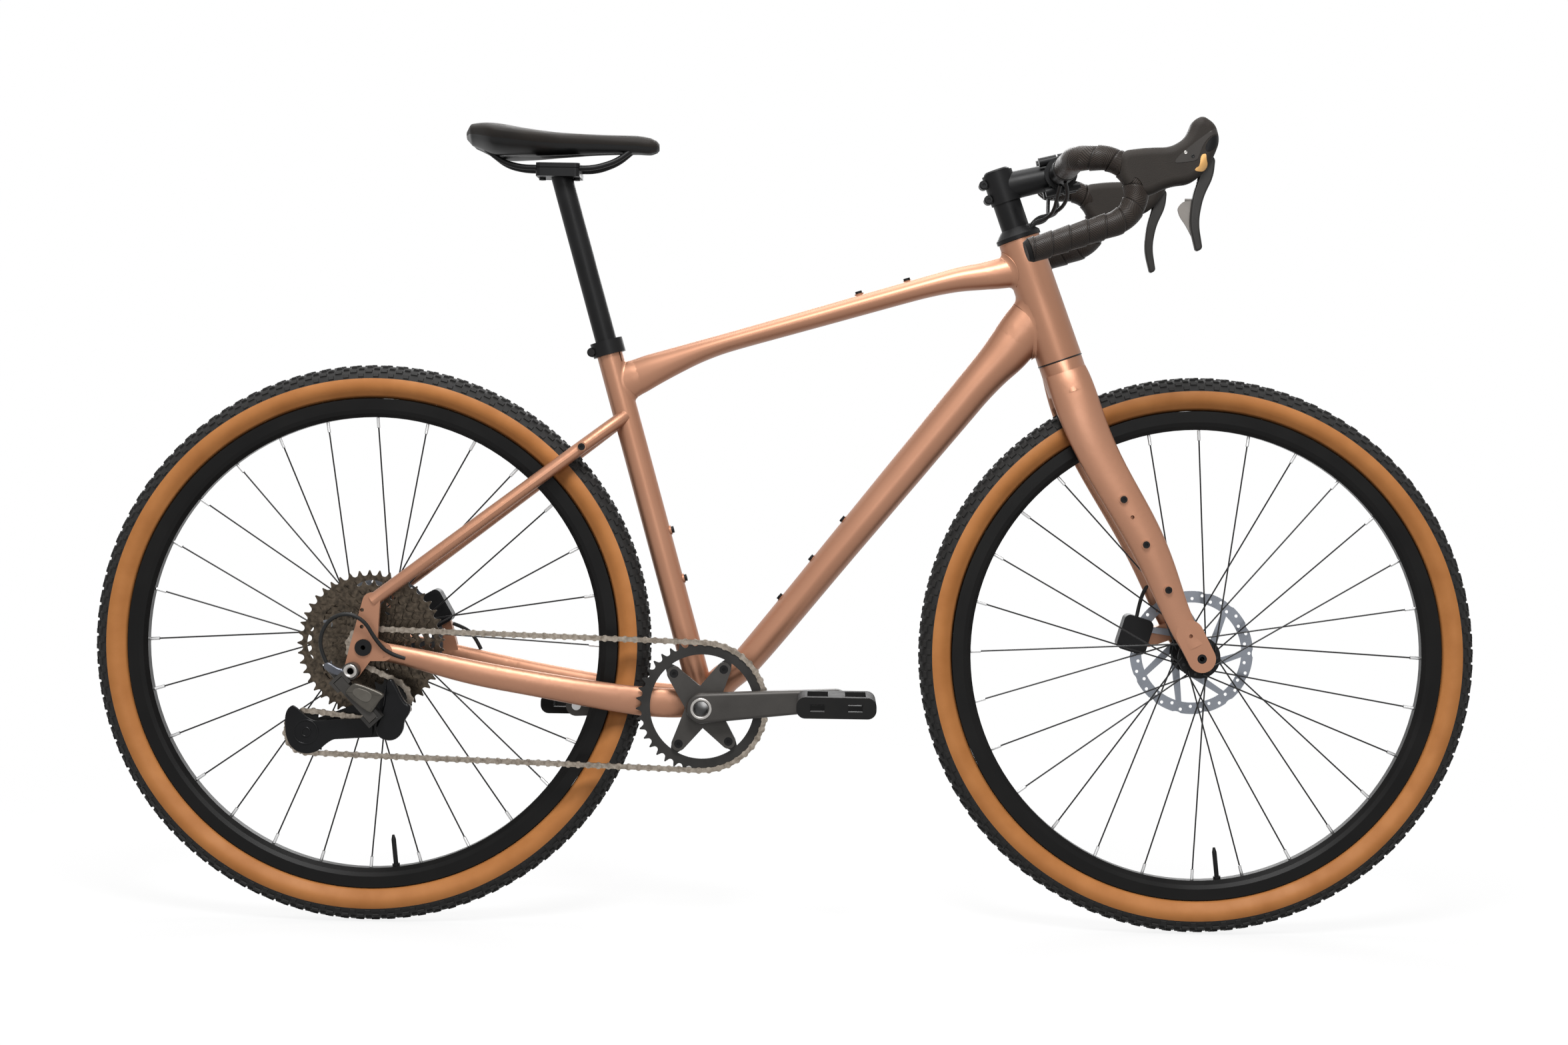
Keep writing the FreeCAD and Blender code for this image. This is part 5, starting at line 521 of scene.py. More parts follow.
def carry(piece: Piece, body: Body, node: str | None = None) -> None:
    """Set a piece on a body.

    Args:
        piece: Piece to set.
        body: Body that carries it.
        node: Solid that it stands for, if it does.
    """
    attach(piece, body.value)
    if node:
        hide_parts(node)


def angles_round(count: int) -> list[float]:
    """Angles of points evenly round a circle, in radians."""
    return [2 * math.pi * index / count for index in range(count)]


def mesh_piece(name: str, points: Sequence[Point], faces: Sequence[Sequence[int]],
               finish: Iterable[Material], choose: Callable[[int], int] | None = None,
               outward: bool = True) -> Piece:
    """Make a smooth piece from points in metres.

    Args:
        name: Name of the piece.
        points: Corners of its mesh.
        faces: Corner numbers of each face.
        finish: Materials of the piece.
        choose: Gives the material's number for a face's number.
        outward: True if the faces are turned to look outwards.

    Returns:
        The new object.
    """
    mesh = bpy.data.meshes.new(name)
    mesh.from_pydata([tuple(point) for point in points], [], [tuple(face) for face in faces])
    for material in finish:
        mesh.materials.append(material)
    for polygon in mesh.polygons:
        polygon.use_smooth = True
        if choose:
            polygon.material_index = choose(polygon.index)
    if outward:
        shell = bmesh.new()
        shell.from_mesh(mesh)
        bmesh.ops.recalc_face_normals(shell, faces=shell.faces)
        shell.to_mesh(mesh)
        shell.free()
    mesh.update()
    piece = bpy.data.objects.new(name, mesh)
    bpy.context.scene.collection.objects.link(piece)
    return piece


def grid_faces(rows: int, columns: int, closed_rows: bool) -> list[tuple[int, int, int, int]]:
    """Quads of a grid whose columns run round.

    Args:
        rows: Number of rings.
        columns: Points on each ring.
        closed_rows: True if the last ring meets the first.

    Returns:
        Corner numbers of each quad.
    """
    faces = []
    for row in range(rows if closed_rows else rows - 1):
        after = (row + 1) % rows
        for column in range(columns):
            beside = (column + 1) % columns
            faces.append((
                row * columns + column, row * columns + beside,
                after * columns + beside, after * columns + column,
            ))
    return faces


def turned_piece(name: str, centre: Point, profile: Sequence[Pair], finish: Material,
                 closed: bool = False, columns: int = 48) -> Piece:
    """Make a piece that is round about an axle across the bike.

    Args:
        name: Name of the piece.
        centre: Point on the axle.
        profile: Radii and distances on the left, in order.
        finish: Material of the piece.
        closed: True if the last ring is filled.
        columns: Points on each ring.

    Returns:
        The new object.
    """
    points: list[Point] = []
    for radius, left in profile:
        for angle in angles_round(columns):
            points.append((centre[0] + radius * math.cos(angle), left, centre[2] + radius * math.sin(angle)))
    faces: list[Sequence[int]] = list(grid_faces(len(profile), columns, False))
    if closed:
        faces.append(tuple(range(len(points) - columns, len(points))))
    return mesh_piece(name, points, faces, [finish])


def rounded_outline(corners: Sequence[Pair], passes: int = 3) -> list[Pair]:
    """Outline with its corners cut round, in metres and counter-clockwise.

    Args:
        corners: Corners along the front and up, in millimetres.
        passes: Times that the corners are cut.

    Returns:
        Points along the outline.
    """
    points = [(x * MM, z * MM) for x, z in corners]
    area = sum(a[0] * b[1] - b[0] * a[1] for a, b in zip(points, points[1:] + points[:1]))
    if area < 0:
        points.reverse()
    for _ in range(passes):
        cut = []
        for a, b in zip(points, points[1:] + points[:1]):
            for share in (CORNER_CUT_SHARE, 1 - CORNER_CUT_SHARE):
                cut.append((a[0] * (1 - share) + b[0] * share, a[1] * (1 - share) + b[1] * share))
        points = cut
    return points


def inset(outline: Sequence[Pair], depth: float) -> list[Pair]:
    """Outline moved inwards.

    Args:
        outline: Points, counter-clockwise.
        depth: Distance inwards.

    Returns:
        The moved points.
    """
    moved = []
    last = len(outline)
    for index, (x, z) in enumerate(outline):
        before, after = outline[index - 1], outline[(index + 1) % last]
        way = Vector((after[0] - before[0], after[1] - before[1])).normalized()
        moved.append((x - way.y * depth, z + way.x * depth))
    return moved


def smooth_step(values: Sequence[float], table: Sequence[Sequence[float]], along: float) -> list[float]:
    """Values of a table of stations at a place between them, on a smooth curve.

    Args:
        values: Places of the stations, in rising order.
        table: Values at each station.
        along: Place to read.

    Returns:
        The values at that place.
    """
    last = len(values) - 1
    index = max(i for i in range(last) if values[i] <= along or i == 0)
    share = (along - values[index]) / (values[index + 1] - values[index])
    before, after = max(index - 1, 0), min(index + 2, last)
    result = []
    for p0, p1, p2, p3 in zip(table[before], table[index], table[index + 1], table[after]):
        start = (p2 - p0) / 2 if index else p2 - p1
        end = (p3 - p1) / 2 if index + 1 < last else p2 - p1
        square, cube = share * share, share**3
        result.append(
            p1 * (2 * cube - 3 * square + 1) + start * (cube - 2 * square + share)
            + p2 * (3 * square - 2 * cube) + end * (cube - square)
        )
    return result


# Sub-assemblies


@dataclass(frozen=True)
class Lamp:
    """Soft square lamp, with its places and size in metres and its power in watts."""

    name: str
    place: Point
    target: Point
    size: float
    power: float

    def hang(self) -> None:
        """Put the lamp in its place and point it at its target."""
        data = bpy.data.lights.new(self.name, "AREA")
        data.size = self.size
        data.energy = self.power
        lamp = bpy.data.objects.new(self.name, data)
        lamp.location = self.place
        way = Vector(self.target) - Vector(self.place)
        lamp.rotation_euler = way.to_track_quat("-Z", "Y").to_euler()
        bpy.context.scene.collection.objects.link(lamp)


@dataclass
class Studio:
    """White studio with soft light and the photograph's camera."""

    view_distance: float = 3.24
    view_x: float = 0.1481
    view_z: float = 0.357
    pixels_per_metre: float = 1167.4
    axle_rise_pixels: float = 19.2
    axle_gap_pixels: float = 1231.2
    image: tuple[int, int] = (2352, 1568)
    centre: Pair = (1235.0, 640.0)
    sensor_width: float = 36.0
    floor_level: float = -0.286
    floor_half: float = 14.0
    floor_grey: float = 0.86
    floor_roughness: float = 0.9
    fade_reach: Pair = (0.9, 1.9)
    fade_share: Pair = (0.86, 1.0)
    glow: float = 0.12
    bounce: float = 0.1
    lamps: tuple[Lamp, ...] = (
        Lamp("key_lamp", place=(0.1, -2.2, 2.7), target=(0.1, 0.0, 0.2), size=1.1, power=112.0),
        Lamp("front_lamp", place=(0.35, -3.3, 1.05), target=(0.1, 0.0, 0.2), size=0.9, power=15.0),
        Lamp("top_lamp", place=(-0.3, 0.4, 3.0), target=(0.0, 0.0, 0.2), size=1.6, power=45.0),
        Lamp("back_lamp", place=(0.4, 2.6, 1.8), target=(0.1, 0.0, 0.2), size=2.0, power=60.0),
    )

    def camera(self) -> None:
        """Set the camera square to the bike's right side."""
        wide, high = self.image
        data = bpy.data.cameras.new("camera")
        data.sensor_width = self.sensor_width
        data.lens = self.pixels_per_metre * self.view_distance / wide * data.sensor_width
        data.shift_x = (wide / 2 - self.centre[0]) / wide
        data.shift_y = (self.centre[1] - high / 2) / wide
        camera = bpy.data.objects.new("camera", data)
        roll = math.atan2(self.axle_rise_pixels, self.axle_gap_pixels)
        turn = Matrix.Rotation(math.pi / 2, 4, "X") @ Matrix.Rotation(roll, 4, "Z")
        camera.matrix_world = Matrix.Translation((self.view_x, -self.view_distance, self.view_z)) @ turn
        bpy.context.scene.collection.objects.link(camera)
        bpy.context.scene.camera = camera

    def white_rays(self, tree: bpy.types.NodeTree) -> Socket:
        """Share that is one for rays from the camera, off gloss and through glass.

        Args:
            tree: Node tree that gets the nodes.

        Returns:
            The share.
        """
        path = tree.nodes.new("ShaderNodeLightPath")
        share = path.outputs["Is Camera Ray"]
        for name in ("Is Glossy Ray", "Is Transmission Ray"):
            larger = tree.nodes.new("ShaderNodeMath")
            larger.operation = "MAXIMUM"
            tree.links.new(share, larger.inputs[0])
            tree.links.new(path.outputs[name], larger.inputs[1])
            share = larger.outputs["Value"]
        return share

    def world(self) -> None:
        """Light the scene from all round and show white behind the bike."""
        world = bpy.data.worlds.new("studio")
        bpy.context.scene.world = world
        world.use_nodes = True
        nodes, links = world.node_tree.nodes, world.node_tree.links
        glow = nodes["Background"]
        glow.inputs["Color"].default_value = WHITE
        glow.inputs["Strength"].default_value = self.glow
        white = nodes.new("ShaderNodeBackground")
        white.inputs["Color"].default_value = WHITE
        mix = nodes.new("ShaderNodeMixShader")
        links.new(self.white_rays(world.node_tree), mix.inputs["Fac"])
        links.new(glow.outputs["Background"], mix.inputs[1])
        links.new(white.outputs["Background"], mix.inputs[2])
        links.new(mix.outputs["Shader"], nodes["World Output"].inputs["Surface"])

    def floor(self) -> None:
        """Lay a pale floor that keeps a faint shadow and turns white further out."""
        half = self.floor_half
        level = self.floor_level
        corners = [(-half, -half, level), (half, -half, level), (half, half, level), (-half, half, level)]
        canvas = Canvas("studio_floor")
        canvas.fix({"Base Color": (*[self.floor_grey] * 3, 1.0), "Roughness": self.floor_roughness})
        nodes, links = canvas.nodes, canvas.links
        reach = nodes.new("ShaderNodeVectorMath")
        reach.operation = "LENGTH"
        links.new(canvas.place, reach.inputs[0])
        fade = canvas.ranged(reach.outputs["Value"], *self.fade_reach, *self.fade_share)
        white = nodes.new("ShaderNodeEmission")
        seen = nodes.new("ShaderNodeMixShader")
        links.new(fade, seen.inputs["Fac"])
        links.new(canvas.shader.outputs["BSDF"], seen.inputs[1])
        links.new(white.outputs["Emission"], seen.inputs[2])
        dull = nodes.new("ShaderNodeBsdfDiffuse")
        dull.inputs["Color"].default_value = (*[self.bounce] * 3, 1.0)
        mix = nodes.new("ShaderNodeMixShader")
        links.new(self.white_rays(canvas.material.node_tree), mix.inputs["Fac"])
        links.new(dull.outputs["BSDF"], mix.inputs[1])
        links.new(seen.outputs["Shader"], mix.inputs[2])
        links.new(mix.outputs["Shader"], nodes["Material Output"].inputs["Surface"])
        mesh_piece("studio_floor", corners, [(0, 1, 2, 3)], [canvas.material])

    def build(self) -> None:
        """Set up the camera, light and floor."""
        bpy.context.scene.view_settings.view_transform = "Standard"
        self.camera()
        self.world()
        self.floor()
        for lamp in self.lamps:
            lamp.hang()
        LOG.info("studio, camera and lamps")


@dataclass
class Tyre:
    """Tyre with a smooth tan wall and a knobbly tread.

    Each row of knobs gives its distance from the middle, its shift as a share of the spacing, and the
    length and width of its knobs.
    """

    name: str
    centre: Point
    body: Body
    bead_radius: float = 0.3131
    bead_half_width: float = 0.0124
    wall_radius: float = 0.328
    wall_half_width: float = 0.0217
    shoulder_radius: float = 0.3425
    shoulder_half_width: float = 0.0196
    crown_radius: float = 0.3542
    crown_drop: float = 0.0036
    crown_width_share: float = 0.56
    tan_end_radius: float = 0.3405
    lining: float = 0.0022
    lining_width_share: float = 0.8
    half_steps: int = 14
    segments: int = 288
    knob_count: int = 112
    knob_height: float = 0.0019
    knob_root: float = 0.0008
    knob_root_share: float = 1.15
    knob_top_share: float = 0.86
    knob_stagger_share: float = 0.25
    tread_bend: float = 0.0215
    knob_rows: tuple[tuple[float, float, float, float], ...] = (
        (0.0, 0.0, 0.0062, 0.0042),
        (0.0056, 0.5, 0.0066, 0.004),
        (0.0108, 0.0, 0.007, 0.0042),
        (0.0156, 0.5, 0.0088, 0.0044),
        (0.0192, 0.0, 0.0074, 0.0046),
    )

    def profile(self) -> list[Pair]:
        """Half widths and radii of the casing from the right bead to the left one.

        Returns:
            Pairs of distance on the left and radius.
        """
        table = [
            (self.bead_half_width, self.bead_radius),
            (self.wall_half_width, self.wall_radius),
            (self.shoulder_half_width, self.shoulder_radius),
            (self.shoulder_half_width * self.crown_width_share, self.crown_radius - self.crown_drop),
            (0.0, self.crown_radius),
        ]
        stations = range(len(table))
        steps = self.half_steps / stations[-1]
        half = [tuple(smooth_step(stations, table, index / steps)) for index in range(self.half_steps + 1)]
        right = [(-wide, radius) for wide, radius in half]
        return right + half[-2::-1]

    def spot(self, angle: float, wide: float, radius: float) -> Point:
        """Point on the tyre.

        Args:
            angle: Turn about the axle in radians.
            wide: Distance on the left.
            radius: Distance from the axle.

        Returns:
            The point in the bike's frame.
        """
        x, y, z = self.centre
        return (x + radius * math.cos(angle), y + wide, z + radius * math.sin(angle))

    def knob(self, angle: float, wide: float, length: float,
             width: float) -> tuple[list[Point], list[tuple[int, ...]]]:
        """Tapered knob on the tread.

        Args:
            angle: Turn about the axle in radians.
            wide: Distance of its middle on the left.
            length: Length along the tread.
            width: Width across the tread.

        Returns:
            Points and faces of the knob.
        """
        bend = self.tread_bend
        lean = math.asin(max(-1.0, min(1.0, wide / bend)))
        points = []
        for lift, share in ((-self.knob_root, self.knob_root_share), (self.knob_height, self.knob_top_share)):
            for along, across in ((-1, -1), (1, -1), (1, 1), (-1, 1)):
                tilt = lean + across * width * share / 2 / bend
                radius = self.crown_radius - bend + (bend + lift) * math.cos(tilt)
                turn = angle + along * length * share / 2 / self.crown_radius
                points.append(self.spot(turn, (bend + lift) * math.sin(tilt), radius))
        faces = [(4, 5, 6, 7), (0, 1, 5, 4), (1, 2, 6, 5), (2, 3, 7, 6), (3, 0, 4, 7)]
        return points, faces

    def build(self, tread: Material, wall: Material) -> None:
        """Make the tyre's casing and knobs in place of its plain solid.

        Args:
            tread: Material of the tread.
            wall: Material of the walls.
        """
        profile = self.profile()
        inner = [
            (wide * self.lining_width_share, radius - self.lining) for wide, radius in reversed(profile[1:-1])
        ]
        ring = profile + inner
        points = []
        for angle in angles_round(self.segments):
            points.extend(self.spot(angle, wide, radius) for wide, radius in ring)
        faces = grid_faces(self.segments, len(ring), True)
        tan_columns = {
            index for index, (first, second) in enumerate(zip(profile, profile[1:]))
            if max(first[1], second[1]) < self.tan_end_radius
        }
        kinds = [1 if index % len(ring) in tan_columns else 0 for index in range(len(faces))]
        flat_from = len(faces)
        for wide, shift, length, width in self.knob_rows:
            for side in ((1,) if wide == 0 else (-1, 1)):
                stagger = shift + (self.knob_stagger_share if side > 0 else 0.0)
                for index in range(self.knob_count):
                    angle = 2 * math.pi * (index + stagger) / self.knob_count
                    corners, quads = self.knob(angle, side * wide, length, width)
                    first = len(points)
                    points.extend(corners)
                    faces.extend(tuple(first + number for number in quad) for quad in quads)
                    kinds.extend([0] * len(quads))
        piece = mesh_piece(f"{self.name}_casing", points, faces, (tread, wall), lambda number: kinds[number])
        for polygon in piece.data.polygons:
            polygon.use_smooth = polygon.index < flat_from
        carry(piece, self.body, self.name)
        LOG.info("%s with %d knobs round", self.name, self.knob_count)


@dataclass
class BarTape:
    """Tape wound about one half of the drop bar, with a band round its inner end."""

    side: Side
    bar_centre: Point = (0.446433, 0.0, 0.68501)
    start: float = 0.0785
    half_width: float = 0.21
    shoulder_radius: float = 0.03
    hook_radius: float = 0.042
    hook_turn: float = math.radians(161)
    flare: float = math.radians(9.5)
    drop_length: float = 0.1035
    radius: float = 0.0144
    lap: float = 0.0013
    lip_share: float = 0.7
    lip_width_share: float = 0.02
    under_lap_share: float = 1.06
    tuck: float = 0.0005
    tuck_from_share: float = 0.9
    tuck_slope: float = 6.0
    turn_length: float = 0.0225
    columns: int = 40
    strips: int = 12
    step: float = 0.0015
    least_length: float = 1e-5
    band_length: float = 0.0135
    band_depth: float = 0.002
    band_overhang: float = 0.0003
    band_ribs: int = 5
    rib_rise: float = 0.0005
    rib_shares: tuple[float, float, float, float] = (0.05, 0.2, 0.8, 0.95)

    def place(self, station: float) -> tuple[Vector, Vector]:
        """Point and heading on the bar.

        Args:
            station: Distance along the bar from the tape's inner end.

        Returns:
            The point and the unit heading.
        """
        out = Vector((0, self.side.value, 0))
        ahead = Vector((1, 0, 0))
        down = out * math.sin(self.flare) - Vector((0, 0, 1)) * math.cos(self.flare)
        centre = Vector(self.bar_centre)
        straight = self.half_width - self.shoulder_radius - self.start
        bend = self.shoulder_radius * math.pi / 2
        turn_centre = centre + out * (self.half_width - self.shoulder_radius) + ahead * self.shoulder_radius
        if station < straight:
            return centre + out * (self.start + station), out
        if station < straight + bend:
            angle = (station - straight) / self.shoulder_radius
            away = out * math.sin(angle) - ahead * math.cos(angle)
            return turn_centre + away * self.shoulder_radius, out * math.cos(angle) + ahead * math.sin(angle)
        past = station - straight - bend
        hook_centre = turn_centre + out * self.shoulder_radius + down * self.hook_radius
        angle = min(past / self.hook_radius, self.hook_turn)
        heading = ahead * math.cos(angle) + down * math.sin(angle)
        point = hook_centre + (ahead * math.sin(angle) - down * math.cos(angle)) * self.hook_radius
        return point + heading * max(0.0, past - self.hook_radius * self.hook_turn), heading

    def total(self) -> float:
        """Length of the bar that the tape covers."""
        straight = self.half_width - self.shoulder_radius - self.start
        bends = self.shoulder_radius * math.pi / 2 + self.hook_radius * self.hook_turn
        return straight + bends + self.drop_length

    def squares(self) -> list[Vector]:
        """Directions square to the bar, a step apart, that don't twist round it.

        Returns:
            The unit directions.
        """
        square = Vector((0, 0, -1))
        result = []
        for index in range(int(self.total() / self.step) + 2):
            heading = self.place(min(index * self.step, self.total()))[1]
            square = (square - heading * square.dot(heading)).normalized()
            result.append(square.copy())
        return result

    def spot(self, station: float, around: float, radius: float, squares: Sequence[Vector]) -> Point:
        """Point on the tape.

        Args:
            station: Distance along the bar.
            around: Share of a turn about the bar.
            radius: Distance from the bar's middle.
            squares: Directions square to the bar.

        Returns:
            The point in the bike's frame.
        """
        point, heading = self.place(station)
        square = squares[int(station / self.step)]
        square = (square - heading * square.dot(heading)).normalized()
        angle = 2 * math.pi * around * self.side.value
        return tuple(point + (square * math.cos(angle) + heading.cross(square) * math.sin(angle)) * radius)

    def profile(self) -> list[Pair]:
        """Share of the turn's length and radius across the tape, lapped edge first."""
        pairs = [(0.0, self.radius - self.tuck), (0.0, self.radius + self.lap * self.lip_share)]
        for index in range(self.strips + 1):
            share = self.lip_width_share + index / self.strips * self.under_lap_share
            rise = self.lap * max(0.0, 1.0 - share)
            fall = self.tuck * max(0.0, share - self.tuck_from_share) * self.tuck_slope
            pairs.append((share, self.radius + rise - fall))
        return pairs

    def wrap(self, name: str, finish: Material) -> Piece:
        """Make the wound tape.

        Args:
            name: Name of the piece.
            finish: Material of the tape.

        Returns:
            The new object, whose corners carry their places across and around the tape.
        """
        squares = self.squares()
        profile = self.profile()
        last = self.total()
        count = int((last / self.turn_length + 1.0) * self.columns)
        points: list[Point] = []
        stations: list[float] = []
        for index in range(count + 1):
            around = index / self.columns
            for share, radius in profile:
                station = min(max((around - 1.0 + share) * self.turn_length, 0.0), last)
                points.append(self.spot(station, around, radius, squares))
                stations.append(station)
        order = ((0, 0), (1, 0), (1, 1), (0, 1))
        if self.side is Side.LEFT:
            order = ((0, 0), (0, 1), (1, 1), (1, 0))
        wide = len(profile)
        faces: list[tuple[int, ...]] = []
        corners: list[Pair] = []
        for row in range(count):
            for column in range(wide - 1):
                first = row * wide + column
                face = tuple(first + across + around * wide for across, around in order)
                ends = [stations[number] for number in face]
                if column and max(ends) - min(ends) < self.least_length:
                    continue
                faces.append(face)
                for across, around in order:
                    corners.append((profile[column + across][0], (row + around) / self.columns))
        piece = mesh_piece(name, points, faces, [finish], outward=False)
        for attribute, part in (("tape_across", 0), ("tape_around", 1)):
            layer = piece.data.attributes.new(attribute, "FLOAT", "CORNER")
            layer.data.foreach_set("value", [pair[part] for pair in corners])
        return piece

    def band(self, name: str, finish: Material) -> Piece:
        """Make the ribbed band at the tape's inner end.

        Args:
            name: Name of the piece.
            finish: Material of the band.

        Returns:
            The new object.
        """
        ring = self.radius + self.lap
        shape = [(ring - self.band_depth, 0.0)]
        for rib in range(self.band_ribs):
            for share, rise in zip(self.rib_shares, (0.0, self.rib_rise, self.rib_rise, 0.0)):
                shape.append((ring + rise, (rib + share) / self.band_ribs * self.band_length))
        shape.append((ring - self.band_depth, self.band_length))
        sign = self.side.value
        start = sign * (self.start - self.band_overhang)
        profile = [(radius, start + sign * along) for radius, along in shape]
        return turned_piece(name, self.bar_centre, profile, finish)

    def build(self, finish: Material, band: Material) -> None:
        """Make the wound tape and its band in place of the plain tube.

        Args:
            finish: Material of the tape.
            band: Material of the band.
        """
        name = f"{self.side.name.lower()}_bar_tape"
        for piece in (self.wrap(f"{name}_wrap", finish), self.band(f"{name}_band", band)):
            carry(piece, Body.STEERING, name)
        LOG.info("%s", name)


@dataclass
class Saddle:
    """Padded saddle with a crown, drawn-in sides and a shallow channel.

    Each station gives the share of the length, the share of the width, and the shares of the height at
    the top, the edge and the base.
    """

    tail: float = -0.314
    length: float = 0.246
    width: float = 0.147
    low: float = 0.693
    height: float = 0.046
    least_width_share: float = 0.04
    crown_power: float = 0.85
    tuck: float = 0.8
    tuck_power: float = 0.8
    base_slope: float = 1.12
    base_hollow_share: float = 0.3
    base_hollow_from_share: float = 0.8
    rings: int = 96
    columns: int = 72
    channel_depth: float = 0.0024
    channel_width: float = 0.012
    channel_spread: float = 0.004
    channel_from_share: float = 0.08
    channel_run_share: float = 0.84
    channel_power: float = 0.7
    seam_depth: float = 0.0007
    seam_level_share: float = -0.22
    seam_width_share: float = 0.05
    shell_shares: Pair = (0.54, 0.96)
    fill: float = 0.8
    stations: tuple[tuple[float, float, float, float, float], ...] = (
        (0.000, 0.20, 0.78, 0.66, 0.52),
        (0.035, 0.60, 0.96, 0.74, 0.30),
        (0.160, 0.97, 0.97, 0.66, 0.02),
        (0.320, 0.84, 0.85, 0.58, 0.02),
        (0.480, 0.52, 0.78, 0.54, 0.08),
        (0.680, 0.33, 0.76, 0.54, 0.16),
        (0.880, 0.27, 0.74, 0.50, 0.20),
        (0.955, 0.235, 0.67, 0.47, 0.19),
        (0.988, 0.17, 0.59, 0.45, 0.25),
        (1.000, 0.09, 0.51, 0.42, 0.32),
    )

    def ring(self, along: float) -> list[Point]:
        """Section of the saddle.

        Args:
            along: Share of the length from tail to nose.

        Returns:
            Points round the section.
        """
        places = [row[0] for row in self.stations]
        half, top, edge, low = smooth_step(places, [row[1:] for row in self.stations], along)
        half = max(half, self.least_width_share) * self.width / 2
        top_level, edge_level, low_level = (self.low + share * self.height for share in (top, edge, low))
        x = self.tail + along * self.length
        channel_share = min(max((along - self.channel_from_share) / self.channel_run_share, 0.0), 1.0)
        channel = self.channel_depth * math.sin(math.pi * channel_share) ** self.channel_power
        channel_half = self.channel_width + self.channel_spread * (1 - along)
        points = []
        for angle in angles_round(self.columns):
            wide, rise = math.cos(angle), math.sin(angle)
            if rise >= 0:
                reach = half * math.copysign(abs(wide) ** self.crown_power, wide)
                level = edge_level + (top_level - edge_level) * rise**self.crown_power
                level -= channel * math.exp(-((reach / channel_half) ** 2))
            else:
                fall = (-rise) ** self.tuck_power
                reach = half * wide * (1 - (1 - self.tuck) * fall)
                under = max(0.0, fall - self.base_hollow_from_share) / (1 - self.base_hollow_from_share)
                drop = min(fall * self.base_slope, 1.0) - self.base_hollow_share * under * (1 - abs(wide))
                level = edge_level - (edge_level - low_level) * drop
            seam = math.exp(-(((rise - self.seam_level_share) / self.seam_width_share) ** 2))
            reach -= math.copysign(self.seam_depth * seam, reach)
            points.append((x, reach, level))
        return points

    def build(self, finish: Material, shell: Material) -> None:
        """Make the saddle's pad in place of its plain solid.

        Args:
            finish: Material of the cover.
            shell: Material of the shell under it.
        """
        points: list[Point] = []
        for index in range(self.rings):
            points.extend(self.ring((1 - math.cos(math.pi * index / (self.rings - 1))) / 2))
        faces: list[Sequence[int]] = list(grid_faces(self.rings, self.columns, False))
        sides = len(faces)
        faces.append(tuple(reversed(range(self.columns))))
        faces.append(tuple(range(len(points) - self.columns, len(points))))
        shell_from, shell_to = (int(self.columns * share) for share in self.shell_shares)

        def part(number: int) -> int:
            """Material's number of a face."""
            return int(number < sides and shell_from <= number % self.columns < shell_to)

        piece = mesh_piece("saddle_pad", points, faces, [finish, shell], part)
        carry(piece, Body.SEAT, "saddle")
        LOG.info("saddle pad")


@dataclass(frozen=True)
class Route:
    """Way of one hose in millimetres, with the solid that it stands for."""

    name: str
    node: str
    body: Body
    points: tuple[Point, ...]


@dataclass
class Hoses:
    """Brake hoses and shift housing where they run outside the frame."""

    radius: float = 0.0025
    round_steps: int = 4
    steps: int = 10
    curve_order: int = 3
    routes: tuple[Route, ...] = (
        Route("right_brake_hose", "control_cables", Body.STEERING, (
            (446, -84, 668), (452, -70, 655), (448, -44, 640), (434, -20, 632), (414, -8, 628),
            (407, -6, 612),
        )),
        Route("right_shift_housing", "control_cables", Body.STEERING, (
            (440, -84, 664), (438, -66, 650), (436, -42, 634), (428, -24, 626), (412, -15, 622),
            (406, -13, 608),
        )),
        Route("left_brake_hose", "control_cables", Body.STEERING, (
            (446, 84, 668), (452, 70, 655), (448, 44, 640), (434, 20, 632), (414, 8, 628), (407, 6, 612),
        )),
        Route("left_spare_housing", "control_cables", Body.STEERING, (
            (440, 84, 664), (438, 66, 650), (436, 42, 634), (428, 24, 626), (412, 15, 622), (406, 13, 608),
        )),
        Route("front_caliper_hose", "control_cables", Body.STEERING, (
            (582, 50, 166), (571, 47.5, 154), (563, 42, 134), (559, 38, 115),
        )),
        Route("rear_shift_loop", "frame_cables", Body.FRAME, (
            (-372, -76, 58), (-392, -80, 63), (-408, -87, 82), (-421, -92, 106), (-443, -95, 116),
            (-465, -95, 107), (-476, -94, 86), (-474, -92, 64), (-465, -90, 47),
        )),
        Route("rear_caliper_hose", "frame_cables", Body.FRAME, (
            (-296, 66, 58), (-304, 66, 74), (-316, 62, 86), (-332, 57, 92),
        )),
    )

    def curve(self, route: Route, finish: Material) -> Piece:
        """Make one smooth hose.

        Args:
            route: Way of the hose.
            finish: Material of the hose.

        Returns:
            The hose's curve.
        """
        data = bpy.data.curves.new(route.name, "CURVE")
        data.dimensions = "3D"
        data.bevel_depth = self.radius
        data.bevel_resolution = self.round_steps
        data.resolution_u = self.steps
        data.use_fill_caps = True
        spline = data.splines.new("NURBS")
        spline.points.add(len(route.points) - 1)
        for knot, point in zip(spline.points, route.points):
            knot.co = (*(part * MM for part in point), 1.0)
        spline.order_u = self.curve_order
        spline.use_endpoint_u = True
        data.materials.append(finish)
        piece = bpy.data.objects.new(route.name, data)
        bpy.context.scene.collection.objects.link(piece)
        return piece

    def length(self, piece: Piece) -> float:
        """Length of a hose along its middle, in metres."""
        return sum(spline.calc_length() for spline in piece.data.splines)

    def build(self, finish: Material) -> None:
        """Make every hose in place of its plain tube.

        Args:
            finish: Material of the hoses.
        """
        for route in self.routes:
            piece = self.curve(route, finish)
            carry(piece, route.body, route.node)
            round(self.length(piece), 4)
            LOG.info("%s", route.name)


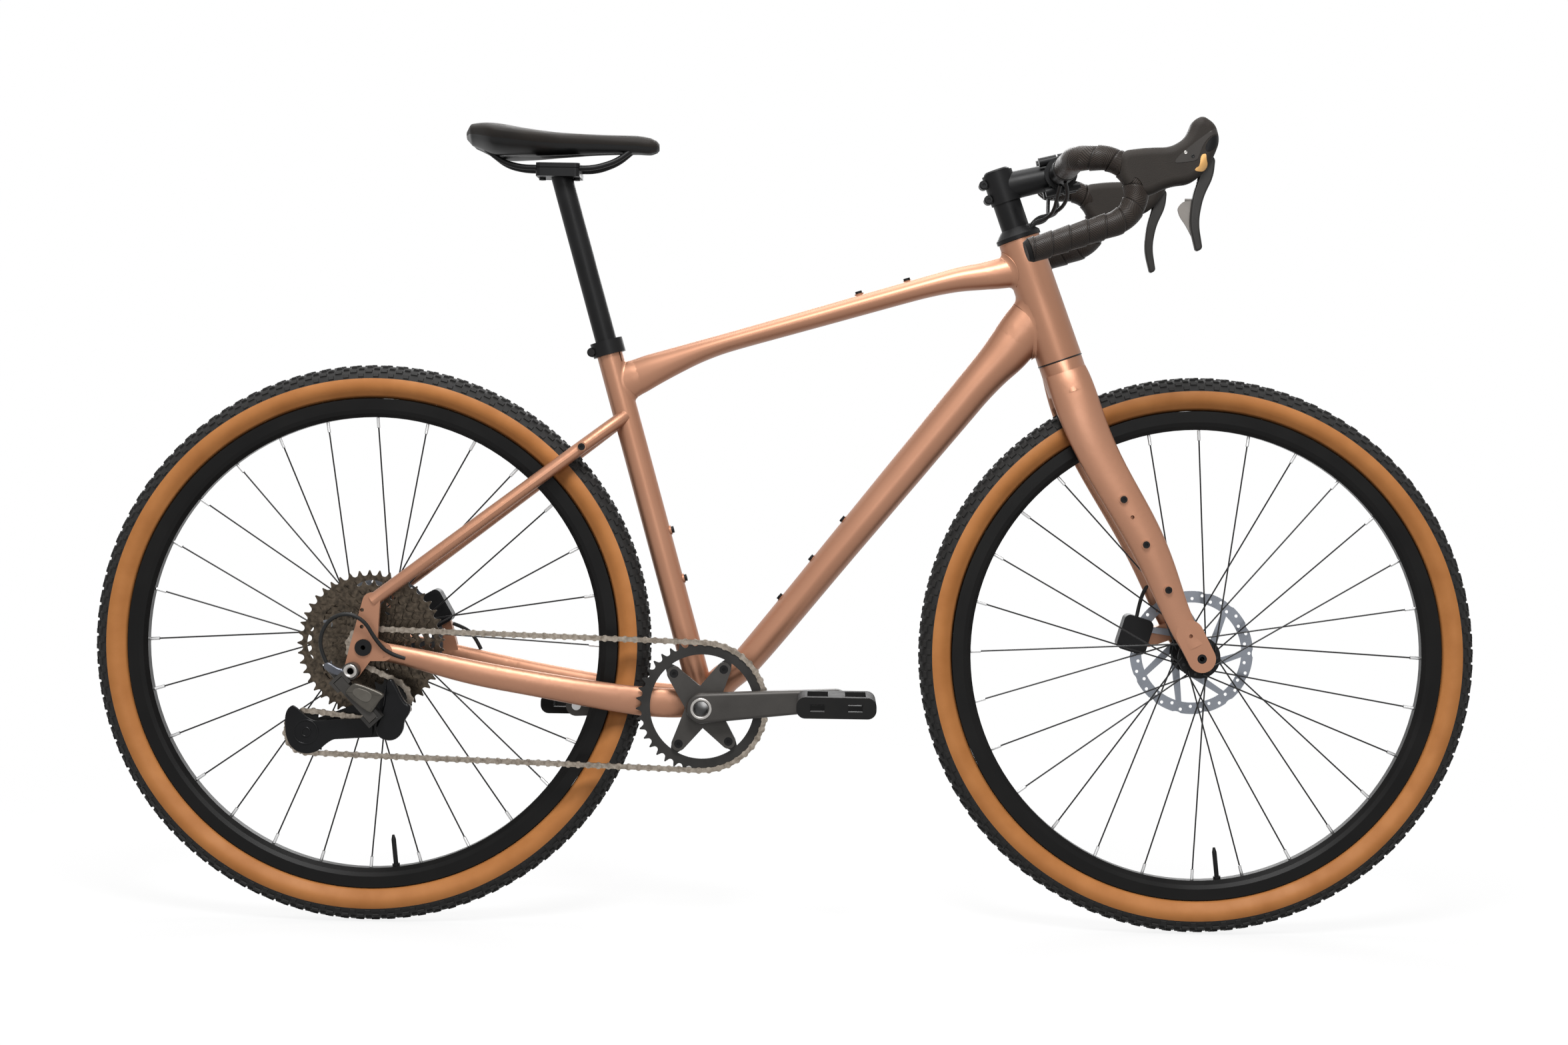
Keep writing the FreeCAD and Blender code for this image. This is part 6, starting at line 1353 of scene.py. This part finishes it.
@dataclass
class HoodTrim:
    """Side cover, cap, accent and screws of one brake hood, with outlines in millimetres."""

    side: Side
    reach: float = 0.2300
    face: float = 0.228
    lift: float = 0.0005
    outline_passes: int = 2
    skin_step: float = 0.0016
    skin_clear_share: float = 0.6
    ray_start: float = 0.5
    same_spot: float = 1e-7
    cover: Outline = (
        (609.2, 721.0), (613.4, 720.6), (614.6, 713.7), (605.6, 712.3), (596.3, 701.5),
        (592.2, 688.7), (589.0, 681.3), (573.3, 679.4), (560.4, 677.9), (570.9, 691.1),
    )
    cap: Outline = (
        (606.4, 710.9), (614.5, 712.6), (616.2, 708.4), (613.6, 699.9), (606.0, 693.6),
        (600.2, 692.2), (598.6, 699.6),
    )
    accent: Outline = (
        (593.6, 688.6), (600.2, 690.4), (600.4, 683.4), (602.4, 678.1), (601.6, 672.9),
        (597.7, 668.6), (586.6, 668.8), (587.6, 672.8), (592.6, 674.9),
    )
    screws: Outline = ((575.4, 691.0), (584.2, 686.6))
    screw_shape: Outline = ((2.2, 0.0), (2.2, 0.7), (1.9, 1.0), (1.1, 1.1), (1.0, 0.6))
    screw_columns: int = 24

    def skin(self, name: str, corners: Outline, hood: Piece, finish: Material) -> Piece:
        """Make a thin cover that lies on the hood's outer side.

        Args:
            name: Name of the piece.
            corners: Corners along the front and up, in millimetres.
            hood: Solid of the hood.
            finish: Material of the piece.

        Returns:
            The new object.
        """
        mesh = hood.data
        tree = BVHTree.FromPolygons(
            [vertex.co for vertex in mesh.vertices], [face.vertices for face in mesh.polygons],
        )
        sign, step = self.side.value, self.skin_step
        outline = rounded_outline(corners, self.outline_passes)
        last = len(outline)
        low = [min(point[axis] for point in outline) for axis in (0, 1)]
        high = [max(point[axis] for point in outline) for axis in (0, 1)]
        edge = [Vector(point) for point in outline]
        flat = list(edge)
        for row in range(int((high[0] - low[0]) / step) + 1):
            for column in range(int((high[1] - low[1]) / step) + 1):
                spot = Vector((low[0] + row * step, low[1] + column * step))
                if all((spot - point).length > step * self.skin_clear_share for point in edge):
                    flat.append(spot)
        rim = [(index, (index + 1) % last) for index in range(last)]
        spots, _, faces, *_ = delaunay_2d_cdt(flat, rim, [], 1, self.same_spot)

        def rest(x: float, z: float, height: float) -> Point:
            """Point at a height above the hood."""
            hit = tree.ray_cast(Vector((x, sign * self.ray_start, z)), Vector((0, -sign, 0)))[0]
            base = hit or tree.find_nearest(Vector((x, sign * self.face, z)))[0]
            return (base.x, base.y + sign * height, base.z)

        points = [rest(spot.x, spot.y, self.lift) for spot in spots]
        quads: list[Sequence[int]] = [tuple(face) for face in faces]
        first = len(points)
        for x, z in outline:
            points.append(rest(x, z, self.lift))
            points.append(rest(x, z, -self.lift))
        for index in range(last):
            a, b = first + 2 * index, first + 2 * ((index + 1) % last)
            quads.append((a, b, b + 1, a + 1))
        return mesh_piece(name, points, quads, [finish])

    def screw(self, name: str, place: Pair, finish: Material) -> Piece:
        """Make a small domed screw with a socket.

        Args:
            name: Name of the screw.
            place: Its place along the front and up, in millimetres.
            finish: Material of the screw.

        Returns:
            The new object.
        """
        sign = self.side.value
        profile = [(radius * MM, sign * (self.reach + rise * MM)) for radius, rise in self.screw_shape]
        centre = (place[0] * MM, 0.0, place[1] * MM)
        return turned_piece(name, centre, profile, finish, True, self.screw_columns)

    def build(self, hood: Piece, finishes: dict[str, Material]) -> None:
        """Lay the trim on the hood.

        Args:
            hood: Solid of the hood.
            finishes: Materials by the trim's name.
        """
        name = self.side.name.lower()
        pieces = [
            self.skin(f"{name}_hood_{part}", outline, hood, finishes[part])
            for part, outline in (("cover", self.cover), ("cap", self.cap), ("accent", self.accent))
        ]
        for part, place in zip(("pale_screw", "dark_screw"), self.screws):
            pieces.append(self.screw(f"{name}_hood_{part}", place, finishes[part]))
        for piece in pieces:
            carry(piece, Body.STEERING)
        LOG.info("%s hood trim", name)


@dataclass(frozen=True)
class Plate:
    """Plate in the bike's plane with a rounded outer edge, in millimetres."""

    name: str
    finish: str
    body: Body
    inner: float
    outer: float
    edge: float
    outline: Outline
    edge_turns: Pair = (0.5, 1.0)

    def piece(self, finish: Material) -> Piece:
        """Make the plate.

        Args:
            finish: Material of the plate.

        Returns:
            The new object.
        """
        outline = rounded_outline(self.outline)
        rise = math.copysign(self.edge, self.inner - self.outer)
        rings = [(0.0, self.inner), (0.0, self.outer + rise)]
        for turn in self.edge_turns:
            rings.append((self.edge * (1 - math.cos(turn)), self.outer + rise * (1 - math.sin(turn))))
        rings.append((self.edge, self.outer))
        points: list[Point] = []
        for depth, left in rings:
            points.extend((x, left * MM, z) for x, z in inset(outline, depth * MM))
        count = len(outline)
        faces: list[Sequence[int]] = list(grid_faces(len(rings), count, False))
        faces.append(tuple(range(count)))
        faces.append(tuple(range(len(points) - count, len(points))))
        piece = mesh_piece(self.name, points, faces, [finish])
        for polygon in list(piece.data.polygons)[-2:]:
            polygon.use_smooth = False
        return piece


@dataclass
class DerailleurCovers:
    """Fuller covers on the derailleur's arm, link, knuckle and cage, in millimetres."""

    hanger: Point = (-437.0, 0.0, 42.6)
    bolt_shape: Outline = (
        (8.8, -96.5), (8.8, -97.9), (8.2, -98.6), (6.2, -98.7), (5.6, -98.0), (4.4, -97.8), (4.1, -95.0),
    )
    plates: tuple[Plate, ...] = (
        Plate("derailleur_arm", "arm", Body.FRAME, inner=-92.5, outer=-99.0, edge=2.2, outline=(
            (-470.5, 45.5), (-469.5, 52.5), (-463.0, 54.0), (-452.0, 46.5), (-444.5, 45.5), (-443.0, 36.0),
            (-449.5, 35.4), (-457.0, 38.0),
        )),
        Plate("derailleur_link_cover", "link", Body.LINK, inner=-99.0, outer=-104.6, edge=2.4, outline=(
            (-433.5, 27.5), (-427.0, 29.3), (-394.5, 17.0), (-392.5, 12.5), (-397.5, 8.5), (-406.5, -6.0),
            (-411.5, -9.5), (-441.5, 14.5), (-441.0, 19.5),
        )),
        Plate("derailleur_link_panel", "panel", Body.LINK, inner=-104.0, outer=-105.3, edge=0.6, outline=(
            (-427.5, 24.5), (-405.0, 16.0), (-413.0, 2.0), (-435.0, 15.5),
        )),
        Plate(
            "derailleur_knuckle_cover", "knuckle", Body.KNUCKLE, inner=-79.0, outer=-86.2, edge=3.0, outline=(
                (-394.5, 30.0), (-388.0, 33.5), (-383.5, 29.0), (-370.5, 3.5), (-363.0, 0.5),
                (-363.5, -9.5), (-371.0, -20.0), (-371.5, -32.0), (-379.5, -43.0), (-391.5, -45.5),
                (-403.5, -40.5), (-407.0, -28.0), (-401.5, -15.0), (-397.0, 0.0), (-396.0, 14.0),
            ),
        ),
        Plate("derailleur_cage_cover", "cage", Body.CAGE, inner=-66.0, outer=-69.0, edge=1.2, outline=(
            (-515.5, -4.0), (-511.0, -4.5), (-490.0, -23.0), (-474.0, -22.5), (-460.0, -20.5),
            (-428.0, -19.5), (-412.5, -18.0), (-411.5, -42.0), (-422.0, -43.5), (-459.0, -44.5),
            (-470.5, -51.0), (-481.0, -61.5), (-496.0, -65.5), (-511.5, -61.0), (-521.5, -47.0),
            (-524.0, -24.0), (-522.0, -10.5),
        )),
    )
    rib_centre: Point = (-496.8, 0.0, -37.4)
    rib_radii: Pair = (15.0, 5.5)
    rib_shape: Outline = ((-1.4, -68.8), (-0.9, -69.8), (0.9, -69.8), (1.4, -68.8))

    def turned(self, name: str, centre: Point, shape: Iterable[Pair], finish: Material,
               closed: bool) -> Piece:
        """Make a round piece from sizes in millimetres.

        Args:
            name: Name of the piece.
            centre: Point on its axle.
            shape: Radii and distances on the left, in order.
            finish: Material of the piece.
            closed: True if the last ring is filled.

        Returns:
            The new object.
        """
        middle = tuple(part * MM for part in centre)
        return turned_piece(name, middle, [(wide * MM, left * MM) for wide, left in shape], finish, closed)

    def build(self, finishes: dict[str, Material]) -> None:
        """Make the covers and set them on their bodies.

        Args:
            finishes: Materials by the cover's name.
        """
        bolt = self.turned("derailleur_hanger_bolt", self.hanger, self.bolt_shape, finishes["bolt"], True)
        pieces = [(bolt, Body.FRAME)]
        pieces.extend((plate.piece(finishes[plate.finish]), plate.body) for plate in self.plates)
        for index, radius in enumerate(self.rib_radii):
            shape = [(radius + wide, left) for wide, left in self.rib_shape]
            rib = self.turned(f"derailleur_cage_rib_{index}", self.rib_centre, shape, finishes["cage"], False)
            pieces.append((rib, Body.CAGE))
        for piece, body in pieces:
            carry(piece, body)
        LOG.info("derailleur covers")


@dataclass
class CrankTrim:
    """Pale ring round the bore of the right crank."""

    face: float = 0.073
    bore: float = 0.0100
    bore_depth: float = 0.004
    rim: float = 0.0136
    rim_depth: float = 0.0005
    proud: float = 0.0012
    edge: float = 0.0006

    def build(self, finish: Material) -> None:
        """Make the ring.

        Args:
            finish: Material of the ring.
        """
        shape = (
            (self.rim, -self.rim_depth),
            (self.rim, self.proud - self.edge),
            (self.rim - self.edge, self.proud),
            (self.bore + self.edge, self.proud),
            (self.bore, self.proud - self.edge),
            (self.bore, -self.bore_depth),
        )
        profile = [(wide, -self.face - rise) for wide, rise in shape]
        ring = turned_piece("crank_bore_ring", (0.0, 0.0, 0.0), profile, finish)
        carry(ring, Body.CRANKSET)
        LOG.info("crank ring")


@dataclass(frozen=True)
class Weld:
    """Weld where a long tube runs into a round one.

    Each section gives the share of the long tube's run, its rise, half depth and half width.
    """

    name: str
    before: tuple[float, float, float, float]
    inside: tuple[float, float, float, float]
    reach: float


@dataclass
class TubeJoints:
    """Smoothed welds where the main tubes meet, and the seal under the head tube."""

    head_top: Point = (0.396, 0.0, 0.601)
    head_angle: float = math.radians(70.5)
    head_radius: float = 0.0277
    head_length: float = 0.1635
    top_tube_head_station: float = 0.038
    down_tube_head_station: float = 0.094
    seat_angle: float = math.radians(74)
    seat_radius: float = 0.0165
    top_tube_seat_station: float = 0.422
    top_head_weld: Weld = Weld(
        "top_tube_head_weld", before=(0.93, 0.0033, 0.02, 0.0189), inside=(1.0, 0.0, 0.0229, 0.0189),
        reach=0.006,
    )
    down_head_weld: Weld = Weld(
        "down_tube_head_weld", before=(0.97, 0.0, 0.0326, 0.02185), inside=(1.02, 0.0, 0.0326, 0.02185),
        reach=0.0075,
    )
    top_seat_weld: Weld = Weld(
        "top_tube_seat_weld", before=(0.13, 0.0077, 0.0176, 0.01656), inside=(0.0, 0.0, 0.027, 0.0144),
        reach=0.004,
    )
    seal_shape: Outline = (
        (0.02905, 0.0005), (0.02935, 0.0004), (0.02945, -0.0004), (0.02935, -0.0012), (0.02905, -0.0013),
    )
    columns: int = 72
    steps: int = 8
    sunk: float = 0.0002
    root_past: float = 0.001
    root_depth: float = 0.002

    def headings(self) -> tuple[Vector, Vector]:
        """Headings of the head tube and the seat tube."""
        angles = (self.head_angle, self.seat_angle)
        return tuple(Vector((-math.cos(angle), 0, math.sin(angle))) for angle in angles)

    def runs(self) -> tuple[Vector, Vector, Vector]:
        """Start of the top tube, its run and the down tube's run."""
        head_up, seat_up = self.headings()
        start = seat_up * self.top_tube_seat_station
        top_end = Vector(self.head_top) - head_up * self.top_tube_head_station
        return start, top_end - start, Vector(self.head_top) - head_up * self.down_tube_head_station

    def section(self, start: Vector, run: Vector, station: tuple[float, float, float, float]) -> list[Vector]:
        """Points round a tube.

        Args:
            start: Start of the tube's run.
            run: The tube's run.
            station: Share of the run, rise, half depth and half width.

        Returns:
            The points.
        """
        share, rise, deep, wide = station
        up = run.cross(LEFT_WAY).normalized()
        centre = start + run * share + up * rise
        return [
            centre + up * (deep * math.cos(angle)) + LEFT_WAY * (wide * math.sin(angle))
            for angle in angles_round(self.columns)
        ]

    def weld(self, weld: Weld, tube: tuple[Vector, Vector], other: tuple[Vector, Vector, float],
             finish: Material) -> Piece:
        """Make a hollow weld where a tube runs into a round one.

        Args:
            weld: Name and sizes of the weld.
            tube: Start and run of the tube.
            other: Point and heading of the round tube's middle, with its radius.
            finish: Material of the weld.

        Returns:
            The new object.
        """
        foot, heading, radius = other
        before, inside = (self.section(*tube, station) for station in (weld.before, weld.inside))
        middle = sum(before, Vector()) / len(before)

        def square(way: Vector) -> Vector:
            """Part of a way that is square to the round tube."""
            return way - heading * way.dot(heading)

        rows: list[list[Vector]] = [[] for _ in range(self.steps + 2)]
        for first, last in zip(before, inside):
            way = (last - first).normalized()
            from_axle, over = square(first - foot), square(way)
            half, flat = from_axle.dot(over), over.dot(over)
            clear = from_axle.dot(from_axle) - radius * radius
            corner = first + way * ((-half - math.sqrt(half * half - flat * clear)) / flat)
            away = square(corner - foot).normalized()
            out = corner - middle
            out = (out - way * out.dot(way)).normalized()
            slide = (out - away * out.dot(away)).normalized()
            on_tube = corner - way * weld.reach - out * self.sunk
            beside = corner + slide * weld.reach - foot
            level = foot + heading * beside.dot(heading)
            on_other = level + square(beside).normalized() * (radius - self.sunk)
            for step in range(self.steps + 1):
                share = step / self.steps
                bend = on_tube * (1 - share) ** 2 + corner * (2 * share * (1 - share)) + on_other * share**2
                rows[step].append(bend)
            rows[-1].append(corner + way * self.root_past - out * self.root_depth)
        points = [tuple(point) for row in rows for point in row]
        return mesh_piece(weld.name, points, grid_faces(len(rows), self.columns, True), [finish])

    def seal(self, low: Vector, up: Vector, finish: Material) -> Piece:
        """Make the thin seal between the head tube and the fork.

        Args:
            low: Middle of the head tube's lower end.
            up: Heading of the head tube.
            finish: Material of the seal.

        Returns:
            The new object.
        """
        front = LEFT_WAY.cross(up)
        points = []
        for radius, rise in self.seal_shape:
            for angle in angles_round(self.columns):
                away = front * math.cos(angle) + LEFT_WAY * math.sin(angle)
                points.append(tuple(low + up * rise + away * radius))
        return mesh_piece("head_seal", points, grid_faces(len(self.seal_shape), self.columns, True), [finish])

    def build(self, paint: Material, rubber: Material) -> None:
        """Make the welds and the seal.

        Args:
            paint: Material of the welds.
            rubber: Material of the seal.
        """
        head_up, seat_up = self.headings()
        head_top = Vector(self.head_top)
        head = (head_top, head_up, self.head_radius)
        seat = (Vector(), seat_up, self.seat_radius)
        top_start, top_run, down_run = self.runs()
        top, down = (top_start, top_run), (Vector(), down_run)
        joints = (
            (self.top_head_weld, top, head),
            (self.down_head_weld, down, head),
            (self.top_seat_weld, top, seat),
        )
        for weld, tube, other in joints:
            carry(self.weld(weld, tube, other, paint), Body.FRAME)
        seal = self.seal(head_top - head_up * self.head_length, head_up, rubber)
        carry(seal, Body.FRAME)
        LOG.info("welds and head seal")


@dataclass(frozen=True)
class TubeForm:
    """Form of a long tube, as stations along its run.

    The fade gives the shares of the run where the true form starts, is full, still is full and ends. Each
    station gives the share of the run and then, in millimetres, the upper and lower edge of the solid, the
    upper and lower edge of the true tube, and the half width.
    """

    name: str
    fade: tuple[float, float, float, float]
    stations: tuple[tuple[float, float, float, float, float, float], ...]


TOP_TUBE = TubeForm("top_tube_skin", fade=(0.035, 0.09, 0.82, 0.925), stations=(
    (0.05, 26.5, -19.4, 27.6, -19.6, 15.0),
    (0.10, 25.8, -13.0, 27.6, -12.6, 16.0),
    (0.15, 25.0, -8.0, 27.5, -6.6, 16.6),
    (0.20, 24.2, -4.3, 27.4, -1.6, 17.2),
    (0.25, 23.3, -1.9, 27.3, 1.2, 17.7),
    (0.30, 22.7, -0.5, 27.2, 1.8, 18.0),
    (0.40, 21.7, -0.3, 27.1, 1.2, 18.0),
    (0.50, 21.5, -1.6, 27.0, 0.5, 18.0),
    (0.60, 22.2, -1.5, 27.0, -0.1, 18.0),
    (0.70, 23.0, -1.7, 26.9, -0.7, 18.0),
    (0.75, 23.3, -3.1, 26.9, -1.4, 18.0),
    (0.80, 23.4, -5.7, 26.9, -3.4, 18.2),
    (0.85, 23.5, -9.3, 26.9, -7.0, 18.4),
    (0.90, 23.3, -13.6, 26.8, -11.8, 18.7),
))
DOWN_TUBE = TubeForm("down_tube_skin", fade=(0.05, 0.11, 0.84, 0.94), stations=(
    (0.05, 20.4, -20.4, 12.0, -24.5, 21.3),
    (0.10, 21.35, -21.3, 11.6, -25.6, 22.2),
    (0.15, 23.2, -23.2, 11.9, -26.3, 22.9),
    (0.20, 25.15, -25.15, 12.6, -26.3, 23.4),
    (0.25, 26.6, -26.6, 13.4, -26.0, 23.7),
    (0.30, 27.3, -27.3, 14.3, -25.6, 24.0),
    (0.35, 27.0, -27.0, 15.4, -25.2, 24.1),
    (0.40, 26.0, -26.0, 16.5, -24.9, 24.1),
    (0.45, 24.4, -24.4, 17.4, -24.8, 24.2),
    (0.50, 22.55, -22.55, 18.4, -24.7, 24.1),
    (0.55, 20.7, -20.7, 19.4, -24.5, 23.9),
    (0.60, 19.35, -19.35, 20.4, -24.4, 24.0),
    (0.65, 18.75, -18.75, 21.3, -24.1, 23.8),
    (0.70, 19.05, -19.05, 22.4, -24.0, 23.7),
    (0.75, 20.5, -20.5, 23.4, -23.8, 23.6),
    (0.80, 22.95, -22.95, 24.4, -23.8, 23.4),
    (0.85, 26.1, -26.1, 25.4, -26.2, 23.0),
    (0.90, 29.35, -29.35, 26.8, -31.8, 22.8),
    (0.95, 32.0, -32.0, 28.0, -34.0, 22.1),
))


@dataclass
class LongTube:
    """One of the frame's long tubes, drawn over its plainer solid."""

    form: TubeForm
    start: Vector
    run: Vector
    columns: int = 64
    rings: int = 120
    sunk: float = 0.0014
    end_sunk_share: float = 0.3
    end_power: int = 4
    reach: float = 0.011
    side_reach: float = 0.003

    @property
    def up(self) -> Vector:
        """Way square to the tube in the bike's plane."""
        return self.run.cross(LEFT_WAY).normalized()

    def weight(self, share: float) -> float:
        """Weight of the true form at a share of the run, from 0 to 1."""
        first, full, still_full, last = self.form.fade
        rising = max((share - first) / (full - first), 0.0)
        falling = max((last - share) / (last - still_full), 0.0)
        weight = min(rising, falling, 1.0)
        return weight * weight * (3 - 2 * weight)

    def edges(self, share: float) -> tuple[float, float, float, float, float]:
        """Edges of the tube at a share of its run, in metres.

        Args:
            share: Share of the run.

        Returns:
            Upper and lower edges of the solid and of the true tube, and the half width.
        """
        stations = self.form.stations
        places = [row[0] for row in stations]
        kept = min(max(share, places[0]), places[-1])
        high, low, true_high, true_low, wide = smooth_step(places, [row[1:] for row in stations], kept)
        weight = self.weight(share)
        true_high = high + (true_high - high) * weight
        true_low = low + (true_low - low) * weight
        return high * MM, low * MM, true_high * MM, true_low * MM, wide * MM

    def moved(self, point: Vector) -> Vector:
        """Point of the solid, moved just under the true tube.

        Args:
            point: Point of the solid.

        Returns:
            The moved point, or the same one away from the tube.
        """
        offset = point - self.start
        share = offset.dot(self.run) / self.run.length**2
        if not self.form.fade[0] < share < self.form.fade[3]:
            return point
        rise = offset.dot(self.up)
        high, low, true_high, true_low, wide = self.edges(share)
        if abs(point.y) > wide + self.side_reach or not low - self.reach < rise < high + self.reach:
            return point
        under = self.sunk * self.weight(share)
        middle, half = (high + low) / 2, (high - low) / 2
        true_middle, true_half = (true_high + true_low) / 2, (true_high - true_low) / 2
        away = rise - middle
        past = max(0.0, abs(away) - half)
        inside = math.copysign(min(abs(away), half), away)
        rise_now = true_middle + inside * (true_half - under) / half + math.copysign(past, away)
        shrink = 1.0 if past else 1 - under / wide
        spot = point + self.up * (rise_now - rise)
        return Vector((spot.x, spot.y * shrink, spot.z))

    def skin(self, finish: Material) -> Piece:
        """Make the tube's smooth surface.

        Args:
            finish: Material of the tube.

        Returns:
            The new object.
        """
        first, _, _, last = self.form.fade
        points = []
        for index in range(self.rings):
            share = first + (last - first) * index / (self.rings - 1)
            _, _, high, low, wide = self.edges(share)
            end = self.sunk * self.end_sunk_share * (1 - self.weight(share)) ** self.end_power
            centre = self.start + self.run * share + self.up * ((high + low) / 2)
            for angle in angles_round(self.columns):
                rise = self.up * (((high - low) / 2 - end) * math.cos(angle))
                points.append(tuple(centre + rise + LEFT_WAY * ((wide - end) * math.sin(angle))))
        return mesh_piece(self.form.name, points, grid_faces(self.rings, self.columns, False), [finish])


@dataclass
class FrameShell:
    """Frame with its long tubes in their true form, and the bolts that sit on them."""

    joints: TubeJoints
    seat_tube_clear: float = 0.018
    head_tube_clear: float = 0.0302
    shell_clear: float = 0.0235
    same_spot: float = 1e-6

    def tubes(self) -> tuple[LongTube, LongTube]:
        """The top tube and the down tube."""
        top_start, top_run, down_run = self.joints.runs()
        return LongTube(TOP_TUBE, top_start, top_run), LongTube(DOWN_TUBE, Vector(), down_run)

    def free(self, point: Vector) -> bool:
        """True outside the head tube, the seat tube and the bottom bracket's shell."""
        head_up, seat_up = self.joints.headings()
        from_head = point - Vector(self.joints.head_top)
        from_head -= head_up * from_head.dot(head_up)
        from_seat = point - seat_up * point.dot(seat_up)
        from_shell = Vector((point.x, 0, point.z))
        return (from_head.length > self.head_tube_clear and from_seat.length > self.seat_tube_clear
                and from_shell.length > self.shell_clear)

    def settled(self, point: Vector, tubes: Iterable[LongTube]) -> Vector:
        """Point moved with the tube that carries it."""
        if self.free(point):
            for tube in tubes:
                point = tube.moved(point)
        return point

    def copy(self, solid: Piece, name: str, slot: str) -> Piece:
        """Make a piece with a copy of a solid's mesh, in the solid's place."""
        piece = bpy.data.objects.new(name, solid.data.copy())
        bpy.context.scene.collection.objects.link(piece)
        carry(piece, Body.FRAME, solid.name)
        return piece

    def shift_bolts(self, bolts: Piece, tubes: Sequence[LongTube]) -> None:
        """Move each bolt as a whole with the tube that it sits on.

        Args:
            bolts: Piece that holds all the bolts.
            tubes: The long tubes.
        """
        shell = bmesh.new()
        shell.from_mesh(bolts.data)
        bmesh.ops.remove_doubles(shell, verts=shell.verts, dist=self.same_spot)
        left = set(shell.verts)
        while left:
            group, edge = set(), {left.pop()}
            while edge:
                group |= edge
                edge = {link.other_vert(spot) for spot in edge for link in spot.link_edges} - group
            left -= group
            middle = sum((spot.co for spot in group), Vector()) / len(group)
            shift = self.settled(middle, tubes) - middle
            for spot in group:
                spot.co += Vector((shift.x, 0, shift.z))
        shell.to_mesh(bolts.data)
        shell.free()

    def build(self, nodes: dict[str, Piece]) -> None:
        """Make the frame and its bolts in place of their solids.

        Args:
            nodes: Solids by name.
        """
        tubes = self.tubes()
        frame = self.copy(nodes["frame"], "frame_shell", "frame_paint")
        for vertex in frame.data.vertices:
            vertex.co = self.settled(vertex.co.copy(), tubes)
        self.shift_bolts(self.copy(nodes["frame_bolts"], "frame_shell_bolts", "black_metal"), tubes)
        for tube in tubes:
            carry(tube.skin(frame.data.materials[0]), Body.FRAME)
        LOG.info("frame shell")


@dataclass
class MetalWork:
    """Solids that stay and take their finishes."""

    front_axle: Point = (0.63036, 0.0, 0.071)
    rear_axle: Point = (-0.424098, 0.0, 0.071)

    def finishes(self) -> dict[Finish, tuple[str, ...]]:
        """Nodes that take each finish.

        Returns:
            Node names under their finish.
        """
        table: dict[Finish, tuple[str, ...]] = {
            COPPER: ("frame", "fork"),
            BLACK_SATIN: (
                "seat_clamp", "frame_bolts", "bottom_bracket_cups", "rear_thru_axle", "front_thru_axle",
                "rear_caliper", "front_caliper", "headset_stack", "stem", "stem_faceplate", "steering_bolts",
                "handlebar", "front_hub", "rear_hub", "front_valve", "rear_valve", "derailleur_cage",
                "seatpost", "saddle_rails", "chainring_bolts",
            ),
            BLACK_RIM: ("front_rim", "rear_rim"),
            DARK_ALLOY: ("chainring", "right_brake_lever", "left_brake_lever", "derailleur_knuckle"),
            BLACK_PLASTIC: ("bar_end_plugs", "right_pedal", "left_pedal", "guide_pulley", "tension_pulley"),
            HOOD_RUBBER: ("right_hood", "left_hood"),
            GREY_ALLOY: (
                "right_crank", "left_crank", "derailleur_base", "derailleur_outer_link",
                "derailleur_inner_link",
            ),
            PALE_ALLOY: ("shift_paddle",),
            STEEL: ("headset_bearings", "pedal_axles"),
            CHAIN_STEEL: ("chain",),
            COG_STEEL: ("cassette",),
            PAD_COMPOUND: ("front_right_pad", "front_left_pad", "rear_right_pad", "rear_left_pad"),
        }
        for wheel, centre in (("front", self.front_axle), ("rear", self.rear_axle)):
            table[SPOKE_STEEL.on_wheel(wheel, centre)] = (f"{wheel}_spokes",)
            table[ROTOR_STEEL.on_wheel(wheel, centre)] = (f"{wheel}_rotor",)
        return table

    def dress(self, nodes: dict[str, Piece]) -> None:
        """Give each solid its finish.

        Args:
            nodes: Solids by name.
        """
        for finish, names in self.finishes().items():
            material = finish.material()
            for name in names:
                mesh = nodes[name].data
                mesh.materials.clear()
                mesh.materials.append(material)
            LOG.info("%s on %d solids", finish.name, len(names))


def main() -> None:
    """Build the bike's looks piece by piece."""
    logging.basicConfig(level=logging.INFO, format="%(name)s: %(message)s")
    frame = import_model()
    nodes = frame["nodes"]
    Studio().build()
    metal = MetalWork()
    metal.dress(nodes)
    tread, wall = TREAD.material(), TAN_WALL.material()
    Tyre("front_tyre", metal.front_axle, Body.FRONT_WHEEL).build(tread, wall)
    Tyre("rear_tyre", metal.rear_axle, Body.REAR_WHEEL).build(tread, wall)
    tape, plastic = TAPE.material(), SHELL_PLASTIC.material()
    for side in Side:
        BarTape(side).build(tape, plastic)
    Saddle().build(SADDLE_SKIN.material(), plastic)
    Hoses().build(HOSE_RUBBER.material())
    gloss, silver = BLACK_GLOSS.material(), SILVER.material()
    trim = {
        "cover": HOOD_PLASTIC.material(), "cap": gloss, "accent": BRONZE.material(), "pale_screw": silver,
        "dark_screw": plastic,
    }
    for side in Side:
        HoodTrim(side).build(nodes[f"{side.name.lower()}_hood"], trim)
    DerailleurCovers().build({
        "bolt": silver, "arm": BLUE_ALLOY.material(), "link": LINK_ALLOY.material(),
        "panel": PANEL_ALLOY.material(), "knuckle": gloss, "cage": gloss,
    })
    CrankTrim().build(silver)
    joints = TubeJoints()
    joints.build(nodes["frame"].data.materials[0], plastic)
    FrameShell(joints).build(nodes)


if __name__ == "__main__":
    main()
